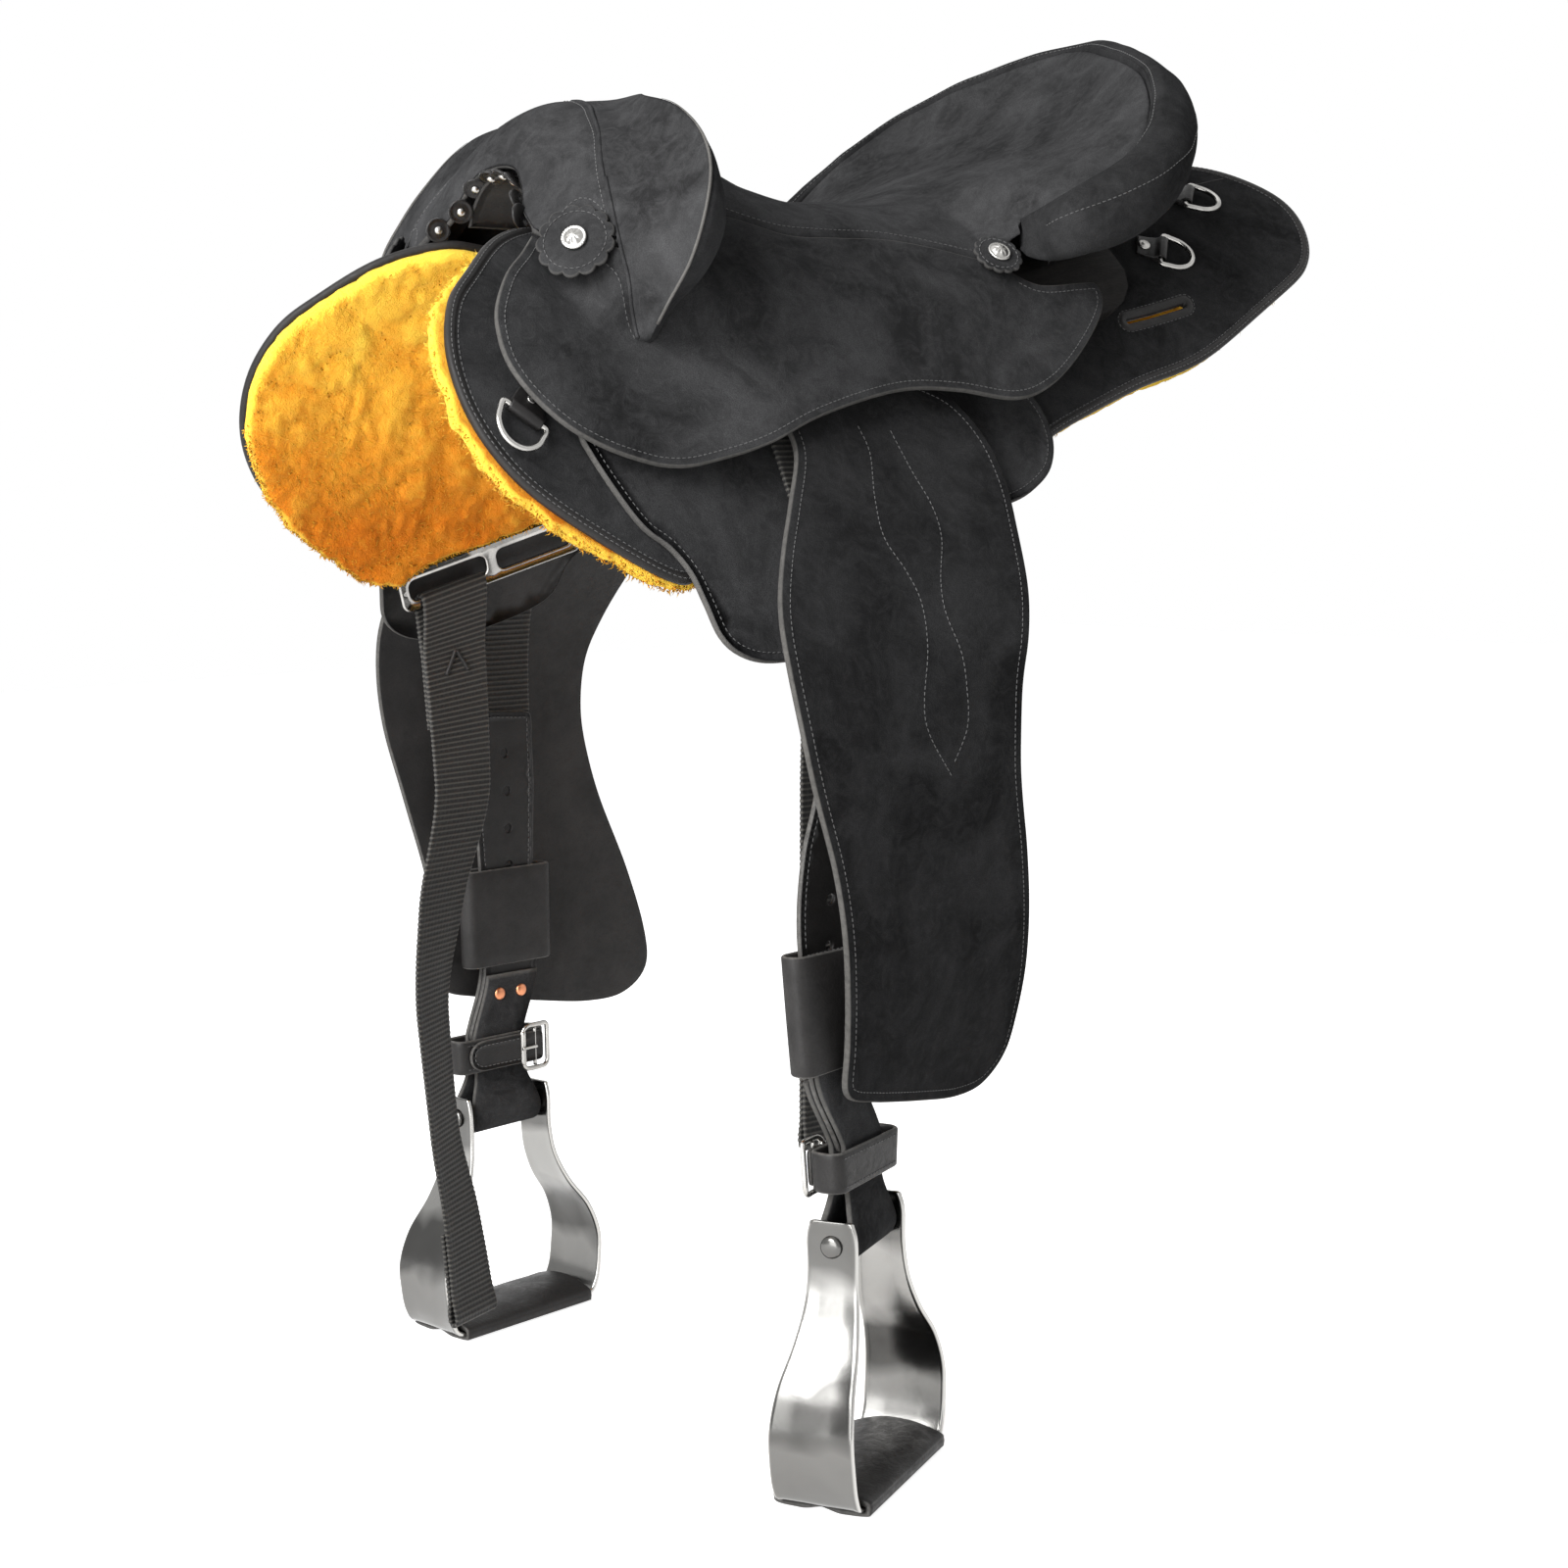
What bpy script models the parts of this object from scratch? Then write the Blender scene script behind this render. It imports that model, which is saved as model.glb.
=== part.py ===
"""Half breed saddle: skirts and fleece, tree, seat, poleys, fenders, stirrups, rings and latigos.

Front is -X, the near side is -Y, up is +Z. The origin is the top of the back under the seat's middle.
Soft leather lies on one form: a flat pattern point (x, v) has its place x along the back and runs v
down the side from the crest, and a lift above the skirt's face. Lengths are metres, angles degrees.
"""
import math

import bmesh
import bpy
import numpy as np
from mathutils import Vector
from mathutils.geometry import delaunay_2d_cdt

NEAR = -1
OFF = 1
SIDES = {"near": NEAR, "off": OFF}

# Form of the back and the hanging line
CREST_STATIONS = (-0.34, -0.25, -0.18, -0.12, 0.05, 0.10, 0.20, 0.30, 0.40)
CREST_HEIGHTS = (0.062, 0.048, 0.038, 0.034, 0.034, 0.040, 0.062, 0.092, 0.115)
SIDE_STATIONS = (-0.30, 0.00, 0.38)
SIDE_SLOPES = (67.0, 66.0, 58.0)
CREST_ROUND = 0.065
HANG_START = 0.27
HANG_BLEND = 0.13
HANG_SLOPE = 90.0

# Leather, fleece and wood thicknesses
SKIRT_LEATHER = 0.0040
FLEECE_DEPTH = 0.0115
PANEL_LEATHER = 0.0040
JOCKEY_LEATHER = 0.0036
POMMEL_LEATHER = 0.0036
FENDER_LEATHER = 0.0040
STRAP_LEATHER = 0.0040
WEBBING = 0.0026
BAR_BOARD = 0.0148
BAR_THINNING = 0.35
BAR_PLACE = (0.004, 0.089)
BAR_SIZE = (0.390, 0.080)
SEAT_PADDING = 0.0075
LAYER_GAP = 0.0009
FIT_GAP = 0.0005

# Skirt, rigging and rings
CHANNEL_HALF = 0.042
NOTCH_TOP = 0.222
NOTCH_FRONT = -0.188
FLEECE_INSET = 0.0025
FLEECE_SHOW = 0.0035
SLOT_CENTRE = (0.220, 0.138)
SLOT_SIZE = (0.056, 0.008)
SLOT_TILT = 6.0
PLATE_CENTRE = (-0.128, 0.262)
PLATE_TILT = 20.0
PLATE_PITCH = 12.0
PLATE_SINK = 0.0010
PLATE_STEEL = 0.0034
PLATE_SLOT = (0.056, 0.014)
PLATE_SLOT_ROUND = 0.0015
PLATE_BAR = 0.0065
PLATE_WEB = 0.008
DEE_WIRE = 0.0036
DEE_WIDTH = 0.031
DEE_REACH = 0.025
KEEPER_LEATHER = 0.0014
KEEPER_WIDTH = 0.020
KEEPER_REACH = 0.017
FRONT_DEE = (-0.283, 0.194, 30.0)
REAR_LOWER_DEE = (0.248, 0.098, -41.0)
REAR_UPPER_DEE = (0.301, 0.064, -38.0)

# Fender and stirrup strap, hung on one line on each side
STRAP_LINE = -0.116
TWIST_START = 0.30
TWIST_LENGTH = 0.355
TWIST_EASE = 1.6
STIRRUP_TWIST = {NEAR: 28.0, OFF: 8.0}
KEEPER_SHIFT = {NEAR: -0.022, OFF: 0.014}
STRAP_TOP_SHIFT = 0.014
FENDER_TOP = 0.135
FENDER_BOTTOM = 0.583
PIVOT_X = -0.098
PIVOT_V = 0.095
STRAP_WIDTH = 0.050
STRAP_TAPER = 0.004
STRAP_TOP = 0.082
STRAP_END = 0.592
HOLE_FIRST = 0.399
HOLE_PITCH = 0.0255
HOLE_COUNT = 4
HOLE_SIZE = 0.006
SLEEVE_TOP = 0.476
SLEEVE_DEPTH = 0.066
SLEEVE_WIDTH = 0.070
SLEEVE_LEATHER = 0.0026
SLEEVE_GAP = 0.0017
SLEEVE_CORNER = 0.0010
SLEEVE_ROW = 0.008
LOOP_WIDTH = 0.042
LOOP_OUTER_TOP = 0.505
LOOP_INNER_TOP = 0.548
HOBBLE_TOP = 0.588
HOBBLE_DEPTH = 0.023
HOBBLE_WIDTH = 0.074
HOBBLE_LEATHER = 0.0030
BUCKLE_SHIFT = {NEAR: -0.024, OFF: 0.024}
BUCKLE_SIZE = (0.024, 0.033)
BUCKLE_WIRE = 0.0036
BUCKLE_DEPTH = 0.0030

# Latigo
LATIGO_WIDTH = 0.044
LATIGO_BOTTOM = {NEAR: 0.604, OFF: 0.754}
LATIGO_FOLD = 0.060
LATIGO_LAP = 0.085
LATIGO_SLOT = {NEAR: 1, OFF: -1}
LATIGO_LEAN = {NEAR: 2.0, OFF: 5.5}
LATIGO_CURL = {NEAR: 0.0, OFF: 1.0}
LATIGO_SWELL = 0.0012
LATIGO_LEVEL = 0.12
LATIGO_STATIONS = (0.0, 0.12, 0.20, 0.27, 0.34, 0.40, 0.464)
LATIGO_DRIFT = (0.0, -0.003, -0.022, -0.034, -0.036, -0.034, -0.032)
LATIGO_TURN = (0.0, 3.0, 9.0, 18.0, 20.0, 17.0, 14.0)

# Stirrup, measured from its bolt
BOLT_V = 0.641
BOLT_RADIUS = 0.0034
BOLT_HEAD_RADIUS = 0.0064
BOLT_HEAD = 0.0022
ROLLER_RADIUS = 0.0080
NECK_HALF = 0.0325
NECK_RISE = 0.0135
NECK_DEPTH = 0.031
BOW_PLATE = 0.0028
BOW_LIP = 0.35
BOW_DROP = 0.139
BOW_HALF = 0.0630
BOW_BELLY = 0.0670
TREAD_DEPTH = 0.052
TREAD_LEATHER = 0.0030
TREAD_PAD = 0.0040

# Seat and cantle
SEAT_FRONT = -0.118
CROWN_STATIONS = (-0.125, -0.10, -0.06, -0.02, 0.03, 0.08, 0.15, 0.20, 0.228, 0.246)
CROWN_HEIGHTS = (0.101, 0.084, 0.064, 0.057, 0.058, 0.067, 0.094, 0.125, 0.150, 0.173)
SEAM_STATIONS = (-0.118, -0.074, 0.000, 0.064, 0.075)
SEAM_DOWN = (0.057, 0.070, 0.072, 0.088, 0.091)
CANTLE_STATIONS = (0.090, 0.102, 0.129, 0.152, 0.168, 0.179, 0.195, 0.206, 0.214, 0.224, 0.234, 0.242)
CANTLE_HALVES = (0.114, 0.146, 0.161, 0.160, 0.150, 0.140, 0.120, 0.100, 0.080, 0.060, 0.040, 0.020)
CANTLE_HEIGHTS = (0.041, 0.054, 0.073, 0.094, 0.111, 0.122, 0.138, 0.148, 0.156, 0.162, 0.168, 0.172)
SEAM_GAP = 0.0048
SWELL_DOWN = 0.100
SWELL_FADE = 0.045
EDGE_SPACING = 0.019
RIM_GAP = 0.0016
SEAT_EDGE_ROLL = 0.003
SEAT_ROLL_SHARPNESS = 10
SEAT_DISH = 2.1
BAND_REACH = 0.036
BAND_DROP = 0.074
BAND_FULLNESS = 0.6
BAND_END_REACH = 0.22
BAND_END_DROP = 0.24
BAND_CROWN = (0.30, 0.0040)
BAND_SECTION = ((0.72, 0.10), (1.0, 0.36), (0.93, 0.66), (0.62, 0.92), (0.24, 1.0))
BAND_INNER = (0.86, 0.40)
CANTLE_BOARD_INSET = 0.014
CANTLE_BOARD_CLEAR = 0.0040
CANTLE_BOARD_FRONT = 0.128
CANTLE_BOARD_HALF = 0.086
FORK_BOARD = 0.013

# Gullet and poleys
GULLET_ARCH = ((0.000, 0.0625), (0.012, 0.0605), (0.022, 0.0545), (0.030, 0.0455), (0.0345, 0.0360))
GULLET_CENTRE = 0.030
GULLET_FRONT = -0.2105
GULLET_DEPTH = 0.075
LINING = 0.0022
POLEY_DEPTH = 0.020
POLEY_HOLLOW = 0.004

# Rosettes and conchos
FRONT_ROSETTE = 0.0235
REAR_ROSETTE = 0.0165
ROSETTE_LEATHER = 0.0024
SCALLOPS = 13
CONCHO_RADIUS = 0.0072
CONCHO_HEIGHT = 0.0042
FRONT_ROSETTE_PLACE = (5.1, 2.5)
FRONT_ROSETTE_FACE = (-0.694, 0.583, 0.423)
FRONT_ROSETTE_CLEAR = 0.0089
REAR_ROSETTE_PLACE = (0.071, 0.096)
REAR_ROSETTE_FACE = (-0.22, 0.72, 0.66)
REAR_ROSETTE_CLEAR = 0.0055


def spline(stations, values):
    """Smooth monotone curve through values at stations, level beyond both ends."""
    s = np.asarray(stations, float)
    y = np.asarray(values, float)
    width = np.diff(s)
    slope = np.diff(y) / width
    tangent = np.zeros(len(s))
    for k in range(1, len(s) - 1):
        if slope[k - 1] * slope[k] > 0:
            before = 2 * width[k] + width[k - 1]
            after = width[k] + 2 * width[k - 1]
            tangent[k] = (before + after) / (before / slope[k - 1] + after / slope[k])
    tangent[0] = slope[0]
    tangent[-1] = slope[-1]

    def at(x):
        x = np.clip(x, s[0], s[-1])
        k = np.clip(np.searchsorted(s, x) - 1, 0, len(width) - 1)
        t = (x - s[k]) / width[k]
        rise = y[k] * (1 + 2 * t) * (1 - t) ** 2 + y[k + 1] * t * t * (3 - 2 * t)
        lean = tangent[k] * t * (1 - t) ** 2 + tangent[k + 1] * t * t * (t - 1)
        return rise + width[k] * lean

    return at


crest = spline(CREST_STATIONS, CREST_HEIGHTS)
side_slope = spline(SIDE_STATIONS, SIDE_SLOPES)


def slope_at(x, v):
    """Angle of the form below level, in radians, v down from the crest."""
    round_off = np.radians(side_slope(x)) * (1 - np.exp(-v / CREST_ROUND))
    u = np.clip((v - HANG_START) / HANG_BLEND, 0, 1)
    u = u * u * (3 - 2 * u)
    return round_off + (math.radians(HANG_SLOPE) - round_off) * u


def form(x, v, lift, side):
    """Point on the form at pattern place (x, v), lift above the skirt's face."""
    steps = 48
    middles = (np.arange(steps) + 0.5) * v / steps
    angles = slope_at(x, middles)
    out = np.cos(angles).sum() * v / steps
    drop = np.sin(angles).sum() * v / steps
    end = slope_at(x, v)
    return Vector((x, side * (out + lift * math.sin(end)), float(crest(x)) - drop + lift * math.cos(end)))


def form_frame(x, v, turn, side, lift=0.0):
    """Origin and axes of a flat piece laid on the form: along, down and outward, turned on the face."""
    base = form(x, v, lift, side)
    along = (form(x + 0.01, v, lift, side) - form(x - 0.01, v, lift, side)).normalized()
    down = (form(x, v + 0.01, lift, side) - form(x, v - 0.01, lift, side)).normalized()
    outward = along.cross(down) * side
    outward.normalize()
    down = outward.cross(along) * side
    turn = math.radians(turn)
    first = along * math.cos(turn) + down * math.sin(turn)
    second = down * math.cos(turn) - along * math.sin(turn)
    return base, first, second, outward


def twist_at(v, side):
    return math.radians(STIRRUP_TWIST[side]) * min(max((v - TWIST_START) / TWIST_LENGTH, 0), 1) ** TWIST_EASE


def hang(c, v, lift, side):
    """Point of the hanging set: c along from the strap line, v down, lift outward."""
    base = form(STRAP_LINE, v, 0.0, side)
    twist = twist_at(v, side)
    slope = float(slope_at(STRAP_LINE, v))
    outward = Vector((-math.sin(twist), math.cos(twist), 0)) * side * math.sin(slope)
    outward.z = math.cos(slope)
    return base + Vector((math.cos(twist), math.sin(twist), 0)) * c + outward * lift


def blend(a, b, c, d, t):
    """Point at t between b and c on the smooth curve through four points."""
    ends = b * (1 + 2 * t) * (1 - t) ** 2 + c * t * t * (3 - 2 * t)
    return ends + (c - a) / 2 * t * (1 - t) ** 2 + (d - b) / 2 * t * t * (t - 1)


def smooth_run(points, spacing, closed=False):
    """Points at about the spacing along a smooth curve through the given ones, without the last."""
    pts = [np.asarray(p, float) for p in points]
    if closed:
        padded = [pts[-1]] + pts + pts[:2]
    else:
        padded = [2 * pts[0] - pts[1]] + pts + [2 * pts[-1] - pts[-2]]
    run = []
    for k in range(1, len(padded) - 2):
        a, b, c, d = padded[k - 1:k + 3]
        count = max(1, round(float(np.linalg.norm(c - b)) / spacing))
        run += [blend(a, b, c, d, i / count) for i in range(count)]
    return run


def closed_line(runs, spacing):
    """Closed outline of smooth runs that meet at corners."""
    line = []
    for k, run in enumerate(runs):
        line += smooth_run(list(run) + [runs[(k + 1) % len(runs)][0]], spacing)
    return line


def rounded_box(centre, size, radius, tilt=0.0, arc=3):
    """Outline of a rectangle with round corners, tilted in its plane."""
    half = (size[0] / 2 - radius, size[1] / 2 - radius)
    turn = math.radians(tilt)
    line = []
    for quarter, (sx, sy) in enumerate(((1, 1), (-1, 1), (-1, -1), (1, -1))):
        for i in range(arc + 1):
            angle = math.radians(90 * (quarter + i / arc))
            px = sx * half[0] + radius * math.cos(angle)
            py = sy * half[1] + radius * math.sin(angle)
            line.append(np.array((centre[0] + px * math.cos(turn) - py * math.sin(turn),
                                  centre[1] + px * math.sin(turn) + py * math.cos(turn))))
    return line


def circle_line(centre, radius, count):
    return [np.array((centre[0] + radius * math.cos(2 * math.pi * k / count),
                      centre[1] + radius * math.sin(2 * math.pi * k / count))) for k in range(count)]


def inset_line(line, distance):
    """The outline moved inward by the distance, for a loop of small steps."""
    n = len(line)
    area = sum(line[k - 1][0] * line[k][1] - line[k][0] * line[k - 1][1] for k in range(n))
    turn = 1 if area > 0 else -1
    moved = []
    for k in range(n):
        tangent = line[(k + 1) % n] - line[k - 1]
        normal = np.array((-tangent[1], tangent[0])) * turn / np.linalg.norm(tangent)
        moved.append(line[k] + normal * distance)
    return moved


def inside(point, line):
    within = False
    for k in range(len(line)):
        (ax, ay), (bx, by) = line[k - 1], line[k]
        if (ay > point[1]) != (by > point[1]):
            if point[0] < ax + (point[1] - ay) / (by - ay) * (bx - ax):
                within = not within
    return within


def lattice(lines, step):
    """Staggered inner points, clear of every outline. Neighbouring layers share their places."""
    edge = np.concatenate([np.asarray(line) for line in lines])
    scale = np.array((1 / step[0], math.sqrt(0.75) / step[1]))
    low = np.floor(edge.min(axis=0) / step).astype(int) - 1
    high = np.ceil(edge.max(axis=0) / step).astype(int) + 1
    points = []
    for row in range(low[1], high[1] + 1):
        for column in range(low[0], high[0] + 1):
            point = np.array(((column + 0.5 * (row % 2)) * step[0], row * step[1]))
            apart = np.linalg.norm((edge - point) * scale, axis=1).min()
            if apart > 0.42 and inside(point, lines[0]) and not any(inside(point, h) for h in lines[1:]):
                points.append(point)
    return points


def add_piece(name, points, faces, material, carrier=None):
    """One closed solid, its origin on its carrier's."""
    empty, origin = carrier if carrier else (None, Vector())
    mesh = bpy.data.meshes.new(name)
    mesh.from_pydata([tuple(Vector(p) - origin) for p in points], [], faces)
    body = bmesh.new()
    body.from_mesh(mesh)
    bmesh.ops.recalc_face_normals(body, faces=body.faces)
    body.to_mesh(mesh)
    body.free()
    mesh.materials.append(material)
    piece = bpy.data.objects.new(name, mesh)
    bpy.context.scene.collection.objects.link(piece)
    piece.parent = empty
    return piece


def sheet(name, lines, place, material, carrier=None, step=None):
    """Slab cut to the outlines: place(a, b, h) is its inner face at h 0 and its outer face at h 1."""
    flat = [tuple(p) for line in lines for p in line]
    edges = []
    start = 0
    for line in lines:
        edges += [(start + k, start + (k + 1) % len(line)) for k in range(len(line))]
        start += len(line)
    if step:
        flat += [tuple(p) for p in lattice(lines, step)]
    a_scale, b_scale = (1 / step[0], math.sqrt(0.75) / step[1]) if step else (1.0, 1.0)
    scaled = [Vector((a * a_scale, b * b_scale)) for a, b in flat]
    found = delaunay_2d_cdt(scaled, edges, [], 0, 1e-7)
    corners = [(p.x / a_scale, p.y / b_scale) for p in found[0]]
    cuts = []
    for tri in found[2]:
        middle = np.mean([corners[k] for k in tri], axis=0)
        if inside(middle, lines[0]) and not any(inside(middle, hole) for hole in lines[1:]):
            cuts.append(tuple(tri))
    used = sorted({k for tri in cuts for k in tri})
    index = {k: i for i, k in enumerate(used)}
    n = len(used)
    points = [place(*corners[k], h) for h in (0, 1) for k in used]
    tris = [tuple(index[k] for k in tri) for tri in cuts]
    faces = [tri for tri in tris] + [tuple(k + n for k in reversed(tri)) for tri in tris]
    borders = {}
    for tri in tris:
        for k in range(3):
            one, two = tri[k], tri[(k + 1) % 3]
            if (two, one) in borders:
                del borders[(two, one)]
            else:
                borders[(one, two)] = True
    faces += [(one, one + n, two + n, two) for one, two in borders]
    return add_piece(name, points, faces, material, carrier)


def loft(name, rings, material, carrier=None, closed=False):
    """Solid through rings of equal counts, capped at both ends or closed on itself."""
    n = len(rings[0])
    points = [p for ring in rings for p in ring]
    faces = []
    spans = len(rings) if closed else len(rings) - 1
    for k in range(spans):
        here = k * n
        there = (k + 1) % len(rings) * n
        faces += [(here + i, here + (i + 1) % n, there + (i + 1) % n, there + i) for i in range(n)]
    if not closed:
        faces += [tuple(reversed(range(n))), tuple(range((len(rings) - 1) * n, len(rings) * n))]
    return add_piece(name, points, faces, material, carrier)


def turned(name, profile, base, axis, material, carrier=None, count=14):
    """Solid of revolution: profile of (radius, height) along the axis from the base."""
    axis = Vector(axis).normalized()
    first = axis.orthogonal().normalized()
    second = axis.cross(first)
    rings = []
    for radius, height in profile:
        centre = Vector(base) + axis * height
        ring = []
        for k in range(count):
            angle = 2 * math.pi * k / count
            ring.append(centre + first * radius * math.cos(angle) + second * radius * math.sin(angle))
        rings.append(ring)
    return loft(name, rings, material, carrier)


def ribbon(name, path, half_width, thickness, place, material, carrier=None):
    """Flat strap along a path of (lift, v), square across: place(c, lift, v) sets its corners."""
    path = [np.asarray(p, float) for p in path]
    rings = []
    for k, point in enumerate(path):
        ahead = path[min(k + 1, len(path) - 1)]
        behind = path[max(k - 1, 0)]
        tangent = (ahead - behind) / np.linalg.norm(ahead - behind)
        normal = np.array((-tangent[1], tangent[0])) * thickness / 2
        one = point - normal
        two = point + normal
        rings.append([place(-half_width, *one), place(half_width, *one),
                      place(half_width, *two), place(-half_width, *two)])
    return loft(name, rings, material, carrier)


def carrier(name, place, above=None):
    """Empty on a joint's axis, with its world place."""
    empty = bpy.data.objects.new(name, None)
    bpy.context.scene.collection.objects.link(empty)
    empty.parent = above[0] if above else None
    empty.location = place - (above[1] if above else Vector())
    return empty, place


def material(name, colour, roughness, metallic=0.0):
    made = bpy.data.materials.new(name)
    made.use_nodes = True
    shader = made.node_tree.nodes["Principled BSDF"]
    shader.inputs["Base Color"].default_value = (*colour, 1.0)
    shader.inputs["Roughness"].default_value = roughness
    shader.inputs["Metallic"].default_value = metallic
    return made


COLOURS = {
    "suede": ((0.018, 0.018, 0.021), 0.95, 0.0),
    "smooth_leather": ((0.012, 0.011, 0.011), 0.5, 0.0),
    "lining": ((0.020, 0.015, 0.012), 0.55, 0.0),
    "fleece": ((0.85, 0.42, 0.06), 1.0, 0.0),
    "wood": ((0.45, 0.33, 0.20), 0.7, 0.0),
    "webbing": ((0.008, 0.008, 0.008), 0.6, 0.0),
    "steel": ((0.60, 0.60, 0.60), 0.25, 1.0),
    "aluminium": ((0.80, 0.80, 0.80), 0.15, 1.0),
}


def dressed(kind, name):
    return material(name + "_" + kind, *COLOURS[kind])


def skirt_line(fleece=False):
    """Skirt pattern: front lobe, rigging notch, rear panel, channel edge. Fleece shows above the plate."""
    front = [(-0.205, CHANNEL_HALF), (-0.221, 0.045), (-0.254, 0.068), (-0.284, 0.101), (-0.304, 0.126),
             (-0.316, 0.160), (-0.315, 0.195), (-0.302, 0.223), (-0.281, 0.243), (-0.240, 0.266),
             (-0.212, 0.277)]
    if fleece:
        middle, drop = PLATE_CENTRE
        fall = math.tan(math.radians(PLATE_TILT))
        edge = drop - (PLATE_SLOT[1] / 2 + PLATE_BAR) / math.cos(math.radians(PLATE_TILT)) - FLEECE_SHOW
        cut = [(x, edge - (x - middle) * fall) for x in (NOTCH_FRONT, middle, -0.075)] + [(-0.045, 0.218)]
    else:
        cut = [(NOTCH_FRONT - 0.004, NOTCH_TOP + 0.022), (NOTCH_FRONT + 0.010, NOTCH_TOP)]
        cut.append((-0.045, NOTCH_TOP))
    rear = [(0.020, 0.220), (0.055, 0.214), (0.103, 0.193), (0.176, 0.182), (0.247, 0.181), (0.326, 0.161),
            (0.361, 0.146), (0.378, 0.120), (0.380, 0.089), (0.362, 0.052), (0.339, 0.016), (0.328, 0.003)]
    centre = [(0.322, 0.0015), (0.230, 0.0015), (0.196, 0.010), (0.165, 0.032), (0.130, CHANNEL_HALF)]
    return closed_line([front + [(-0.198, 0.275)], cut, rear, centre], 0.024)


def slot_line(grow=0.0):
    size = (SLOT_SIZE[0] + 2 * grow, SLOT_SIZE[1] + 2 * grow)
    return rounded_box(SLOT_CENTRE, size, size[1] / 2 - 0.0002, SLOT_TILT)


def make_skirt(label, side):
    def place(x, v, h):
        return form(x, v, -SKIRT_LEATHER * (1 - h), side)

    name = "skirt_" + label
    sheet(name, [skirt_line(), slot_line()], place, dressed("suede", name), step=(0.040, 0.022))


def make_fleece(label, side):
    top = -SKIRT_LEATHER - LAYER_GAP

    def place(x, v, h):
        return form(x, v, top - FLEECE_DEPTH * (1 - h), side)

    name = "fleece_" + label
    lines = [inset_line(skirt_line(fleece=True), FLEECE_INSET), slot_line(FLEECE_INSET)]
    sheet(name, lines, place, dressed("fleece", name), step=(0.040, 0.022))


def make_rigging_panel(label, side):
    top = [(-0.250, 0.196), (-0.240, 0.168), (-0.218, 0.152), (-0.180, 0.147), (0.040, 0.147), (0.080, 0.152),
           (0.094, 0.172)]
    bottom = [(0.095, 0.196), (0.085, 0.215), (0.066, 0.226), (0.043, 0.233), (0.000, 0.243), (-0.040, 0.252),
              (-0.060, 0.268), (-0.068, 0.290), (-0.087, 0.303), (-0.125, 0.315), (-0.162, 0.321),
              (-0.183, 0.318), (-0.195, 0.308), (-0.200, 0.289), (-0.204, 0.273), (-0.213, 0.260),
              (-0.226, 0.251), (-0.236, 0.236), (-0.247, 0.212)]

    def place(x, v, h):
        return form(x, v, LAYER_GAP + PANEL_LEATHER * h, side)

    name = "rigging_panel_" + label
    line = smooth_run(top + bottom, 0.020, closed=True)
    sheet(name, [line], place, dressed("suede", name), step=(0.040, 0.022))


def plate_place(side):
    """Map of the rigging plate: p along its bars, q down across them, its lower bar pitched inward."""
    base, along, down, outward = form_frame(*PLATE_CENTRE, -PLATE_TILT, side)
    pitch = math.radians(PLATE_PITCH)
    across = down * math.cos(pitch) - outward * math.sin(pitch)
    face = outward * math.cos(pitch) + down * math.sin(pitch)
    top = PLATE_SLOT[1] / 2 + PLATE_BAR
    edge = base - down * top - outward * (PLATE_STEEL + PLATE_SINK)

    def place(p, q, h):
        return edge + along * p + across * (q + top) + face * PLATE_STEEL * h

    return place


def make_rigging_plate(label, side):
    size = (2 * PLATE_SLOT[0] + PLATE_WEB + 2 * PLATE_BAR, PLATE_SLOT[1] + 2 * PLATE_BAR)
    middle = (PLATE_SLOT[0] + PLATE_WEB) / 2
    slots = [rounded_box((sign * middle, 0), PLATE_SLOT, PLATE_SLOT_ROUND) for sign in (1, -1)]
    name = "rigging_plate_" + label
    sheet(name, [rounded_box((0, 0), size, PLATE_BAR)] + slots, plate_place(side), dressed("steel", name))


def make_tree_bar(label, side):
    middle = BAR_PLACE[1]
    line = closed_line([[p] for p in rounded_box(BAR_PLACE, BAR_SIZE, 0.022)], 0.030)

    def place(x, v, h):
        crown = 1 - BAR_THINNING * ((v - middle) / BAR_SIZE[1] * 2) ** 2
        return form(x, v, LAYER_GAP + BAR_BOARD * crown * h, side)

    name = "tree_bar_" + label
    sheet(name, [line], place, dressed("wood", name), step=(0.040, 0.022))


# Pommel rows from the crest down one leg, each from the arch edge over to the poley seam
POMMEL_ROWS = (
    ((-0.2110, 0.000, 0.0665), (-0.2030, 0.000, 0.0840), (-0.1900, 0.000, 0.0980), (-0.1720, 0.000, 0.1055),
     (-0.1470, 0.000, 0.1070)),
    ((-0.2125, 0.020, 0.0630), (-0.2050, 0.024, 0.0790), (-0.1930, 0.028, 0.0920), (-0.1770, 0.030, 0.0985),
     (-0.1560, 0.030, 0.1015)),
    ((-0.2160, 0.032, 0.0510), (-0.2090, 0.042, 0.0660), (-0.2000, 0.050, 0.0770), (-0.1890, 0.055, 0.0840),
     (-0.1750, 0.058, 0.0880)),
    ((-0.2205, 0.040, 0.0390), (-0.2150, 0.053, 0.0480), (-0.2090, 0.065, 0.0560), (-0.2020, 0.075, 0.0625),
     (-0.1930, 0.083, 0.0670)),
    ((-0.2260, 0.051, 0.0340), (-0.2220, 0.064, 0.0345), (-0.2175, 0.078, 0.0370), (-0.2125, 0.091, 0.0405),
     (-0.2045, 0.103, 0.0440)),
    ((-0.2290, 0.0635, 0.0262), (-0.2268, 0.0740, 0.0198), (-0.2222, 0.0872, 0.0152),
     (-0.2170, 0.1018, 0.0146), (-0.2096, 0.1164, 0.0150)),
)


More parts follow.
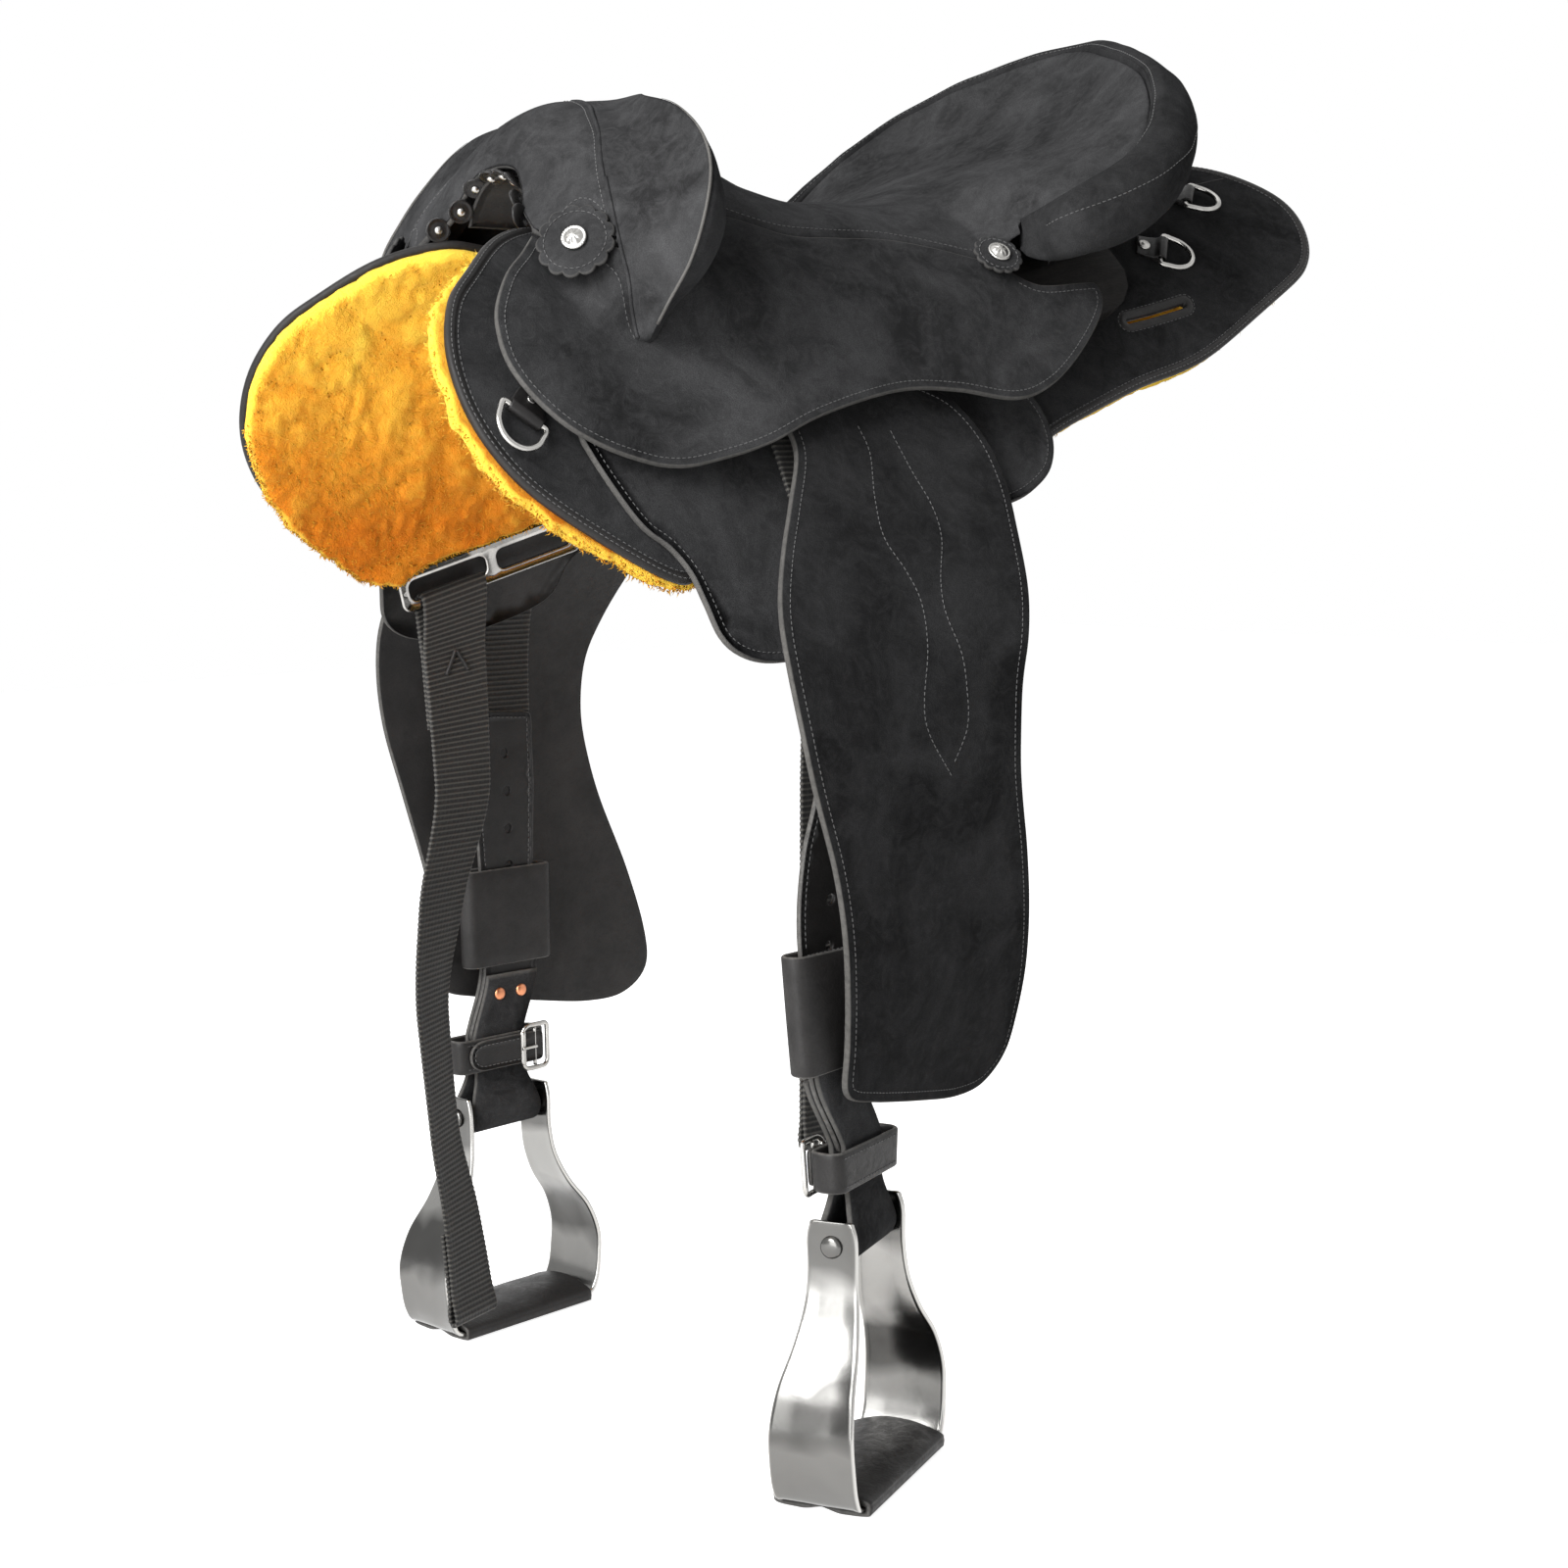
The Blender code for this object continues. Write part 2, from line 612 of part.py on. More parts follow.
def net_point(rows, a, b):
    """Smooth surface through a net of points at row a and column b."""
    def around(items, t):
        k = min(max(int(math.floor(t)), 0), len(items) - 2)
        before = items[k - 1] if k > 0 else 2 * items[0] - items[1]
        after = items[k + 2] if k + 2 < len(items) else 2 * items[-1] - items[-2]
        return before, items[k], items[k + 1], after, t - k

    columns = [blend(*around([np.asarray(row[j], float) for row in rows], a)) for j in range(len(rows[0]))]
    return blend(*around(columns, b))


def pommel_point(row, column, depth):
    """Point of the pommel's skin, depth under its outer face; negative rows are the near side."""
    mirrored = [[(x, -y, z) for x, y, z in line] for line in reversed(POMMEL_ROWS[1:])]
    rows = mirrored + [list(line) for line in POMMEL_ROWS]
    a = row + len(POMMEL_ROWS) - 1
    here = Vector(net_point(rows, a, column))
    across = Vector(net_point(rows, a + 0.1, column)) - Vector(net_point(rows, a - 0.1, column))
    along = Vector(net_point(rows, a, column + 0.1)) - Vector(net_point(rows, a, column - 0.1))
    return here - along.cross(across).normalized() * depth


def net_line(first_row, last_row, first_column, last_column):
    """Four-cornered outline in a net's rows and columns, in half steps."""
    corners = [(last_row, first_column), (last_row, last_column), (first_row, last_column),
               (first_row, first_column)]
    return closed_line([[corner] for corner in corners], 0.5)


def make_pommel_cover():
    last = len(POMMEL_ROWS) - 1
    columns = len(POMMEL_ROWS[0]) - 1

    def place(row, column, h):
        return pommel_point(row, column, POMMEL_LEATHER * (1 - h))

    line = net_line(-last, last, 0, columns)
    sheet("pommel_cover", [line], place, dressed("suede", "pommel_cover"), step=(0.62, 0.62))


def make_tree_fork():
    def place(row, column, h):
        return pommel_point(row, column, POMMEL_LEATHER + LAYER_GAP + FORK_BOARD * (1 - h))

    sheet("tree_fork", [net_line(-3.9, 3.9, 1.0, 3.6)], place, dressed("wood", "tree_fork"), step=(0.9, 0.9))


def make_gullet_lining():
    rows = len(GULLET_ARCH) - 1
    arch = [(-y, z) for y, z in reversed(GULLET_ARCH[1:])] + list(GULLET_ARCH)
    front = GULLET_FRONT
    back = GULLET_FRONT + GULLET_DEPTH

    def place(row, x, h):
        k = min(max(int(math.floor(row + rows)), 0), len(arch) - 2)
        t = row + rows - k
        y = arch[k][0] * (1 - t) + arch[k + 1][0] * t
        z = arch[k][1] * (1 - t) + arch[k + 1][1] * t
        inward = Vector((0, -y, GULLET_CENTRE - z)).normalized()
        return Vector((x, y, z)) + inward * LINING * (1 - h)

    line = closed_line([[(-rows, front)], [(rows, front)], [(rows, back)], [(-rows, back)]], 1.0)
    sheet("gullet_lining", [line], place, dressed("lining", "gullet_lining"))


jockey_base = spline((-0.29, -0.25, -0.23, -0.215, -0.20, -0.16, -0.12, -0.07, 0.08, 0.14),
                     (0.0125, 0.0140, 0.0140, 0.0140, 0.0160, 0.0225, 0.0310, 0.0345, 0.0350, 0.0370))
jockey_swell = spline((-0.29, -0.25, -0.233, -0.226, -0.222, -0.217, -0.2095, -0.19, -0.16, -0.12, -0.07,
                       0.0, 0.08, 0.14),
                      (-0.0005, -0.0025, -0.0050, -0.0040, 0.0030, 0.0150, 0.0285, 0.0270, 0.0190, 0.0065,
                       0.0030, 0.0050, 0.0085, 0.0040))


def jockey_lift(x, v):
    """Outer face of the jockey above the form: swollen over the tree beside the seat."""
    t = min(max((v - SWELL_DOWN) / SWELL_FADE, 0), 1)
    return float(jockey_base(x) + jockey_swell(x) * (1 - t * t * (3 - 2 * t)))


def jockey_point(x, v, side, above=0.0):
    return form(x, v, jockey_lift(x, v) + above, side)


seam_down = spline(SEAM_STATIONS, SEAM_DOWN)


def jockey_line():
    """Jockey pattern: lobe and tail, seat seam, slit for the poley, lap on the pommel's leg."""
    lobe = [(-0.233, 0.0705), (-0.249, 0.089), (-0.268, 0.109), (-0.284, 0.134), (-0.289, 0.153),
            (-0.288, 0.170), (-0.279, 0.187), (-0.263, 0.202), (-0.242, 0.211), (-0.219, 0.215),
            (-0.197, 0.216), (-0.172, 0.211), (-0.139, 0.202), (-0.101, 0.188), (-0.040, 0.174),
            (0.005, 0.174), (0.048, 0.180), (0.085, 0.173), (0.120, 0.154), (0.142, 0.136), (0.144, 0.122),
            (0.130, 0.118), (0.098, 0.114), (0.080, 0.104)]
    seam = [(x, float(seam_down(x)) + SEAM_GAP) for x in (0.070, 0.064, 0.030, 0.000, -0.040, -0.074, -0.114)]
    slit_back = [(-0.143, 0.075), (-0.160, 0.093), (-0.174, 0.113), (-0.186, 0.132)]
    slit_front = [(-0.1925, 0.1405), (-0.1975, 0.134), (-0.2035, 0.118)]
    lap = [(-0.2095, 0.1035), (-0.2165, 0.0965), (-0.2215, 0.0880), (-0.2255, 0.0775)]
    return closed_line([lobe, seam, slit_back, slit_front, lap], 0.018)


def make_jockey(label, side):
    def place(x, v, h):
        return jockey_point(x, v, side, -JOCKEY_LEATHER * (1 - h))

    name = "jockey_" + label
    sheet(name, [jockey_line()], place, dressed("suede", name), step=(0.026, 0.018))


crown_height = spline(CROWN_STATIONS, CROWN_HEIGHTS)


def seat_edge(x):
    """Half width and height of the seat's edge at x: the jockey seam, then the cantle's rim."""
    if x <= SEAM_STATIONS[-1]:
        point = jockey_point(x, float(seam_down(x)), OFF)
        return point.y, point.z
    point = jockey_point(SEAM_STATIONS[-1], SEAM_DOWN[-1], OFF)
    halves = spline((SEAM_STATIONS[-1],) + CANTLE_STATIONS + (CROWN_STATIONS[-1],),
                    (point.y,) + CANTLE_HALVES + (0.0,))
    heights = spline((SEAM_STATIONS[-1],) + CANTLE_STATIONS + (CROWN_STATIONS[-1],),
                     (point.z,) + CANTLE_HEIGHTS + (CROWN_HEIGHTS[-1],))
    return float(halves(x)), float(heights(x))


def seat_height(x, y):
    """Seat face: crown line to edge, round across in front and dished behind."""
    half, edge = seat_edge(x)
    crown = float(crown_height(x))
    t = min(abs(y) / max(half, 0.004), 1.0)
    return crown + (edge - crown) * t ** SEAT_DISH - SEAT_EDGE_ROLL * t ** SEAT_ROLL_SHARPNESS


def rim_line(first=SEAT_FRONT):
    """Seat's planform edge from the near front seam round the cantle to the off side."""
    side = [(x, seat_edge(x)[0]) for x in (SEAT_FRONT, -0.095, -0.074, -0.040, 0.000, 0.035, 0.064, 0.075)]
    side = [(x, y) for x, y in side + list(zip(CANTLE_STATIONS, CANTLE_HALVES)) if x >= first]
    return [(x, -y) for x, y in side] + [(CROWN_STATIONS[-1], 0.0)] + side[::-1]


def make_seat():
    line = closed_line([rim_line(), [(SEAT_FRONT, 0.03), (SEAT_FRONT, -0.03)]], EDGE_SPACING)

    def place(x, y, h):
        return Vector((x, y, seat_height(x, y) - SEAT_PADDING * (1 - h)))

    sheet("seat", [line], place, dressed("suede", "seat"), step=(0.021, 0.021))


def rim_frame(k, rim):
    """Rim point k and the level direction outward from it, square across at both ends."""
    tangent = rim[min(k + 1, len(rim) - 1)] - rim[max(k - 1, 0)]
    outward = Vector((tangent.y, -tangent.x, 0)).normalized()
    square = max(0.0, 1.0 - 0.5 * min(k, len(rim) - 1 - k))
    across = Vector((0, math.copysign(1.0, rim[k].y), 0))
    return rim[k], (outward * (1 - square) + across * square).normalized()


def cantle_rim():
    """Rim of the dish from the near rosette over the middle to the off one."""
    edge = smooth_run(rim_line(CANTLE_STATIONS[0]), EDGE_SPACING)
    edge.append(np.array(rim_line(CANTLE_STATIONS[0])[-1]))
    return [Vector((x, y, seat_edge(x)[1])) for x, y in edge]


def make_cantle_back():
    rim = cantle_rim()
    rings = []
    for k in range(len(rim)):
        point, outward = rim_frame(k, rim)
        along = k / (len(rim) - 1)
        full = math.sin(math.pi * along) ** BAND_FULLNESS
        reach = BAND_REACH * (BAND_END_REACH + (1 - BAND_END_REACH) * full)
        drop = BAND_DROP * (BAND_END_DROP + (1 - BAND_END_DROP) * full)
        outline = [(RIM_GAP, -0.0010), (BAND_CROWN[0] * reach, BAND_CROWN[1] * full)]
        outline += [(out * reach, -down * drop) for out, down in BAND_SECTION]
        outline += [(RIM_GAP, -down * drop) for down in BAND_INNER]
        rings.append([point + outward * out + Vector((0, 0, up)) for out, up in outline])
    loft("cantle_back", rings, dressed("suede", "cantle_back"))


def height_over(x, y, lift):
    """Height of the face at a lift over the form, at level place (x, y)."""
    low, high = 0.0, 0.30
    for _ in range(30):
        v = (low + high) / 2
        if form(x, v, lift, OFF).y < abs(y):
            low = v
        else:
            high = v
    return form(x, low, lift, OFF).z


def make_tree_cantle():
    near = [np.array((x, -y)) for x, y in zip(CANTLE_STATIONS, CANTLE_HALVES)
            if y < CANTLE_BOARD_HALF + CANTLE_BOARD_INSET * 1.2 and x > CANTLE_BOARD_FRONT]
    rear = near + [np.array((CROWN_STATIONS[-1], 0.0))] + [np.array((x, -y)) for x, y in reversed(near)]
    half = CANTLE_BOARD_HALF + CANTLE_BOARD_INSET
    front = [[(CANTLE_BOARD_FRONT, half)], [(CANTLE_BOARD_FRONT, -half)]]
    line = inset_line(closed_line([rear] + front, 0.022), CANTLE_BOARD_INSET)

    def place(x, y, h):
        low = height_over(x, y, LAYER_GAP + BAR_BOARD + CANTLE_BOARD_CLEAR)
        high = seat_height(x, y) - SEAT_PADDING - CANTLE_BOARD_CLEAR
        return Vector((x, y, high if h else min(low, high - 0.010)))

    sheet("tree_cantle", [line], place, dressed("wood", "tree_cantle"), step=(0.021, 0.021))


# Poley sections down from the crest: front root, welt on the outer edge, back root
POLEY_TOP = (
    ((-0.1432, 0.0015, 0.1055), (-0.1270, 0.0015, 0.1125), (-0.1215, 0.0015, 0.1010)),
    ((-0.1520, 0.0300, 0.1000), (-0.1410, 0.0430, 0.1090), (-0.1240, 0.0340, 0.0880)),
    ((-0.1715, 0.0580, 0.0862), (-0.1640, 0.0820, 0.1000), (-0.1300, 0.0600, 0.0680)),
    ((-0.1895, 0.0830, 0.0655), (-0.1680, 0.1140, 0.0905), (-0.1420, 0.0800, 0.0500)),
    ((-0.2025, 0.1030, 0.0430), (-0.1725, 0.1420, 0.0735), (-0.1570, 0.0970, 0.0320)),
)
# Below the pommel's leg the roots lie in the jockey's slit, as pattern places, with a welt point
POLEY_SLIT = (
    ((-0.2075, 0.1045), (-0.1800, 0.1610, 0.0530), (-0.1680, 0.1045)),
    ((-0.2020, 0.1170), (-0.1905, 0.1700, 0.0280), (-0.1760, 0.1140)),
    ((-0.1985, 0.1270), (-0.1945, 0.1610, 0.0020), (-0.1820, 0.1235)),
    ((-0.1950, 0.1355), (-0.1950, 0.1400, -0.0210), (-0.1885, 0.1330)),
)


def poley_rings(side):
    rings = []
    rows = [tuple(Vector(p) for p in row) for row in POLEY_TOP]
    for front, welt, back in POLEY_SLIT:
        rows.append((jockey_point(*front, OFF), Vector(welt), jockey_point(*back, OFF)))
    for k, (front, welt, back) in enumerate(rows):
        ahead = rows[min(k + 1, len(rows) - 1)][1] - rows[max(k - 1, 0)][1]
        face = ahead.cross(welt - front).normalized()
        if face.x > 0:
            face = -face
        full = math.sin(math.pi * (k + 0.6) / (len(rows) + 0.2)) ** 0.5
        depth = POLEY_DEPTH * full
        span = welt - front
        hollow = face * -POLEY_HOLLOW * full
        inner = (front + back) / 2 - Vector((0, 0.25 * (front - back).length, 0.004 * full))
        ring = [front, front + span * 0.35 + hollow, front + span * 0.72 + hollow * 0.6, welt,
                welt - face * depth * 0.45 - span.normalized() * 0.001,
                welt * 0.72 + back * 0.28 - face * depth, welt * 0.35 + back * 0.65 - face * depth * 0.8,
                back, inner]
        if k == 0:
            lean = back - welt
            ring = [front, front + span * 0.35, front + span * 0.72, welt, welt + lean * 0.2,
                    welt + lean * 0.5, welt + lean * 0.8, back, (front + back) / 2]
        rings.append([Vector((p.x, side * max(p.y, 0.0015), p.z)) for p in ring])
    return rings


def make_poley(label, side):
    name = "poley_" + label
    loft(name, poley_rings(side), dressed("suede", name))


def rosette_frame(label, side):
    """Centre, face axes and radius of a rosette; each lies over a corner where leathers meet."""
    if label == "front":
        here = pommel_point(side * FRONT_ROSETTE_PLACE[0], FRONT_ROSETTE_PLACE[1], 0.0)
        outward = Vector((FRONT_ROSETTE_FACE[0], side * FRONT_ROSETTE_FACE[1], FRONT_ROSETTE_FACE[2]))
        radius = FRONT_ROSETTE
        clear = FRONT_ROSETTE_CLEAR
    else:
        x, v = REAR_ROSETTE_PLACE
        here = jockey_point(x, v, side)
        outward = Vector((REAR_ROSETTE_FACE[0], side * REAR_ROSETTE_FACE[1], REAR_ROSETTE_FACE[2]))
        radius = REAR_ROSETTE
        clear = REAR_ROSETTE_CLEAR
    outward.normalize()
    first = outward.orthogonal().normalized()
    return here + outward * clear, first, outward.cross(first), outward, radius


def make_rosette(end, label, side):
    base, first, second, outward, radius = rosette_frame(end, side)
    line = []
    for k in range(SCALLOPS * 4):
        angle = 2 * math.pi * k / (SCALLOPS * 4)
        bump = (0.0, 0.75, 1.0, 0.75)[k % 4]
        line.append(np.array((math.cos(angle), math.sin(angle))) * radius * (0.88 + 0.12 * bump))

    def place(a, b, h):
        return base + first * a + second * b + outward * ROSETTE_LEATHER * h

    name = "_".join(("rosette", end, label))
    sheet(name, [line], place, dressed("suede", name))
    top = ROSETTE_LEATHER + FIT_GAP
    profile = [(CONCHO_RADIUS, top), (CONCHO_RADIUS, top + 0.30 * CONCHO_HEIGHT),
               (CONCHO_RADIUS * 0.80, top + 0.72 * CONCHO_HEIGHT), (CONCHO_RADIUS * 0.35, top + CONCHO_HEIGHT)]
    name = "_".join(("concho", end, label))
    turned(name, profile, base, outward, dressed("steel", name), count=16)


def ring_pivot(spot, side):
    """Frame of a dee lying on the skirt: bar's middle, along the bar, toward the round end, outward."""
    x, v, turn = spot
    lift = LAYER_GAP + KEEPER_LEATHER + FIT_GAP + DEE_WIRE / 2
    return form_frame(x, v, turn, side, lift)


def make_ring(kind, label, side, spot):
    base, along, toward, outward = ring_pivot(spot, side)
    empty = carrier("_".join(("hinge_dee", kind, label)), base)
    half = DEE_WIDTH / 2 - DEE_WIRE / 2
    reach = DEE_REACH - DEE_WIRE
    path = [(-half, 0.0), (0.0, 0.0), (half, 0.0)]
    path += [(half * math.cos(t), reach * (0.30 + 0.70 * math.sin(t)))
             for t in [math.radians(a) for a in (0, 30, 60, 90, 120, 150, 180)]]
    rings = []
    for k, point in enumerate(path):
        a, b = np.array(path[k - 1]), np.array(path[(k + 1) % len(path)])
        before = (np.array(point) - a) / np.linalg.norm(np.array(point) - a)
        after = (b - np.array(point)) / np.linalg.norm(b - np.array(point))
        tangent = (before + after) / np.linalg.norm(before + after)
        widen = 1 / max(0.75, math.sqrt((1 + float(before @ after)) / 2))
        normal = along * -tangent[1] + toward * tangent[0]
        centre = base + along * point[0] + toward * point[1]
        ring = []
        for j in range(6):
            angle = math.pi * (2 * j + 1) / 6
            ring.append(centre + (normal * math.cos(angle) * widen + outward * math.sin(angle)) * DEE_WIRE / 2)
        rings.append(ring)
    name = "_".join(("dee", kind, label))
    loft(name, rings, dressed("steel", name), empty, closed=True)

    bore = DEE_WIRE / 2 + FIT_GAP
    wall = bore + KEEPER_LEATHER
    fold = [(wall * math.sin(t), wall * math.cos(t)) for t in [math.radians(a) for a in range(0, 181, 45)]]
    section = [np.array((-KEEPER_REACH, -wall)), np.array((-KEEPER_REACH, -wall + 2 * KEEPER_LEATHER))]
    section += [np.array((-wall, wall))] + [np.array(p) for p in fold]
    hole = circle_line((0, 0), bore * 1.10, 8)

    def place(a, b, h):
        return base + toward * a + outward * b + along * KEEPER_WIDTH * (h - 0.5)

    name = "_".join(("keeper_dee", kind, label))
    sheet(name, [section, hole], place, dressed("smooth_leather", name))


fender_bow = spline((0.13, 0.15, 0.18, 0.25, 0.33, 0.42, 0.50, 0.56, 0.60),
                    (0.0245, 0.0215, 0.0205, 0.0260, 0.0360, 0.0340, 0.0240, 0.0165, 0.0150))


def fender_line():
    front = [(-0.020, FENDER_TOP), (-0.010, 0.170), (-0.002, 0.200), (-0.022, 0.237), (-0.041, 0.268),
             (-0.058, 0.300), (-0.063, 0.330), (-0.058, 0.375), (-0.044, 0.430), (-0.034, 0.480),
             (-0.031, 0.530), (-0.031, 0.556)]
    bottom = [(0.000, 0.566), (0.045, 0.575), (0.092, FENDER_BOTTOM), (0.126, 0.582), (0.147, 0.566),
              (0.146, 0.536), (0.134, 0.492), (0.115, 0.440), (0.104, 0.400), (0.101, 0.374), (0.104, 0.345),
              (0.115, 0.320), (0.128, 0.290), (0.139, 0.255), (0.145, 0.225), (0.143, 0.195), (0.127, 0.170),
              (0.095, 0.155), (0.060, FENDER_TOP)]
    return closed_line([front, bottom], 0.020)


def fender_point(c, v, side, above=0.0):
    return hang(c, v, float(fender_bow(v)) + above, side)


def make_fender(label, side, empty):
    def place(c, v, h):
        return fender_point(c, v, side, -FENDER_LEATHER * (1 - h))

    name = "fender_" + label
    sheet(name, [fender_line()], place, dressed("suede", name), empty, step=(0.030, 0.024))


def strap_shift(v, side):
    """Sideways lean of the strap: forward of the line at the top, on it at the roller."""
    top = STRAP_TOP_SHIFT
    middle = KEEPER_SHIFT[side]
    return float(spline((0.10, 0.32, SLEEVE_TOP, SLEEVE_TOP + SLEEVE_DEPTH, HOBBLE_TOP),
                        (top, top, middle, middle, 0.0))(v))


strap_lift = spline((0.080, 0.125, 0.150, 0.180, 0.29, 0.36, 0.42),
                    (0.0195, 0.0190, 0.0128, 0.0120, 0.0120, 0.0055, 0.0))


def make_stirrup_leather(label, side, empty):
    half = STRAP_WIDTH / 2
    foot = half - STRAP_TAPER
    right = [(half, STRAP_TOP), (half, 0.250), (half, 0.400), (foot, 0.500), (foot, STRAP_END)]
    left = [(-c, v) for c, v in reversed(right)]
    holes = [circle_line((0.002, HOLE_FIRST + HOLE_PITCH * k), HOLE_SIZE / 2, 8) for k in range(HOLE_COUNT)]

    def place(c, v, h):
        lift = float(strap_lift(v)) + (h - 0.5) * WEBBING
        return hang(c + strap_shift(v, side), v, lift, side)

    name = "stirrup_leather_" + label
    line = closed_line([right, left], 0.024)
    sheet(name, [line] + holes, place, dressed("webbing", name), empty, step=(0.034, 0.020))


def band_sleeve(name, half_width, front, back, leather, top, depth, side, kind, empty):
    """Leather band round the strap: an oblong in (c, lift) with its wall run down the strap."""
    middle = (front + back) / 2
    size = (2 * half_width, front - back)
    grown = (size[0] + 2 * leather, size[1] + 2 * leather)
    inner = rounded_box((0, middle), size, SLEEVE_CORNER, 0, 1)
    outer = rounded_box((0, middle), grown, SLEEVE_CORNER + leather, 0, 1)
    rows = max(2, round(depth / SLEEVE_ROW))
    levels = [top + depth * k / rows for k in range(rows + 1)]
    rings = []
    for near_point, far_point in zip(inner, outer):
        wall = [(far_point, v) for v in levels] + [(near_point, v) for v in reversed(levels)]
        rings.append([hang(p[0] + strap_shift(v, side), v, p[1], side) for p, v in wall])
    loft(name, rings, dressed(kind, name), empty, closed=True)


def make_strap_fittings(label, side, empty):
    clear = FIT_GAP + 0.0003
    outer_leg = WEBBING / 2 + clear + STRAP_LEATHER / 2
    inner_leg = -outer_leg
    reach = ROLLER_RADIUS + FIT_GAP + STRAP_LEATHER / 2
    bend = [(reach * math.cos(t), BOLT_V + reach * math.sin(t))
            for t in [math.radians(a) for a in range(-10, 191, 20)]]
    path = [(outer_leg, LOOP_OUTER_TOP), (outer_leg, 0.550), (outer_leg, HOBBLE_TOP - 0.006),
            (outer_leg + 0.0003, HOBBLE_TOP + HOBBLE_DEPTH)]
    path += bend
    path += [(inner_leg - 0.0003, HOBBLE_TOP + HOBBLE_DEPTH), (inner_leg, HOBBLE_TOP - 0.006)]
    path.append((inner_leg, LOOP_INNER_TOP))

    def loop_place(c, lift, v):
        return hang(c + strap_shift(v, side), v, lift, side)

    name = "stirrup_loop_" + label
    ribbon(name, path, LOOP_WIDTH / 2, STRAP_LEATHER, loop_place, dressed("suede", name), empty)

    name = "strap_keeper_" + label
    front = outer_leg + STRAP_LEATHER / 2 + SLEEVE_GAP
    back = -WEBBING / 2 - SLEEVE_GAP
    half = SLEEVE_WIDTH / 2 - SLEEVE_LEATHER
    band_sleeve(name, half, front, back, SLEEVE_LEATHER, SLEEVE_TOP, SLEEVE_DEPTH, side, "smooth_leather",
                empty)

    name = "hobble_strap_" + label
    front = outer_leg + STRAP_LEATHER / 2 + clear + 0.0004
    half = HOBBLE_WIDTH / 2 - HOBBLE_LEATHER
    band_sleeve(name, half, front, -front, HOBBLE_LEATHER, HOBBLE_TOP, HOBBLE_DEPTH, side, "suede", empty)

    shift = BUCKLE_SHIFT[side]
    middle_v = HOBBLE_TOP + HOBBLE_DEPTH / 2
    wide, tall = BUCKLE_SIZE
    frame = rounded_box((shift, middle_v), (wide, tall), 0.004, 0, 2)
    opening = ((wide - 3 * BUCKLE_WIRE) / 2, tall - 2 * BUCKLE_WIRE)
    step = (opening[0] + BUCKLE_WIRE) / 2
    windows = [rounded_box((shift + sign * step, middle_v), opening, 0.001, 0, 1) for sign in (1, -1)]
    face = -front - HOBBLE_LEATHER - clear

    def buckle_place(c, v, h):
        return hang(c + strap_shift(v, side), v, face - BUCKLE_DEPTH * h, side)

    name = "hobble_buckle_" + label
    sheet(name, [frame] + windows, buckle_place, dressed("steel", name), empty)


def stirrup_axes(side):
    """Bolt's middle and the stirrup's level axes: along the bolt and across the tread."""
    twist = twist_at(BOLT_V, side)
    along = Vector((math.cos(twist), math.sin(twist), 0))
    across = Vector((-math.sin(twist), math.cos(twist), 0)) * side
    return hang(0.0, BOLT_V, 0.0, side), along, across


def bow_path():
    """Half of the bow's middle line from the neck's top to the tread's middle: (p, height, depth)."""
    neck = NECK_HALF + BOW_PLATE / 2
    half = BOW_HALF
    return [(neck, NECK_RISE, NECK_DEPTH * 0.86), (neck, 0.004, NECK_DEPTH), (neck, -0.016, NECK_DEPTH),
            (neck + 0.003, -0.036, NECK_DEPTH + 0.003), (neck + 0.012, -0.056, NECK_DEPTH + 0.009),
            (half - 0.003, -0.076, TREAD_DEPTH - 0.005), (BOW_BELLY, -0.096, TREAD_DEPTH - 0.001),
            (BOW_BELLY - 0.0005, -0.114, TREAD_DEPTH), (half, -BOW_DROP + 0.008, TREAD_DEPTH),
            (half - 0.008, -BOW_DROP, TREAD_DEPTH), (half * 0.45, -BOW_DROP, TREAD_DEPTH),
            (0.0, -BOW_DROP, TREAD_DEPTH)]


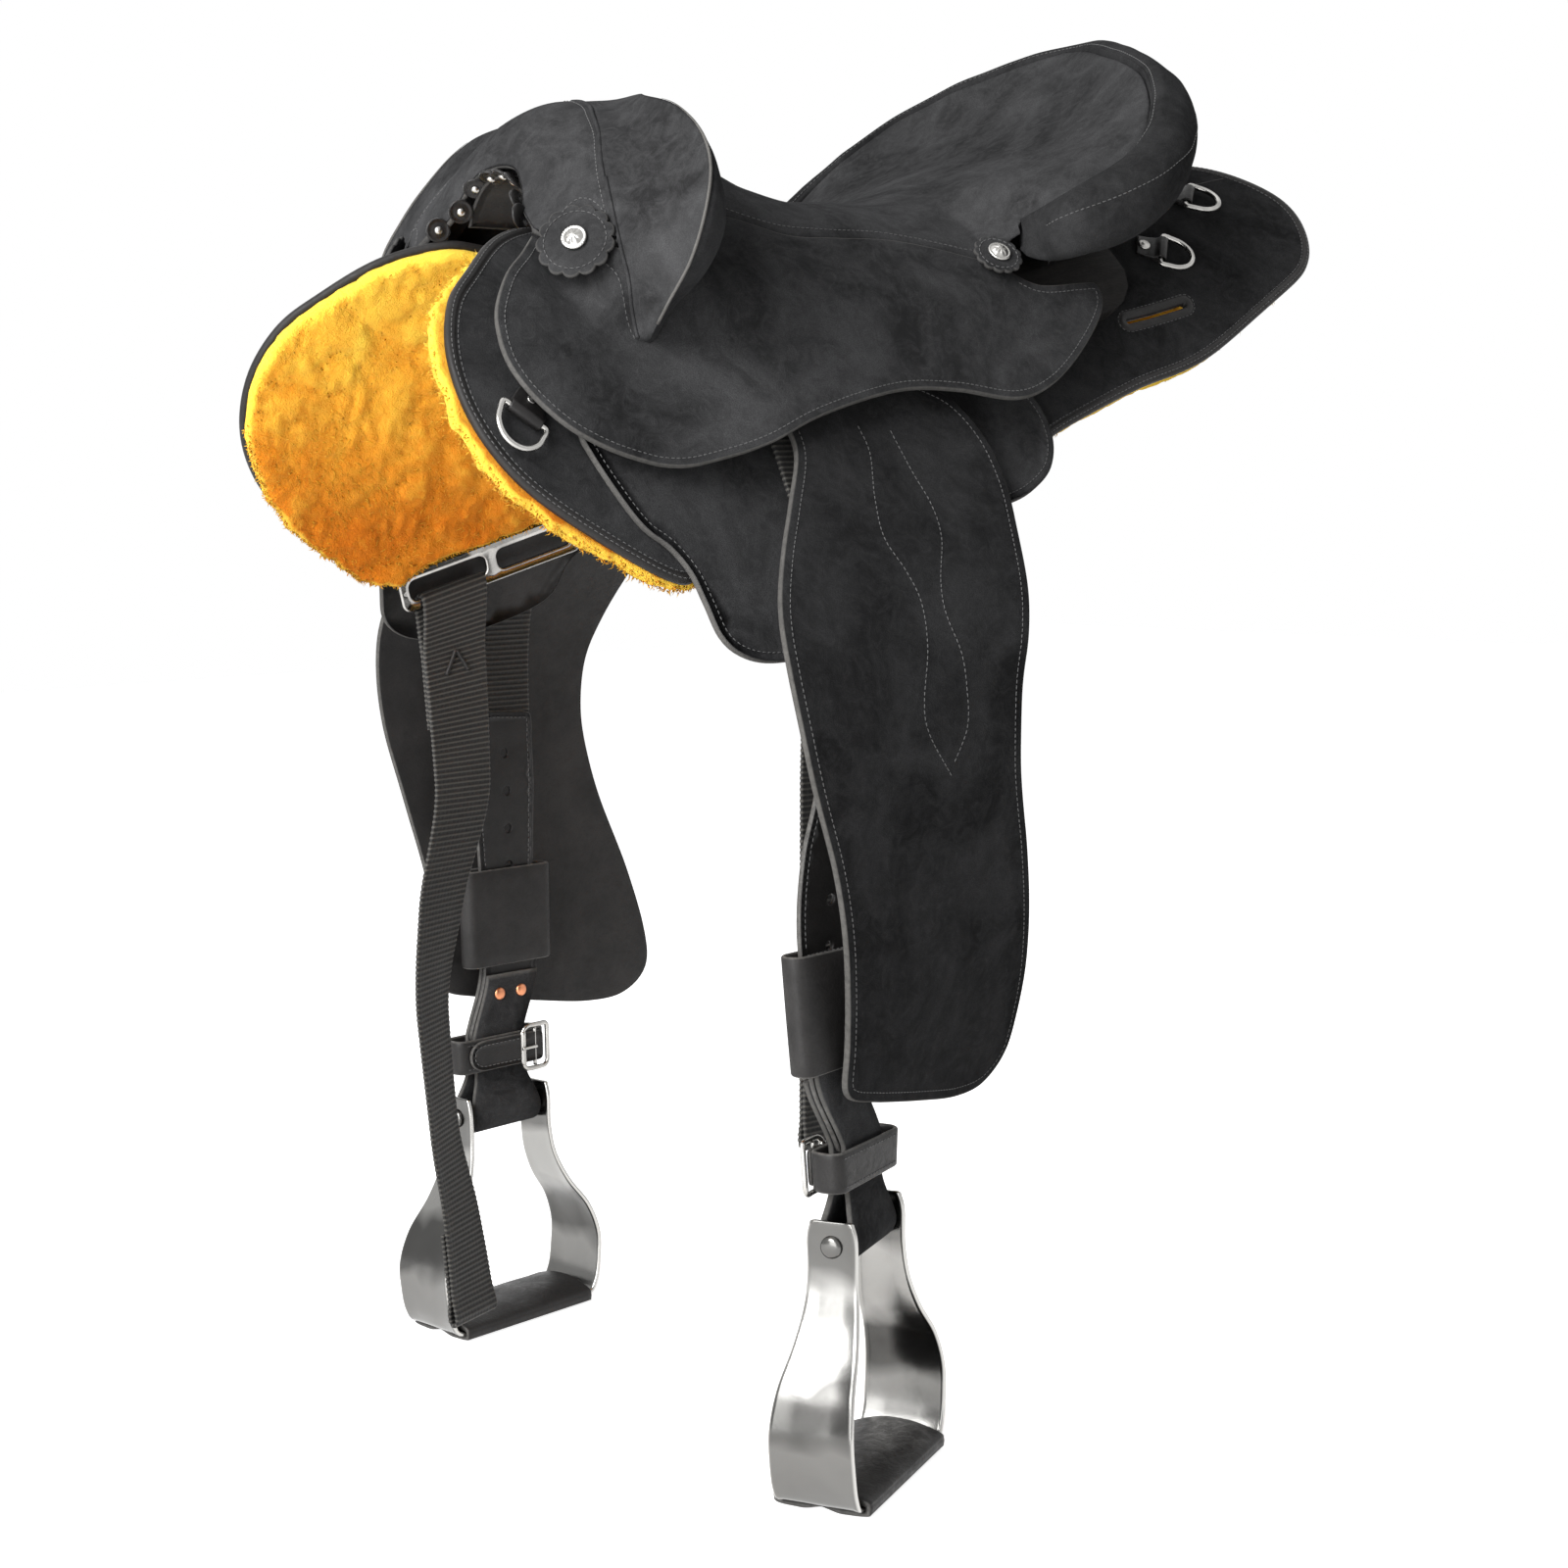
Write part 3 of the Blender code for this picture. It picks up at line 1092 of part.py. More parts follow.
def make_stirrup(label, side, empty):
    base, along, across = stirrup_axes(side)
    half = bow_path()
    path = half + [(-p, z, d) for p, z, d in reversed(half[:-1])]
    rings = []
    for k, (p, z, depth) in enumerate(path):
        ahead = path[min(k + 1, len(path) - 1)]
        behind = path[max(k - 1, 0)]
        tangent = np.array((ahead[0] - behind[0], ahead[1] - behind[1]))
        tangent /= np.linalg.norm(tangent)
        out = np.array((-tangent[1], tangent[0])) * BOW_PLATE / 2
        wide = depth / 2
        edge = wide - BOW_PLATE * 0.3
        lip = BOW_LIP
        ring = []
        for sign, width in ((1, -edge), (1, edge), (lip, wide), (-lip, wide), (-1, edge), (-1, -edge),
                            (-lip, -wide), (lip, -wide)):
            spot = along * (p + sign * out[0]) + Vector((0, 0, z + sign * out[1]))
            ring.append(base + spot + across * width)
        rings.append(ring)
    name = "stirrup_bow_" + label
    bow = loft(name, rings, dressed("aluminium", name), empty)
    drill = [(BOLT_RADIUS + FIT_GAP, -0.06), (BOLT_RADIUS + FIT_GAP, 0.06)]
    bore = turned("bore_" + label, drill, base, along, dressed("steel", "bore_" + label), empty, count=16)
    bore.hide_render = True
    bore.display_type = "WIRE"
    cut = bow.modifiers.new("bolt_holes", "BOOLEAN")
    cut.operation = "DIFFERENCE"
    cut.object = bore

    outer = NECK_HALF + BOW_PLATE + FIT_GAP
    inner = NECK_HALF - FIT_GAP
    profile = [(BOLT_HEAD_RADIUS * 0.6, outer + BOLT_HEAD), (BOLT_HEAD_RADIUS, outer + BOLT_HEAD * 0.5),
               (BOLT_HEAD_RADIUS, outer), (BOLT_RADIUS, outer), (BOLT_RADIUS, inner), (ROLLER_RADIUS, inner)]
    profile += [(radius, -height) for radius, height in reversed(profile)]
    name = "stirrup_bolt_" + label
    turned(name, [(r, -h) for r, h in profile], base, along, dressed("steel", name), empty, count=16)

    pad = TREAD_LEATHER
    clear = FIT_GAP
    low = -BOW_DROP - BOW_PLATE / 2 - clear
    high = -BOW_DROP + BOW_PLATE / 2 + clear
    half_depth = TREAD_DEPTH / 2 + clear
    inner_line = rounded_box((0, (low + high) / 2), (2 * half_depth, high - low), 0.001, 0, 1)
    edge = half_depth + pad
    shoulder = half_depth + pad * 0.4
    crown = high + pad + TREAD_PAD
    right = [(half_depth - pad, low - pad), (shoulder, low - pad * 0.8), (edge, low), (edge, high),
             (shoulder, high + pad * 0.9), (half_depth * 0.5, crown)]
    left = [(-a, b) for a, b in reversed(right)]
    outer_line = [np.array(p) for p in right + [(0, crown + TREAD_PAD * 0.25)] + left]
    reach = BOW_HALF - 0.008

    def place(a, b, h):
        return base + across * a + Vector((0, 0, b)) + along * reach * (2 * h - 1)

    name = "tread_cover_" + label
    sheet(name, [outer_line, inner_line], place, dressed("smooth_leather", name), empty)


def make_latigo(label, side):
    """Webbing folded through a slot of the plate, hung against the stirrup and turned at its end."""
    plate = plate_place(side)
    bar_p = LATIGO_SLOT[side] * (PLATE_SLOT[0] + PLATE_WEB) / 2
    bar_q = PLATE_SLOT[1] / 2 + PLATE_BAR / 2
    middle = plate(bar_p, bar_q, 0.5)
    rise = plate(bar_p + 0.01, bar_q, 0.5) - middle
    rise /= rise.x
    empty = carrier("hinge_latigo_" + label, middle)
    around = math.hypot(PLATE_BAR, PLATE_STEEL) / 2 + FIT_GAP + WEBBING / 2
    gap = WEBBING + FIT_GAP
    length = middle.z - form(STRAP_LINE, LATIGO_BOTTOM[side], 0, side).z
    rows = (-LATIGO_LAP, -0.055, -0.036)
    fold = [-length + LATIGO_FOLD * t for t in (1.0, 0.75, 0.50, 0.28)]
    swell = LATIGO_SWELL
    lap = [(gap, height) for height in rows] + [(around * 0.9, -0.014)]
    half_turn = [math.radians(a) for a in range(0, 181, 30)]
    over = [(around * math.cos(t), around * math.sin(t)) for t in half_turn]
    down = [(-around * 0.8, -0.012)] + [(0.0, height) for height in rows[::-1]]
    down += [(0.0, -length * t) for t in (0.28, 0.37, 0.46, 0.55, 0.64, 0.73, 0.80)]
    end = [(0.0, height) for height in fold]
    end += [(-swell, -length + 0.007), (-swell * 0.6, -length + 0.002), (gap * 0.5, -length),
            (gap + swell * 0.6, -length + 0.002), (gap + swell, -length + 0.007)]
    end += [(gap, height) for height in fold[::-1]]
    drift = spline(LATIGO_STATIONS, LATIGO_DRIFT)
    turn = spline(LATIGO_STATIONS, LATIGO_TURN)
    curl = LATIGO_CURL[side]
    slope = math.tan(math.radians(LATIGO_LEAN[side]))

    def place(c, out, height):
        below = max(-height, 0.0)
        fade = min(max(1.0 - below / LATIGO_LEVEL, 0.0), 1.0)
        angle = math.radians(float(turn(below))) * curl
        first = Vector((math.cos(angle), math.sin(angle), 0))
        second = Vector((-math.sin(angle), math.cos(angle), 0)) * side
        shift = Vector((float(drift(below)) * curl, -side * slope * below, height))
        return middle + first * c + Vector((0, rise.y, rise.z)) * c * fade + second * out + shift

    name = "latigo_" + label
    ribbon(name, lap + over + down + end, LATIGO_WIDTH / 2, WEBBING, place, dressed("webbing", name), empty)


def main():
    for item in list(bpy.data.objects):
        bpy.data.objects.remove(item, do_unlink=True)
    make_pommel_cover()
    make_gullet_lining()
    make_tree_fork()
    make_tree_cantle()
    make_seat()
    make_cantle_back()
    for label, side in SIDES.items():
        make_tree_bar(label, side)
        make_skirt(label, side)
        make_fleece(label, side)
        make_rigging_panel(label, side)
        make_rigging_plate(label, side)
        make_jockey(label, side)
        make_poley(label, side)
        make_rosette("front", label, side)
        make_rosette("rear", label, side)
        make_ring("front", label, side, FRONT_DEE)
        make_ring("rear_lower", label, side, REAR_LOWER_DEE)
        make_ring("rear_upper", label, side, REAR_UPPER_DEE)
        make_latigo(label, side)
        fender_hinge = carrier("hinge_fender_" + label, form(PIVOT_X, PIVOT_V, 0.0, side))
        make_fender(label, side, fender_hinge)
        make_stirrup_leather(label, side, fender_hinge)
        make_strap_fittings(label, side, fender_hinge)
        bolt, _, _ = stirrup_axes(side)
        stirrup_hinge = carrier("hinge_stirrup_" + label, bolt, fender_hinge)
        make_stirrup(label, side, stirrup_hinge)


main()
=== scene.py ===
"""Half breed saddle: leather, wool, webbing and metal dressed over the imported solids."""
import math

import bpy
import numpy as np
from mathutils import Matrix, Vector, noise
from mathutils.geometry import delaunay_2d_cdt


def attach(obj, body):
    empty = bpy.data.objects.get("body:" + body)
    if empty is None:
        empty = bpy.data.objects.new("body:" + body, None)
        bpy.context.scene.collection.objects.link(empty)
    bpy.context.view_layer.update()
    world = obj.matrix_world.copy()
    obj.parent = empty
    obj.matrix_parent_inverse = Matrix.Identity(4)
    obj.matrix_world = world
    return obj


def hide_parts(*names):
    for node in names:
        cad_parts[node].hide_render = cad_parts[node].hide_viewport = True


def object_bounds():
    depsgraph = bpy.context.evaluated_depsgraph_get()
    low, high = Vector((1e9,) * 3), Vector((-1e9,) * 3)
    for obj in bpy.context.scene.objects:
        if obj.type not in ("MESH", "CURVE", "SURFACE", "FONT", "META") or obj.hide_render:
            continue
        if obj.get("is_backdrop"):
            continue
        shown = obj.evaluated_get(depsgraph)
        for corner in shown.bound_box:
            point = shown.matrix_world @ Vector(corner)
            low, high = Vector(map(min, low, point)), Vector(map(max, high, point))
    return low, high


bl_info = {
    "name": "Half breed saddle",
    "version": (1, 0, 0),
    "blender": (4, 5, 0),
    "location": "View3D > Sidebar > Saddle",
    "description": "Dresses the saddle's solids in leather, wool, webbing and metal",
    "category": "Object",
}

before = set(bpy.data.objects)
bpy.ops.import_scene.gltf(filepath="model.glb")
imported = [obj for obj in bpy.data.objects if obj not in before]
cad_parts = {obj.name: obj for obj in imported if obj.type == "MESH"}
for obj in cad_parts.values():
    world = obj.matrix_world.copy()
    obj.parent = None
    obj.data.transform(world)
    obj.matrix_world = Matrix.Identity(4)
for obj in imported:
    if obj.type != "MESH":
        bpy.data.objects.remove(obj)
SOLID_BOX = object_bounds()

OFF = 1
SIDES = {"near": -1, "off": 1}
UP = np.array((0.0, 0.0, 1.0))

# Form of the back and the hanging line, as the solids have it
crest_line = ((-0.34, -0.25, -0.18, -0.12, 0.05, 0.10, 0.20, 0.30, 0.40),
              (0.062, 0.048, 0.038, 0.034, 0.034, 0.040, 0.062, 0.092, 0.115))
side_line = ((-0.30, 0.00, 0.38), (67.0, 66.0, 58.0))
CREST_ROUND = 0.065
HANG_START = 0.27
HANG_BLEND = 0.13
STRAP_LINE = -0.116
TWIST_START = 0.30
TWIST_LENGTH = 0.355
TWIST_EASE = 1.6
STIRRUP_TWIST = {-1: 28.0, 1: 8.0}
KEEPER_SHIFT = {-1: -0.022, 1: 0.014}
STRAP_TOP_SHIFT = 0.014
FORM_STEPS = 48

# Thicknesses and gaps
SKIRT_LEATHER = 0.0040
FLEECE_DEPTH = 0.0115
PANEL_LEATHER = 0.0040
JOCKEY_LEATHER = 0.0036
POMMEL_LEATHER = 0.0036
FENDER_LEATHER = 0.0040
STRAP_LEATHER = 0.0040
WEBBING = 0.0026
SEAT_PADDING = 0.0075
LAYER_GAP = 0.0009
FIT_GAP = 0.0005

# Places on the pattern
CHANNEL_HALF = 0.042
NOTCH_TOP = 0.222
NOTCH_FRONT = -0.188
FLEECE_SHOW = 0.0035
SLOT_CENTRE = (0.220, 0.138)
SLOT_SIZE = (0.056, 0.008)
SLOT_TILT = 6.0
PLATE_CENTRE = (-0.128, 0.262)
PLATE_TILT = 20.0
PLATE_PITCH = 12.0
PLATE_SINK = 0.0010
PLATE_STEEL = 0.0034
PLATE_SLOT = (0.056, 0.014)
PLATE_BAR = 0.0065
PLATE_WEB = 0.008
DEE_WIRE = 0.0036
DEE_WIDTH = 0.031
DEE_REACH = 0.025
KEEPER_LEATHER = 0.0014
KEEPER_WIDTH = 0.020
KEEPER_REACH = 0.017
DEES = {"front": (-0.283, 0.194, 30.0), "rear_lower": (0.248, 0.098, -41.0),
        "rear_upper": (0.301, 0.064, -38.0)}

# Hanging set
FENDER_TOP = 0.135
FENDER_BOTTOM = 0.583
STRAP_WIDTH = 0.050
STRAP_TOP = 0.082
STRAP_END = 0.592
STRAP_JOIN = 0.372
HOLE_FIRST = 0.399
HOLE_PITCH = 0.0255
HOLE_COUNT = 4
HOLE_SIZE = 0.006
SLEEVE_TOP = 0.476
SLEEVE_DEPTH = 0.066
SLEEVE_WIDTH = 0.070
SLEEVE_LEATHER = 0.0026
SLEEVE_GAP = 0.0017
LOOP_WIDTH = 0.042
LOOP_OUTER_TOP = 0.505
LOOP_INNER_TOP = 0.548
HOBBLE_TOP = 0.588
HOBBLE_DEPTH = 0.023
HOBBLE_WIDTH = 0.074
HOBBLE_LEATHER = 0.0030
BUCKLE_SHIFT = {-1: -0.024, 1: 0.024}
BUCKLE_SIZE = (0.024, 0.033)
BUCKLE_WIRE = 0.0036

# Latigo
LATIGO_WIDTH = 0.044
LATIGO_BOTTOM = {-1: 0.604, 1: 0.754}
LATIGO_FOLD = 0.060
LATIGO_LAP = 0.085
LATIGO_SLOT = {-1: 1, 1: -1}
LATIGO_LEAN = {-1: 2.0, 1: 5.5}
LATIGO_CURL = {-1: 0.0, 1: 1.0}

# Stirrup, measured from its bolt
BOLT_V = 0.641
BOLT_RADIUS = 0.0034
BOLT_HEAD_RADIUS = 0.0064
BOLT_HEAD = 0.0022
ROLLER_RADIUS = 0.0080
NECK_HALF = 0.0325
NECK_RISE = 0.0135
NECK_DEPTH = 0.031
BOW_PLATE = 0.0028
BOW_DROP = 0.139
BOW_HALF = 0.0630
BOW_BELLY = 0.0670
TREAD_DEPTH = 0.052
TREAD_LEATHER = 0.0030
TREAD_PAD = 0.0040

# Seat, cantle, gullet and poleys
SEAT_FRONT = -0.118
crown_line = ((-0.125, -0.10, -0.06, -0.02, 0.03, 0.08, 0.15, 0.20, 0.228, 0.246),
              (0.101, 0.084, 0.064, 0.057, 0.058, 0.067, 0.094, 0.125, 0.150, 0.173))
seam_line = ((-0.118, -0.074, 0.000, 0.064, 0.075), (0.057, 0.070, 0.072, 0.088, 0.091))
CANTLE_STATIONS = (0.090, 0.102, 0.129, 0.152, 0.168, 0.179, 0.195, 0.206, 0.214, 0.224, 0.234, 0.242)
CANTLE_HALVES = (0.114, 0.146, 0.161, 0.160, 0.150, 0.140, 0.120, 0.100, 0.080, 0.060, 0.040, 0.020)
CANTLE_HEIGHTS = (0.041, 0.054, 0.073, 0.094, 0.111, 0.122, 0.138, 0.148, 0.156, 0.162, 0.168, 0.172)
SEAM_GAP = 0.0048
RIM_GAP = 0.0016
SEAT_EDGE_ROLL = 0.003
BAND_REACH = 0.036
BAND_DROP = 0.074
GULLET_ARCH = ((0.000, 0.0625), (0.012, 0.0605), (0.022, 0.0545), (0.030, 0.0455), (0.0345, 0.0360))
GULLET_CENTRE = 0.030
GULLET_FRONT = -0.2105
GULLET_DEPTH = 0.075
LINING = 0.0022
POLEY_DEPTH = 0.020
PETAL_ROWS = (0.35, 1.25, 2.35, 3.80)
PETAL_RADIUS = 0.0072
POLEY_HOLLOW = 0.004

# Rosettes and conchos
FRONT_ROSETTE = 0.0235
REAR_ROSETTE = 0.0165
ROSETTE_LEATHER = 0.0024
SCALLOPS = 13
CONCHO_RADIUS = 0.0072
CONCHO_HEIGHT = 0.0042
FRONT_ROSETTE_PLACE = (5.1, 2.5)
FRONT_ROSETTE_FACE = (-0.694, 0.583, 0.423)
FRONT_ROSETTE_CLEAR = 0.0089
REAR_ROSETTE_PLACE = (0.071, 0.096)
REAR_ROSETTE_FACE = (-0.22, 0.72, 0.66)
REAR_ROSETTE_CLEAR = 0.0055

# Camera of the picture: degrees, metres and millimetres
CAMERA_AZIMUTH = -38.5
CAMERA_ELEVATION = 6.8
CAMERA_ROLL = -1.2
CAMERA_DISTANCE = 1.59
CAMERA_TARGET = (-0.011, 0.0, -0.3058)
CAMERA_LENS = 57.26
CAMERA_SENSOR = 36.0

# Place, size and power of each lamp, light from all round, and the floor's own white and half width
LAMPS = (("key_light", (-2.2, -0.6, 1.2), 1.5, 96.0), ("side_light", (1.6, -1.6, 0.9), 1.8, 2.0),
         ("top_light", (-0.2, 0.3, 2.2), 2.0, 8.0), ("back_light", (0.4, 2.0, 0.6), 1.8, 5.0),
         ("front_light", (-2.1, -1.0, -0.2), 1.4, 34.0))
LAMP_AIM = (0.0, 0.0, -0.20)
WORLD_LIGHT = 0.10
FLOOR_GLOW = 0.87
FLOOR_HALF = 6.0

# Rounds of an inset, clearance of inner points from a rim, wool locks, webbing selvedge and gullet scale
INSET_ROUNDS = 8
RIM_CLEAR = 0.45
WOOL_SEED = 7
WISP_THICKNESS = 0.00042
SELVEDGE_TOOTH = 0.0004
GULLET_SCALE = 0.01


def measure(name, description, value):
    return bpy.props.FloatProperty(name=name, description=description, default=value, unit="LENGTH")


class SaddleSizes(bpy.types.PropertyGroup):
    """Sizes of the saddle's sewing, wool and webbing"""
    stitch_length: measure("Stitch length", "Length of a stitch on the face", 0.0024)
    stitch_pitch: measure("Stitch pitch", "Length from one stitch to the next", 0.0034)
    thread: measure("Thread", "Thickness of the sewing thread", 0.0006)
    edge_round: measure("Edge rounding", "Width of the bevel on a cut edge", 0.0012)
    wool_length: measure("Wool length", "Length of a lock of wool", 0.0075)
    wool_spacing: measure("Wool spacing", "Distance between locks of wool", 0.0036)
    rib_pitch: measure("Rib pitch", "Length from one webbing rib to the next", 0.0033)
    rib_depth: measure("Rib depth", "Depth of the grooves between webbing ribs", 0.0006)


def colour(name, description, value):
    return bpy.props.FloatVectorProperty(
        name=name, description=description, default=value, subtype="COLOR", min=0.0, max=1.0)


class SaddleColours(bpy.types.PropertyGroup):
    """Colours of the saddle's finishes"""
    suede: colour("Suede", "Rough-out leather", (0.0225, 0.0225, 0.0231))
    suede_light: colour("Rubbed suede", "Rough-out leather where the nap is lifted", (0.075, 0.075, 0.077))
    smooth: colour("Smooth leather", "Grain side of the leather", (0.0115, 0.0108, 0.0106))
    edge: colour("Cut edge", "Cut edges of the leather", (0.120, 0.116, 0.110))
    thread: colour("Thread", "Sewing thread", (0.085, 0.085, 0.085))
    wool: colour("Wool", "Tips of the wool", (1.000, 0.350, 0.022))
    # Roots of the wool, and the painted shade between its lumps.
    wool_root_and_shade: colour("Deep wool", "Wool at its roots", (0.800, 0.260, 0.012))
    webbing: colour("Webbing", "Woven straps", (0.0085, 0.0082, 0.0080))
    lining: colour("Lining", "Lining of the gullet", (0.0085, 0.0078, 0.0072))
    # Near-black: partly the tree's dark covering, partly painted shade where the tree shows between the
    # cantle and the jockeys.
    wood: colour("Wood", "Tree bars and boards", (0.0065, 0.0052, 0.0045))
    steel: colour("Steel", "Dees, buckles and plates", (0.480, 0.470, 0.450))
    # A dark base, so that the white world it mirrors shows grey: painted reflection.
    aluminium: colour("Aluminium", "Stirrups", (0.250, 0.247, 0.238))
    copper: colour("Copper", "Rivets of the stirrup loop", (0.720, 0.290, 0.150))


def spline(stations, values):
    """Smooth monotone curve through values at stations, level beyond both ends."""
    s = np.asarray(stations, float)
    y = np.asarray(values, float)
    width = np.diff(s)
    slope = np.diff(y) / width
    tangent = np.zeros(len(s))
    for k in range(1, len(s) - 1):
        if slope[k - 1] * slope[k] > 0:
            before = 2 * width[k] + width[k - 1]
            after = width[k] + 2 * width[k - 1]
            tangent[k] = (before + after) / (before / slope[k - 1] + after / slope[k])
    tangent[0] = slope[0]
    tangent[-1] = slope[-1]

    def at(x):
        x = np.clip(x, s[0], s[-1])
        k = np.clip(np.searchsorted(s, x) - 1, 0, len(width) - 1)
        t = (x - s[k]) / width[k]
        rise = y[k] * (1 + 2 * t) * (1 - t) ** 2 + y[k + 1] * t * t * (3 - 2 * t)
        lean = tangent[k] * t * (1 - t) ** 2 + tangent[k + 1] * t * t * (t - 1)
        return rise + width[k] * lean

    return at


crest = spline(*crest_line)
side_slope = spline(*side_line)
crown_height = spline(*crown_line)
seam_down = spline(*seam_line)


def unit(v):
    return v / np.maximum(np.linalg.norm(v, axis=-1, keepdims=True), 1e-12)


def stack(*parts):
    return np.stack(np.broadcast_arrays(*parts), -1)


def slope_at(x, v):
    round_off = np.radians(side_slope(x)) * (1 - np.exp(-v / CREST_ROUND))
    u = np.clip((v - HANG_START) / HANG_BLEND, 0, 1)
    return round_off + (math.pi / 2 - round_off) * u * u * (3 - 2 * u)


def form(x, v, lift, side):
    """Points on the form at pattern places (x, v), lift above the skirt's face."""
    x, v, lift = (np.array(q) for q in np.broadcast_arrays(x, v, lift))
    steps = (np.arange(FORM_STEPS) + 0.5) / FORM_STEPS
    angles = slope_at(x[..., None], v[..., None] * steps)
    out = np.cos(angles).mean(-1) * v
    drop = np.sin(angles).mean(-1) * v
    end = slope_at(x, v)
    return stack(x, side * (out + lift * np.sin(end)), crest(x) - drop + lift * np.cos(end))


def form_frame(x, v, turn, side, lift):
    """Origin and axes of a flat piece laid on the form: along, down and outward, turned on the face."""
    base = form(x, v, lift, side)
    along = unit(form(x + 0.01, v, lift, side) - form(x - 0.01, v, lift, side))
    down = unit(form(x, v + 0.01, lift, side) - form(x, v - 0.01, lift, side))
    outward = unit(np.cross(along, down) * side)
    down = np.cross(outward, along) * side
    turn = math.radians(turn)
    first = along * math.cos(turn) + down * math.sin(turn)
    second = down * math.cos(turn) - along * math.sin(turn)
    return base, first, second, outward


def hang(c, v, lift, side):
    """Points of the hanging set: c along from the strap line, v down, lift outward."""
    c, v, lift = (np.array(q, float) for q in np.broadcast_arrays(c, v, lift))
    base = form(np.full(v.shape, STRAP_LINE), v, 0.0, side)
    twist = math.radians(STIRRUP_TWIST[side]) * np.clip((v - TWIST_START) / TWIST_LENGTH, 0, 1) ** TWIST_EASE
    slope = slope_at(np.full(v.shape, STRAP_LINE), v)
    level = side * np.sin(slope)
    outward = stack(-np.sin(twist) * level, np.cos(twist) * level, np.cos(slope))
    along = stack(np.cos(twist), np.sin(twist), np.zeros(v.shape))
    return base + along * c[..., None] + outward * lift[..., None]


def blend(a, b, c, d, t):
    ends = b * (1 + 2 * t) * (1 - t) ** 2 + c * t * t * (3 - 2 * t)
    return ends + (c - a) / 2 * t * (1 - t) ** 2 + (d - b) / 2 * t * t * (t - 1)


def smooth_run(points, spacing, closed=False):
    """Points at about the spacing along a smooth curve through the given ones, without the last."""
    pts = [np.asarray(p, float) for p in points]
    if closed:
        padded = [pts[-1]] + pts + pts[:2]
    else:
        padded = [2 * pts[0] - pts[1]] + pts + [2 * pts[-1] - pts[-2]]
    run = []
    for k in range(1, len(padded) - 2):
        a, b, c, d = padded[k - 1:k + 3]
        count = max(1, round(float(np.linalg.norm(c - b)) / spacing))
        run += [blend(a, b, c, d, i / count) for i in range(count)]
    return run


def closed_line(runs, spacing):
    """Closed outline of smooth runs that meet at corners."""
    line = []
    for k, run in enumerate(runs):
        line += smooth_run(list(run) + [runs[(k + 1) % len(runs)][0]], spacing)
    return np.array(line)


def open_line(points, spacing):
    return np.array(smooth_run(points, spacing) + [np.asarray(points[-1], float)])


def softened(line, rounds=2):
    """The outline with its corners eased by neighbours' means."""
    for _ in range(rounds):
        line = line * 0.5 + (np.roll(line, 1, 0) + np.roll(line, -1, 0)) * 0.25
    return line


def cornered_line(points, spacing):
    """Closed outline of straight runs from corner to corner."""
    return closed_line([[p] for p in points], spacing)


def full_turn(count):
    return np.arange(count) * 2 * math.pi / count


def flat_ring(t, radius, first, second):
    """Points at angles t round a centre, in the plane of two axes."""
    return np.outer(np.cos(t) * radius, first) + np.outer(np.sin(t) * radius, second)


def hoops(first, second, count):
    """Unit circles of count points, one in the plane of each pair of axes."""
    t = full_turn(count)[None, :, None]
    return first[:, None] * np.cos(t) + second[:, None] * np.sin(t)


def run_lengths(path):
    """Length along a path up to each of its points."""
    return np.concatenate([[0], np.cumsum(np.linalg.norm(np.diff(path, axis=0), axis=1))])


def path_normal(path):
    tangent = unit(np.gradient(path, axis=0))
    return stack(-tangent[:, 1], tangent[:, 0])


def rounded_box(centre, size, radius, tilt=0.0, arc=6, spacing=0.004):
    half = (size[0] / 2 - radius, size[1] / 2 - radius)
    turn = math.radians(tilt)
    line = []
    for quarter, (sx, sy) in enumerate(((1, 1), (-1, 1), (-1, -1), (1, -1))):
        for i in range(arc + 1):
            angle = math.radians(90 * (quarter + i / arc))
            px = sx * half[0] + radius * math.cos(angle)
            py = sy * half[1] + radius * math.sin(angle)
            line.append((centre[0] + px * math.cos(turn) - py * math.sin(turn),
                         centre[1] + px * math.sin(turn) + py * math.cos(turn)))
    return cornered_line(line, spacing)


def circle(centre, radius, count):
    t = full_turn(count)
    return stack(centre[0] + radius * np.cos(t), centre[1] + radius * np.sin(t))


def winding(line):
    """1 for an outline that runs anticlockwise, -1 for the other way."""
    after = np.roll(line, -1, 0)
    return 1 if (line[:, 0] * after[:, 1] - after[:, 0] * line[:, 1]).sum() > 0 else -1


def inset(line, distance):
    """The outline moved inward, pushed clear of its own far parts."""
    if abs(distance) < 1e-9:
        return line.copy()
    tangent = unit(np.roll(line, -1, 0) - np.roll(line, 1, 0))
    moved = line + stack(-tangent[:, 1], tangent[:, 0]) * winding(line) * distance
    every = np.arange(len(line))
    for _ in range(INSET_ROUNDS):
        gap = moved[:, None] - line[None]
        far = np.linalg.norm(gap, axis=2)
        nearest = far.argmin(1)
        short = np.maximum(abs(distance) - far[every, nearest], 0)
        moved = moved + unit(gap[every, nearest]) * short[:, None]
    return moved


def within(points, line):
    a, b = np.roll(line, 1, 0), line
    x, y = points[:, 0, None], points[:, 1, None]
    crosses = (a[None, :, 1] > y) != (b[None, :, 1] > y)
    rise = np.where(np.abs(b[:, 1] - a[:, 1]) < 1e-15, 1e-15, b[:, 1] - a[:, 1])
    meet = a[None, :, 0] + (y - a[None, :, 1]) / rise * (b - a)[None, :, 0]
    return (crosses & (x < meet)).sum(1) % 2 == 1


def rim_distance(points, line):
    best = np.full(len(points), 1e9)
    for start in range(0, len(points), 2000):
        gap = points[start:start + 2000, None] - line[None]
        best[start:start + 2000] = np.sqrt((gap ** 2).sum(2)).min(1)
    return best


def inside(points, lines):
    """Whether points are within the first outline and outside the others, its holes."""
    keep = within(points, lines[0])
    for hole in lines[1:]:
        keep &= ~within(points, hole)
    return keep


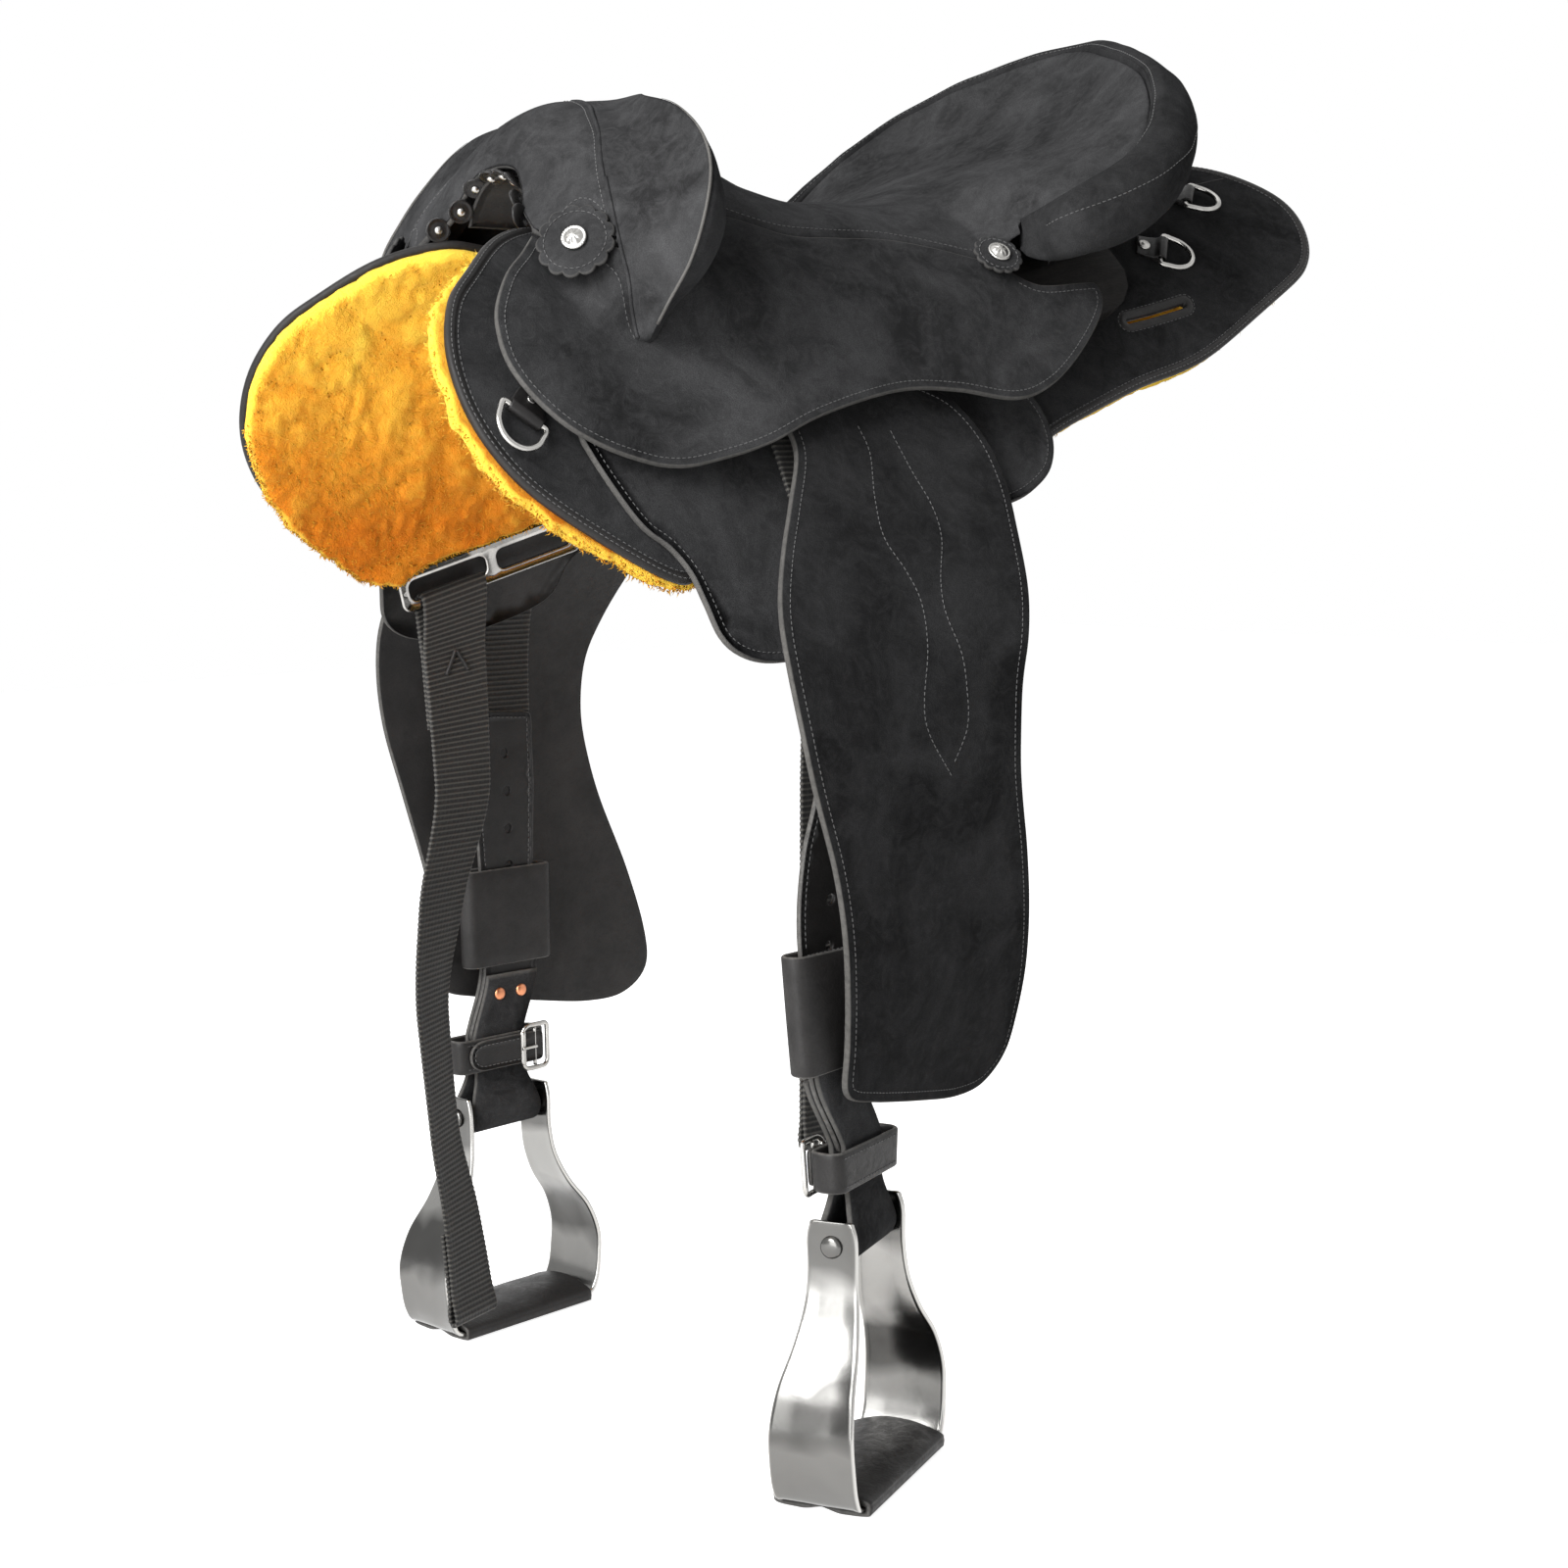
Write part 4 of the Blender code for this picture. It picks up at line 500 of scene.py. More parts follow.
def cut(lines, rows, step):
    """A flat piece cut to outlines: vertices (a, b, h, edge), faces and the span of its inner face's.
    Rows run from the outer face's rim to the inner face's, each (inset, h, edge). Both faces share their
    inner points."""
    rims = [[inset(line, (-1 if i else 1) * d) for d, _, _ in rows] for i, line in enumerate(lines)]
    first = [rim[0] for rim in rims]
    edges, start = [], 0
    for line in first:
        edges += [(start + k, start + (k + 1) % len(line)) for k in range(len(line))]
        start += len(line)
    rim_points = np.concatenate(first)
    low, high = rim_points.min(0) / step, rim_points.max(0) / step
    ga, gb = np.meshgrid(*(np.arange(math.floor(a) - 1, math.ceil(b) + 2) for a, b in zip(low, high)))
    inner = np.stack([(ga + 0.5 * (gb % 2)).ravel() * step[0], gb.ravel() * step[1]], 1)
    inner = inner[inside(inner, first)]
    inner = inner[rim_distance(inner, rim_points) > RIM_CLEAR * min(step)]
    flat = [Vector(p) for p in np.concatenate([rim_points, inner])]
    found = delaunay_2d_cdt(flat, edges, [], 0, 1e-8)
    plane = np.array([(p.x, p.y) for p in found[0]])
    where = {source: out for out, sources in enumerate(found[3]) for source in sources}
    tris = np.array(found[2])
    tris = tris[inside(plane[tris].mean(1), first)].tolist()
    n = len(plane)
    at = [np.column_stack([plane, np.full(n, rows[k][1]), np.zeros(n)]) for k in (0, -1)]
    faces = [tuple(t) for t in tris] + [tuple(k + n for k in t[::-1]) for t in tris]
    total, start = 2 * n, 0
    for number, rim in enumerate(rims):
        count = len(rim[0])
        rings = [[where[start + k] for k in range(count)]]
        for line, (_, h, edge) in list(zip(rim, rows))[1:-1]:
            at.append(np.column_stack([line, np.full(count, h), np.full(count, 0.0 if number else edge)]))
            rings.append(list(range(total, total + count)))
            total += count
        rings.append([k + n for k in rings[0]])
        for here, there in zip(rings, rings[1:]):
            for k in range(count):
                m = (k + 1) % count
                face = tuple(dict.fromkeys((here[k], here[m], there[m], there[k])))
                if len(face) > 2:
                    faces.append(face)
        start += count
    return np.concatenate(at), faces, (len(tris), 2 * len(tris))


def mirrored_rows(top):
    """Rows from the outer face's rim to the rim's middle, and the same in reverse to the inner face's."""
    return top + [(d, 1 - h, e) for d, h, e in reversed(top)]


def cut_rows(round_off):
    """Rows of a bevelled cut edge."""
    return mirrored_rows([(round_off * d, h, e) for d, h, e in
                          ((1.0, 1.0, 0.0), (0.40, 0.955, 1.0), (0.08, 0.802, 1.0), (0.0, 0.62, 1.0))])


def bound_rows(width, thick, proud):
    """Rows of an edge bound in a rolled strip: a step up, a rounded roll and a step down."""
    up = proud / thick
    return mirrored_rows([(width + 0.0010, 1.0, 0.0), (width + 0.0002, 1.0, 0.0),
                          (width - 0.0002, 1 + up * 0.75, 0.0), (width * 0.72, 1 + up, 0.0),
                          (width * 0.32, 1 + up * 0.92, 0.0), (width * 0.10, 0.98, 0.0), (0.0, 0.66, 0.0)])


def make(name, points, faces, finish, body, node=None, slot=None, flat=None, edge=None, inner=None):
    """One closed mesh that rides on a body, and stands for the node where one is given. Where inner gives the
    span of the inner face, the finishes are those of the outer face, the inner face and a bound rim."""
    mesh = bpy.data.meshes.new(name)
    mesh.from_pydata(np.asarray(points).tolist(), [], faces)
    mesh.update()
    mesh.calc_loop_triangles()
    corners = np.zeros(len(mesh.loop_triangles) * 3, np.int32)
    mesh.loop_triangles.foreach_get("vertices", corners)
    p = np.asarray(points)[corners.reshape(-1, 3)]
    p = p - p.reshape(-1, 3).mean(0)
    if np.einsum("ij,ij->i", p[:, 0], np.cross(p[:, 1], p[:, 2])).sum() < 0:
        mesh.flip_normals()
    if flat is not None:
        places = mesh.attributes.new("pattern", "FLOAT_VECTOR", "POINT")
        places.data.foreach_set("vector", np.ravel(flat).tolist())
    if edge is not None:
        mesh.attributes.new("cut_edge_and_painted_light", "FLOAT", "POINT").data.foreach_set("value", np.ravel(edge).tolist())
    finishes = [finish] if isinstance(finish, str) else finish
    for each in finishes:
        mesh.materials.append(finish_of(each))
    if inner:
        index = np.zeros(len(mesh.polygons), np.int32)
        index[inner[0]:inner[1]] = 1
        index[inner[1]:] = 2 if len(finishes) > 2 else 0
        mesh.polygons.foreach_set("material_index", index)
    mesh.shade_smooth()
    made = bpy.data.objects.new(name, mesh)
    bpy.context.scene.collection.objects.link(made)
    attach(made, body)
    if node:
        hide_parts(node)
    return (made, slot or FINISH_SLOTS[finishes[0]])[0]


def sew(name, pattern, place, finish, body, node=None, slot=None):
    """The cut piece laid where its place says."""
    at, faces, inner = pattern
    points = place(at[:, 0], at[:, 1], at[:, 2])
    return make(name, points, faces, finish, body, node, slot, at[:, :3], at[:, 3],
                None if isinstance(finish, str) else inner)


def ring_faces(count, around, closed=False, caps=True):
    """Faces of a loft through count rings of around points."""
    k, i = np.meshgrid(np.arange(count if closed else count - 1), np.arange(around), indexing="ij")
    k, i = k.ravel(), i.ravel()
    j, m = (i + 1) % around, (k + 1) % count
    k, m = k * around, m * around
    faces = [tuple(f) for f in np.stack([k + i, k + j, m + j, m + i], 1).tolist()]
    if caps and not closed:
        faces += [tuple(range(around - 1, -1, -1)), tuple(range((count - 1) * around, count * around))]
    return faces


def loft(name, rings, finish, body, node=None, slot=None, closed=False, flat=None, edge=None):
    rings = np.asarray(rings)
    faces = ring_faces(len(rings), rings.shape[1], closed)
    return make(name, rings.reshape(-1, 3), faces, finish, body, node, slot, flat, edge)


def turned(name, profile, base, axis, finish, body, count, node=None, slot=None, relief=None):
    """Solid of revolution from (radius, height) pairs; relief(angle, k) may lift a ring's points."""
    axis = unit(np.asarray(axis, float))
    first = unit(np.cross(axis, (0.31, 0.87, 0.38)))
    second = np.cross(axis, first)
    t = full_turn(count)
    rings = []
    for k, (radius, height) in enumerate(profile):
        lift = np.broadcast_to(height + (relief(t, k) if relief else 0.0), t.shape)
        rings.append(base + flat_ring(t, radius, first, second) + np.outer(lift, axis))
    return loft(name, rings, finish, body, node, slot)


def frames(path, closed=False, up=None):
    """Tangents and two normals along a path, turned as little as they can be."""
    path = np.asarray(path)
    if closed:
        tangent = unit(np.roll(path, -1, 0) - np.roll(path, 1, 0))
    else:
        tangent = unit(np.gradient(path, axis=0))
    if up is not None:
        first = unit(np.cross(tangent, np.broadcast_to(up, tangent.shape)))
        return tangent, first, np.cross(first, tangent)
    normal = np.cross(tangent[0], (0.3, 0.2, 0.93))
    first = []
    for t in tangent:
        normal = normal - t * (normal @ t)
        normal = normal / np.linalg.norm(normal)
        first.append(normal)
    first = np.array(first)
    return tangent, first, np.cross(tangent, first)


def wire(name, path, radius, finish, body, node=None, closed=False, around=10, up=None):
    """Round bar along a path."""
    path = np.asarray(path)
    _, first, second = frames(path, closed, up)
    radius = np.broadcast_to(radius, (len(path),))[:, None, None]
    rings = path[:, None] + radius * hoops(first, second, around)
    return loft(name, rings, finish, body, node, closed=closed)


def spread(path, pitch, closed=False):
    """Points, directions and their index places at even lengths along a path."""
    path = np.asarray(path)
    if closed:
        path = np.concatenate([path, path[:1]])
    lengths = run_lengths(path)
    count = max(2, int(lengths[-1] / pitch))
    marks = (np.arange(count) + 0.5) * lengths[-1] / count
    index = np.interp(marks, lengths, np.arange(len(path)))
    points = np.stack([np.interp(marks, lengths, path[:, k]) for k in range(path.shape[1])], 1)
    low = np.clip(np.floor(index).astype(int), 0, len(path) - 2)
    return points, unit(path[low + 1] - path[low]), index


def stitches(name, runs, body, sink=0.25):
    """Rows of stitches: runs are (points, normals, closed) along the leather's face."""
    sizes = bpy.context.scene.saddle_sizes
    centres, along, out = [], [], []
    for points, normals, closed in runs:
        c, t, index = spread(points, sizes.stitch_pitch, closed)
        padded = np.concatenate([normals, normals[:1]])
        n = stack(*(np.interp(index, np.arange(len(padded)), padded[:, k]) for k in range(3)))
        centres.append(c)
        along.append(t)
        out.append(unit(n))
    c, t, n = (np.concatenate(q) for q in (centres, along, out))
    ring = hoops(unit(np.cross(t, n)), n, 6)
    parts = []
    for place, size in ((-0.5, 0.0), (-0.40, 0.72), (0.0, 1.0), (0.40, 0.72), (0.5, 0.0)):
        rise = sizes.thread * (0.5 - sink) * (1 if size else -0.4)
        middle = (c + t * place * sizes.stitch_length + n * rise)[:, None]
        parts.append(middle + ring * sizes.thread * 0.5 * size if size else middle)
    block = np.concatenate(parts, 1)
    one = [(0, 1 + (k + 1) % 6, 1 + k) for k in range(6)]
    for base in (1, 7):
        one += [(base + k, base + (k + 1) % 6, base + 6 + (k + 1) % 6, base + 6 + k) for k in range(6)]
    one += [(13 + k, 13 + (k + 1) % 6, 19) for k in range(6)]
    faces = [tuple(i + block.shape[1] * k for i in face) for k in range(len(c)) for face in one]
    return make(name, block.reshape(-1, 3), faces, "thread", body)


def on_face(place, line, h=1.0, closed=False):
    """A line on a piece's outer (h 1) or inner (h 0) face as points, normals and whether it is closed."""
    line = np.asarray(line)
    a, b = line[:, 0], line[:, 1]
    face = place(a, b, np.full(len(a), float(h)))
    deep = place(a, b, np.full(len(a), 0.5))
    return face, unit(face - deep), closed


def dense(points, count):
    """Evenly numbered smooth curve through rows of points along the first axis."""
    points = np.asarray(points, float)
    padded = np.concatenate([2 * points[:1] - points[1:2], points, 2 * points[-1:] - points[-2:-1]])
    at = np.linspace(0, len(points) - 1, count)
    k = np.clip(np.floor(at).astype(int), 0, len(points) - 2)
    t = (at - k).reshape((-1,) + (1,) * (points.ndim - 1))
    return blend(padded[k], padded[k + 1], padded[k + 2], padded[k + 3], t)


def around(points, count):
    """Closed smooth curve through points along the first axis."""
    points = np.asarray(points, float)
    n = len(points)
    at = np.arange(count) * n / count
    k = np.floor(at).astype(int)
    t = (at - k).reshape((-1,) + (1,) * (points.ndim - 1))
    return blend(points[(k - 1) % n], points[k % n], points[(k + 1) % n], points[(k + 2) % n], t)


# Finishes

WOOL_PALE_AND_HIGHLIGHT = (1.0, 0.68, 0.080)
WOOL_SHADE_AMBER = (0.56, 0.15, 0.010)
WEBBING_CROWN_HIGHLIGHT = (0.100, 0.095, 0.085)
WHITE = (1.0, 1.0, 1.0, 1.0)
# Places down the stirrup and shares of its colour: painted reflections in light and dark bands.
BOW_REFLECTION_BANDS = ((0.02, 0.40), (0.19, 0.45), (0.26, 1.25), (0.46, 1.15), (0.54, 0.22), (0.68, 0.20), (0.76, 0.65),
             (0.95, 0.55))
FINISH_SLOTS = {"suede": "suede", "skirt_shade_suede": "suede", "dark_suede": "suede", "welt": "suede",
                "binding": "suede", "thread": "suede", "smooth": "smooth_leather", "glossy": "smooth_leather",
                "inner_face": "smooth_leather", "lining": "lining", "wool": "fleece", "wood": "wood",
                "webbing": "webbing", "steel": "steel", "concho": "steel", "copper": "steel",
                "aluminium": "aluminium"}


class Nodes:
    """Short calls that add nodes to a tree."""

    def __init__(self, tree):
        self.tree = tree

    def node(self, kind, inputs=None, **settings):
        made = self.tree.nodes.new("ShaderNode" + kind)
        for key, value in settings.items():
            setattr(made, key, value)
        for key, value in (inputs or {}).items():
            self.feed(made.inputs[key], value)
        return made

    def feed(self, socket, value):
        if isinstance(value, bpy.types.NodeSocket):
            self.tree.links.new(value, socket)
        else:
            socket.default_value = value

    def math(self, how, one, two=0.5):
        return self.node("Math", {0: one, 1: two}, operation=how).outputs[0]

    def seen(self):
        """1 for rays from the eye, from gloss and through glass, which meet the white itself."""
        rays = self.node("LightPath")
        seen = rays.outputs["Is Camera Ray"]
        for kind in ("Is Glossy Ray", "Is Transmission Ray"):
            seen = self.math("MAXIMUM", seen, rays.outputs[kind])
        return seen


class Finish(Nodes):
    """Node tree of one finish, from the Principled shader that a new material has."""

    def __init__(self, name):
        self.material = bpy.data.materials.new(name)
        self.material.use_nodes = True
        super().__init__(self.material.node_tree)
        self.shader = self.tree.nodes["Principled BSDF"]
        self.place = self.node("TexCoord").outputs["Object"]

    def set(self, **values):
        for key, value in values.items():
            self.feed(self.shader.inputs[key.replace("_", " ")], value)

    def noise(self, scale, detail=3.0, rough=0.55, place=None, bend=0.0):
        return self.node("TexNoise", {"Vector": place or self.place, "Scale": scale, "Detail": detail,
                                      "Roughness": rough, "Distortion": bend}).outputs["Fac"]

    def stretched(self, *scale, place=None):
        return self.node("Mapping", {"Vector": place or self.place, "Scale": scale}).outputs["Vector"]

    def bands(self, place, scale, distortion, detail, across):
        inputs = {"Vector": place, "Scale": scale, "Distortion": distortion, "Detail": detail}
        return self.node("TexWave", inputs, wave_type="BANDS", bands_direction=across).outputs["Fac"]

    def height(self, foot, top):
        """0 at the foot's height and 1 at the top's."""
        z = self.node("SeparateXYZ", {"Vector": self.place}).outputs["Z"]
        return self.node("MapRange", {"Value": z, "From Min": foot, "From Max": top}).outputs["Result"]

    def ramp(self, fac, *stops):
        made = self.node("ValToRGB", {"Fac": fac})
        items = made.color_ramp.elements
        for k, (at, value) in enumerate(stops):
            item = items[k] if k < 2 else items.new(at)
            item.position = at
            shade = value if hasattr(value, "__len__") else (value,) * 3
            item.color = (*shade, 1.0)
        return made.outputs["Color"]

    def mix(self, fac, one, two):
        return self.node("MixRGB", {"Fac": fac, "Color1": rgba(one), "Color2": rgba(two)}).outputs["Color"]

    def attribute(self, name, output="Fac"):
        return self.node("Attribute", attribute_name=name, attribute_type="GEOMETRY").outputs[output]

    def bump(self, height, strength, depth, after=None):
        inputs = {"Height": height, "Strength": strength, "Distance": depth}
        if after:
            inputs["Normal"] = after
        return self.node("Bump", inputs).outputs["Normal"]


def rgba(value):
    if isinstance(value, bpy.types.NodeSocket) or not hasattr(value, "__len__"):
        return value
    return (*tuple(value)[:3], 1.0)


def scaled(value, share):
    return tuple(min(c * share, 1.0) for c in tuple(value)[:3])


def suede_finish(name, dark, light, tone=1.0):
    """Rough-out leather: patchy lifted nap, fine fibre and pale cut edges."""
    c = bpy.context.scene.saddle_colours
    f = Finish(name)
    patches = f.noise(15.0, 5.0, 0.66, bend=0.7)
    base = f.ramp(patches, (0.36, scaled(dark, tone)), (0.72, scaled(light, tone)))
    brushed = f.noise(80.0, 6.0, 0.72, bend=1.6)
    base = f.mix(f.ramp(brushed, (0.44, 0.0), (0.78, 0.45)), base, scaled(light, tone * 1.3))
    fibre = f.noise(1500.0, 2.0, 0.8)
    base = f.mix(f.ramp(fibre, (0.30, 0.0), (0.70, 0.50)), base, scaled(dark, tone * 0.55))
    edge = f.attribute("cut_edge_and_painted_light")
    ragged = f.noise(420.0, 3.0, 0.6)
    share = f.math("MULTIPLY", edge, f.ramp(ragged, (0.25, 0.55), (0.60, 1.0)))
    worn = f.mix(f.noise(60.0, 3.0), scaled(c.edge, 0.55), scaled(c.edge, 1.15))
    f.set(Base_Color=f.mix(share, base, worn))
    f.set(Roughness=f.ramp(brushed, (0.30, 0.98), (0.75, 0.86)))
    f.set(Sheen_Weight=0.008, Sheen_Roughness=0.5, Sheen_Tint=(0.80, 0.84, 0.92, 1.0),
          Specular_IOR_Level=0.02)
    f.set(Normal=f.bump(fibre, 0.55, 0.00045, f.bump(brushed, 0.40, 0.0012)))
    return f.material


def smooth_finish(name, dark, shine=0.42, tone=1.0):
    """Grain-side leather: fine pebbled grain, creases and rubbed high spots."""
    c = bpy.context.scene.saddle_colours
    f = Finish(name)
    mottle = f.noise(24.0, 5.0, 0.6)
    base = f.ramp(mottle, (0.30, scaled(dark, 0.75 * tone)), (0.72, scaled(dark, 1.9 * tone)))
    grain = f.node("TexVoronoi", {"Vector": f.place, "Scale": 620.0, "Randomness": 1.0}).outputs["Distance"]
    creases = f.noise(140.0, 5.0, 0.65, bend=1.2)
    base = f.mix(f.ramp(grain, (0.05, 0.35), (0.45, 0.0)), base, scaled(dark, 0.4 * tone))
    edge = f.attribute("cut_edge_and_painted_light")
    ragged = f.noise(380.0, 3.0, 0.6)
    share = f.math("MULTIPLY", edge, f.ramp(ragged, (0.30, 0.40), (0.62, 1.0)))
    f.set(Base_Color=f.mix(share, base, scaled(c.edge, 0.8)))
    f.set(Roughness=f.ramp(creases, (0.30, shine + 0.16), (0.70, shine - 0.06)))
    f.set(Coat_Weight=0.03, Coat_Roughness=0.30, Specular_IOR_Level=0.22)
    f.set(Normal=f.bump(grain, 0.22, 0.00030, f.bump(creases, 0.35, 0.0007)))
    return f.material


def thread_finish(name, shade):
    f = Finish(name)
    twist = f.noise(2400.0, 2.0, 0.6)
    f.set(Base_Color=f.ramp(twist, (0.30, scaled(shade, 0.55)), (0.68, scaled(shade, 1.35))), Roughness=0.75)
    f.set(Sheen_Weight=0.15, Normal=f.bump(twist, 0.4, 0.0002))
    return f.material


def wool_finish(name, tip, root_and_shade):
    """Golden clipped wool. Pale tips are partly its own colour and partly painted highlight; pale rims and
    lump tops are painted highlight, the deeper colour between the lumps painted shade, the paler colour
    towards the top painted light and the amber towards the skirt's foot painted shade.
    """
    f = Finish(name)
    clumps = f.noise(17.0, 6.0, 0.70, bend=1.2)
    patches = f.noise(8.0, 5.0, 0.7, bend=1.2)
    curls = f.noise(230.0, 4.0, 0.75, bend=0.8)
    fibre = f.noise(900.0, 3.0, 0.75)
    base = f.ramp(clumps, (0.40, tuple(tip)), (0.78, WOOL_PALE_AND_HIGHLIGHT))
    # Paler towards the top: painted light. Amber towards the skirt's foot, broken by random patches: painted
    # shade.
    base = f.mix(f.math("MULTIPLY", f.height(-0.12, 0.03), 0.65), base, WOOL_PALE_AND_HIGHLIGHT)
    low = f.math("MULTIPLY", f.height(-0.03, -0.14), f.ramp(patches, (0.26, 0.55), (0.60, 1.0)))
    base = f.mix(low, base, WOOL_SHADE_AMBER)
    base = f.mix(f.ramp(curls, (0.32, 0.34), (0.50, 0.0)), base, tuple(root_and_shade))
    # The mask is low between the lumps, where the root colour is painted shade, and high on the rims, lump
    # tops and wisp tips, painted pale as highlight.
    lump = f.attribute("cut_edge_and_painted_light")
    base = f.mix(f.ramp(lump, (0.12, 0.40), (0.36, 0.0)), base, tuple(root_and_shade))
    base = f.mix(f.ramp(lump, (0.62, 0.0), (1.0, 0.80)), base, WOOL_PALE_AND_HIGHLIGHT)
    f.set(Base_Color=base, Roughness=0.95, Sheen_Weight=0.22, Sheen_Roughness=0.5,
          Sheen_Tint=(1.0, 0.66, 0.16, 1.0), Specular_IOR_Level=0.06, Subsurface_Weight=0.20,
          Subsurface_Radius=(1.0, 0.50, 0.12), Subsurface_Scale=0.004)
    f.set(Normal=f.bump(fibre, 0.7, 0.0008, f.bump(curls, 0.8, 0.0022)))
    return f.material


def webbing_finish(name, shade):
    """Woven nylon: yarns along the ribs, and crowns painted lighter as highlight."""
    f = Finish(name)
    place = f.attribute("pattern", "Vector")
    yarn = f.bands(place, 95.0, 2.0, 1.0, "X")
    fuzz = f.noise(900.0, 3.0, 0.7, place=f.stretched(1.0, 0.35, 1.0, place=place))
    dust = f.noise(30.0, 4.0, 0.6)
    base = f.ramp(dust, (0.30, scaled(shade, 0.55)), (0.75, scaled(shade, 1.2)))
    base = f.mix(f.ramp(fuzz, (0.35, 0.0), (0.75, 0.45)), base, scaled(shade, 2.8))
    # Rib crowns painted lighter: painted highlight.
    base = f.mix(f.ramp(f.attribute("cut_edge_and_painted_light"), (0.42, 0.0), (1.0, 0.75)), base, WEBBING_CROWN_HIGHLIGHT)
    f.set(Base_Color=base, Roughness=f.ramp(fuzz, (0.3, 0.72), (0.7, 0.54)), Sheen_Weight=0.05,
          Specular_IOR_Level=0.25)
    f.set(Normal=f.bump(yarn, 0.30, 0.00030, f.bump(fuzz, 0.40, 0.00030)))
    return f.material


def metal_finish(name, shade, polish, brushed=0.0, tarnish=0.35, painted_reflections=False):
    """Bright metal with fine scratches, smears and dull patches. One with painted reflections has soft light
    and dark bands down the bow, painted reflections of a room, and bright bead rims, a painted highlight."""
    f = Finish(name)
    smear = f.noise(34.0, 5.0, 0.6, bend=0.8)
    scratch = f.noise(160.0, 3.0, 0.75, place=f.stretched(14.0, 14.0, 0.8))
    pits = f.noise(1100.0, 2.0, 0.6)
    base = f.ramp(smear, (0.28, scaled(shade, 1.0 - tarnish)), (0.60, tuple(shade)[:3]))
    if painted_reflections:
        # Light and dark bands down the bow, wavering with noise: painted reflections of a room.
        foot = SOLID_BOX[0][2]
        waver = f.math("MULTIPLY", f.math("SUBTRACT", f.noise(15.0, 2.0, 0.5, bend=0.5)), 0.35)
        down = f.math("ADD", f.height(foot + BOW_DROP + NECK_RISE, foot), waver)
        base = f.mix(0.85, base, f.ramp(down, *((at, scaled(shade, share)) for at, share in BOW_REFLECTION_BANDS)))
        # Bead rims painted brighter: painted highlight.
        base = f.mix(f.attribute("cut_edge_and_painted_light"), base, scaled(shade, 1.8))
    base = f.mix(f.ramp(pits, (0.20, 0.35), (0.36, 0.0)), base, scaled(shade, 0.45))
    f.set(Base_Color=base, Metallic=1.0)
    f.set(Roughness=f.ramp(smear, (0.25, polish + 0.12), (0.70, polish)))
    f.set(Normal=f.bump(scratch, 0.06 + brushed, 0.00020, f.bump(smear, 0.10, 0.0010)))
    return f.material


def wood_finish(name, shade):
    """Timber with a grain along the saddle, stained near-black: partly the tree's dark covering, partly
    painted shade where it shows between the cantle and the jockeys.
    """
    f = Finish(name)
    stretch = f.stretched(1.0, 9.0, 9.0)
    rings = f.bands(stretch, 7.0, 6.0, 3.0, "Y")
    pores = f.noise(180.0, 4.0, 0.7, place=stretch)
    base = f.ramp(rings, (0.20, scaled(shade, 0.55)), (0.80, tuple(shade)[:3]))
    base = f.mix(f.ramp(pores, (0.35, 0.50), (0.55, 0.0)), base, scaled(shade, 0.35))
    f.set(Base_Color=base, Roughness=f.ramp(pores, (0.3, 0.80), (0.7, 0.60)), Specular_IOR_Level=0.20)
    f.set(Normal=f.bump(pores, 0.3, 0.0005))
    return f.material


def finish_of(kind):
    """The named finish, made the first time that it is asked for."""
    name = "saddle_" + kind
    if name in bpy.data.materials:
        return bpy.data.materials[name]
    c = bpy.context.scene.saddle_colours
    # Darker copies of the one suede for the skirts, and darker still for the fenders and the cantle: painted
    # shade.
    suede_shade_tones = {"suede": 1.0, "skirt_shade_suede": 0.85, "dark_suede": 0.62}
    if kind in suede_shade_tones:
        return suede_finish(name, c.suede, c.suede_light, suede_shade_tones[kind])
    makers = {
        "welt": lambda: suede_finish(name, c.edge, scaled(c.edge, 1.5), 0.9),
        "smooth": lambda: smooth_finish(name, c.smooth),
        "binding": lambda: smooth_finish(name, c.smooth, 0.50, 1.1),
        "inner_face": lambda: smooth_finish(name, c.smooth, 0.50, 1.2),
        "glossy": lambda: smooth_finish(name, c.smooth, 0.24, 0.8),
        "lining": lambda: smooth_finish(name, c.lining, 0.48),
        "thread": lambda: thread_finish(name, c.thread),
        "wool": lambda: wool_finish(name, c.wool, c.wool_root_and_shade),
        "webbing": lambda: webbing_finish(name, c.webbing),
        "steel": lambda: metal_finish(name, c.steel, 0.20),
        "concho": lambda: metal_finish(name, c.steel, 0.26, 0.05),
        "aluminium": lambda: metal_finish(name, c.aluminium, 0.16, 0.02, 0.22, painted_reflections=True),
        "copper": lambda: metal_finish(name, c.copper, 0.28),
        "wood": lambda: wood_finish(name, c.wood),
    }
    return makers[kind]()


# Patterns and places of the leather


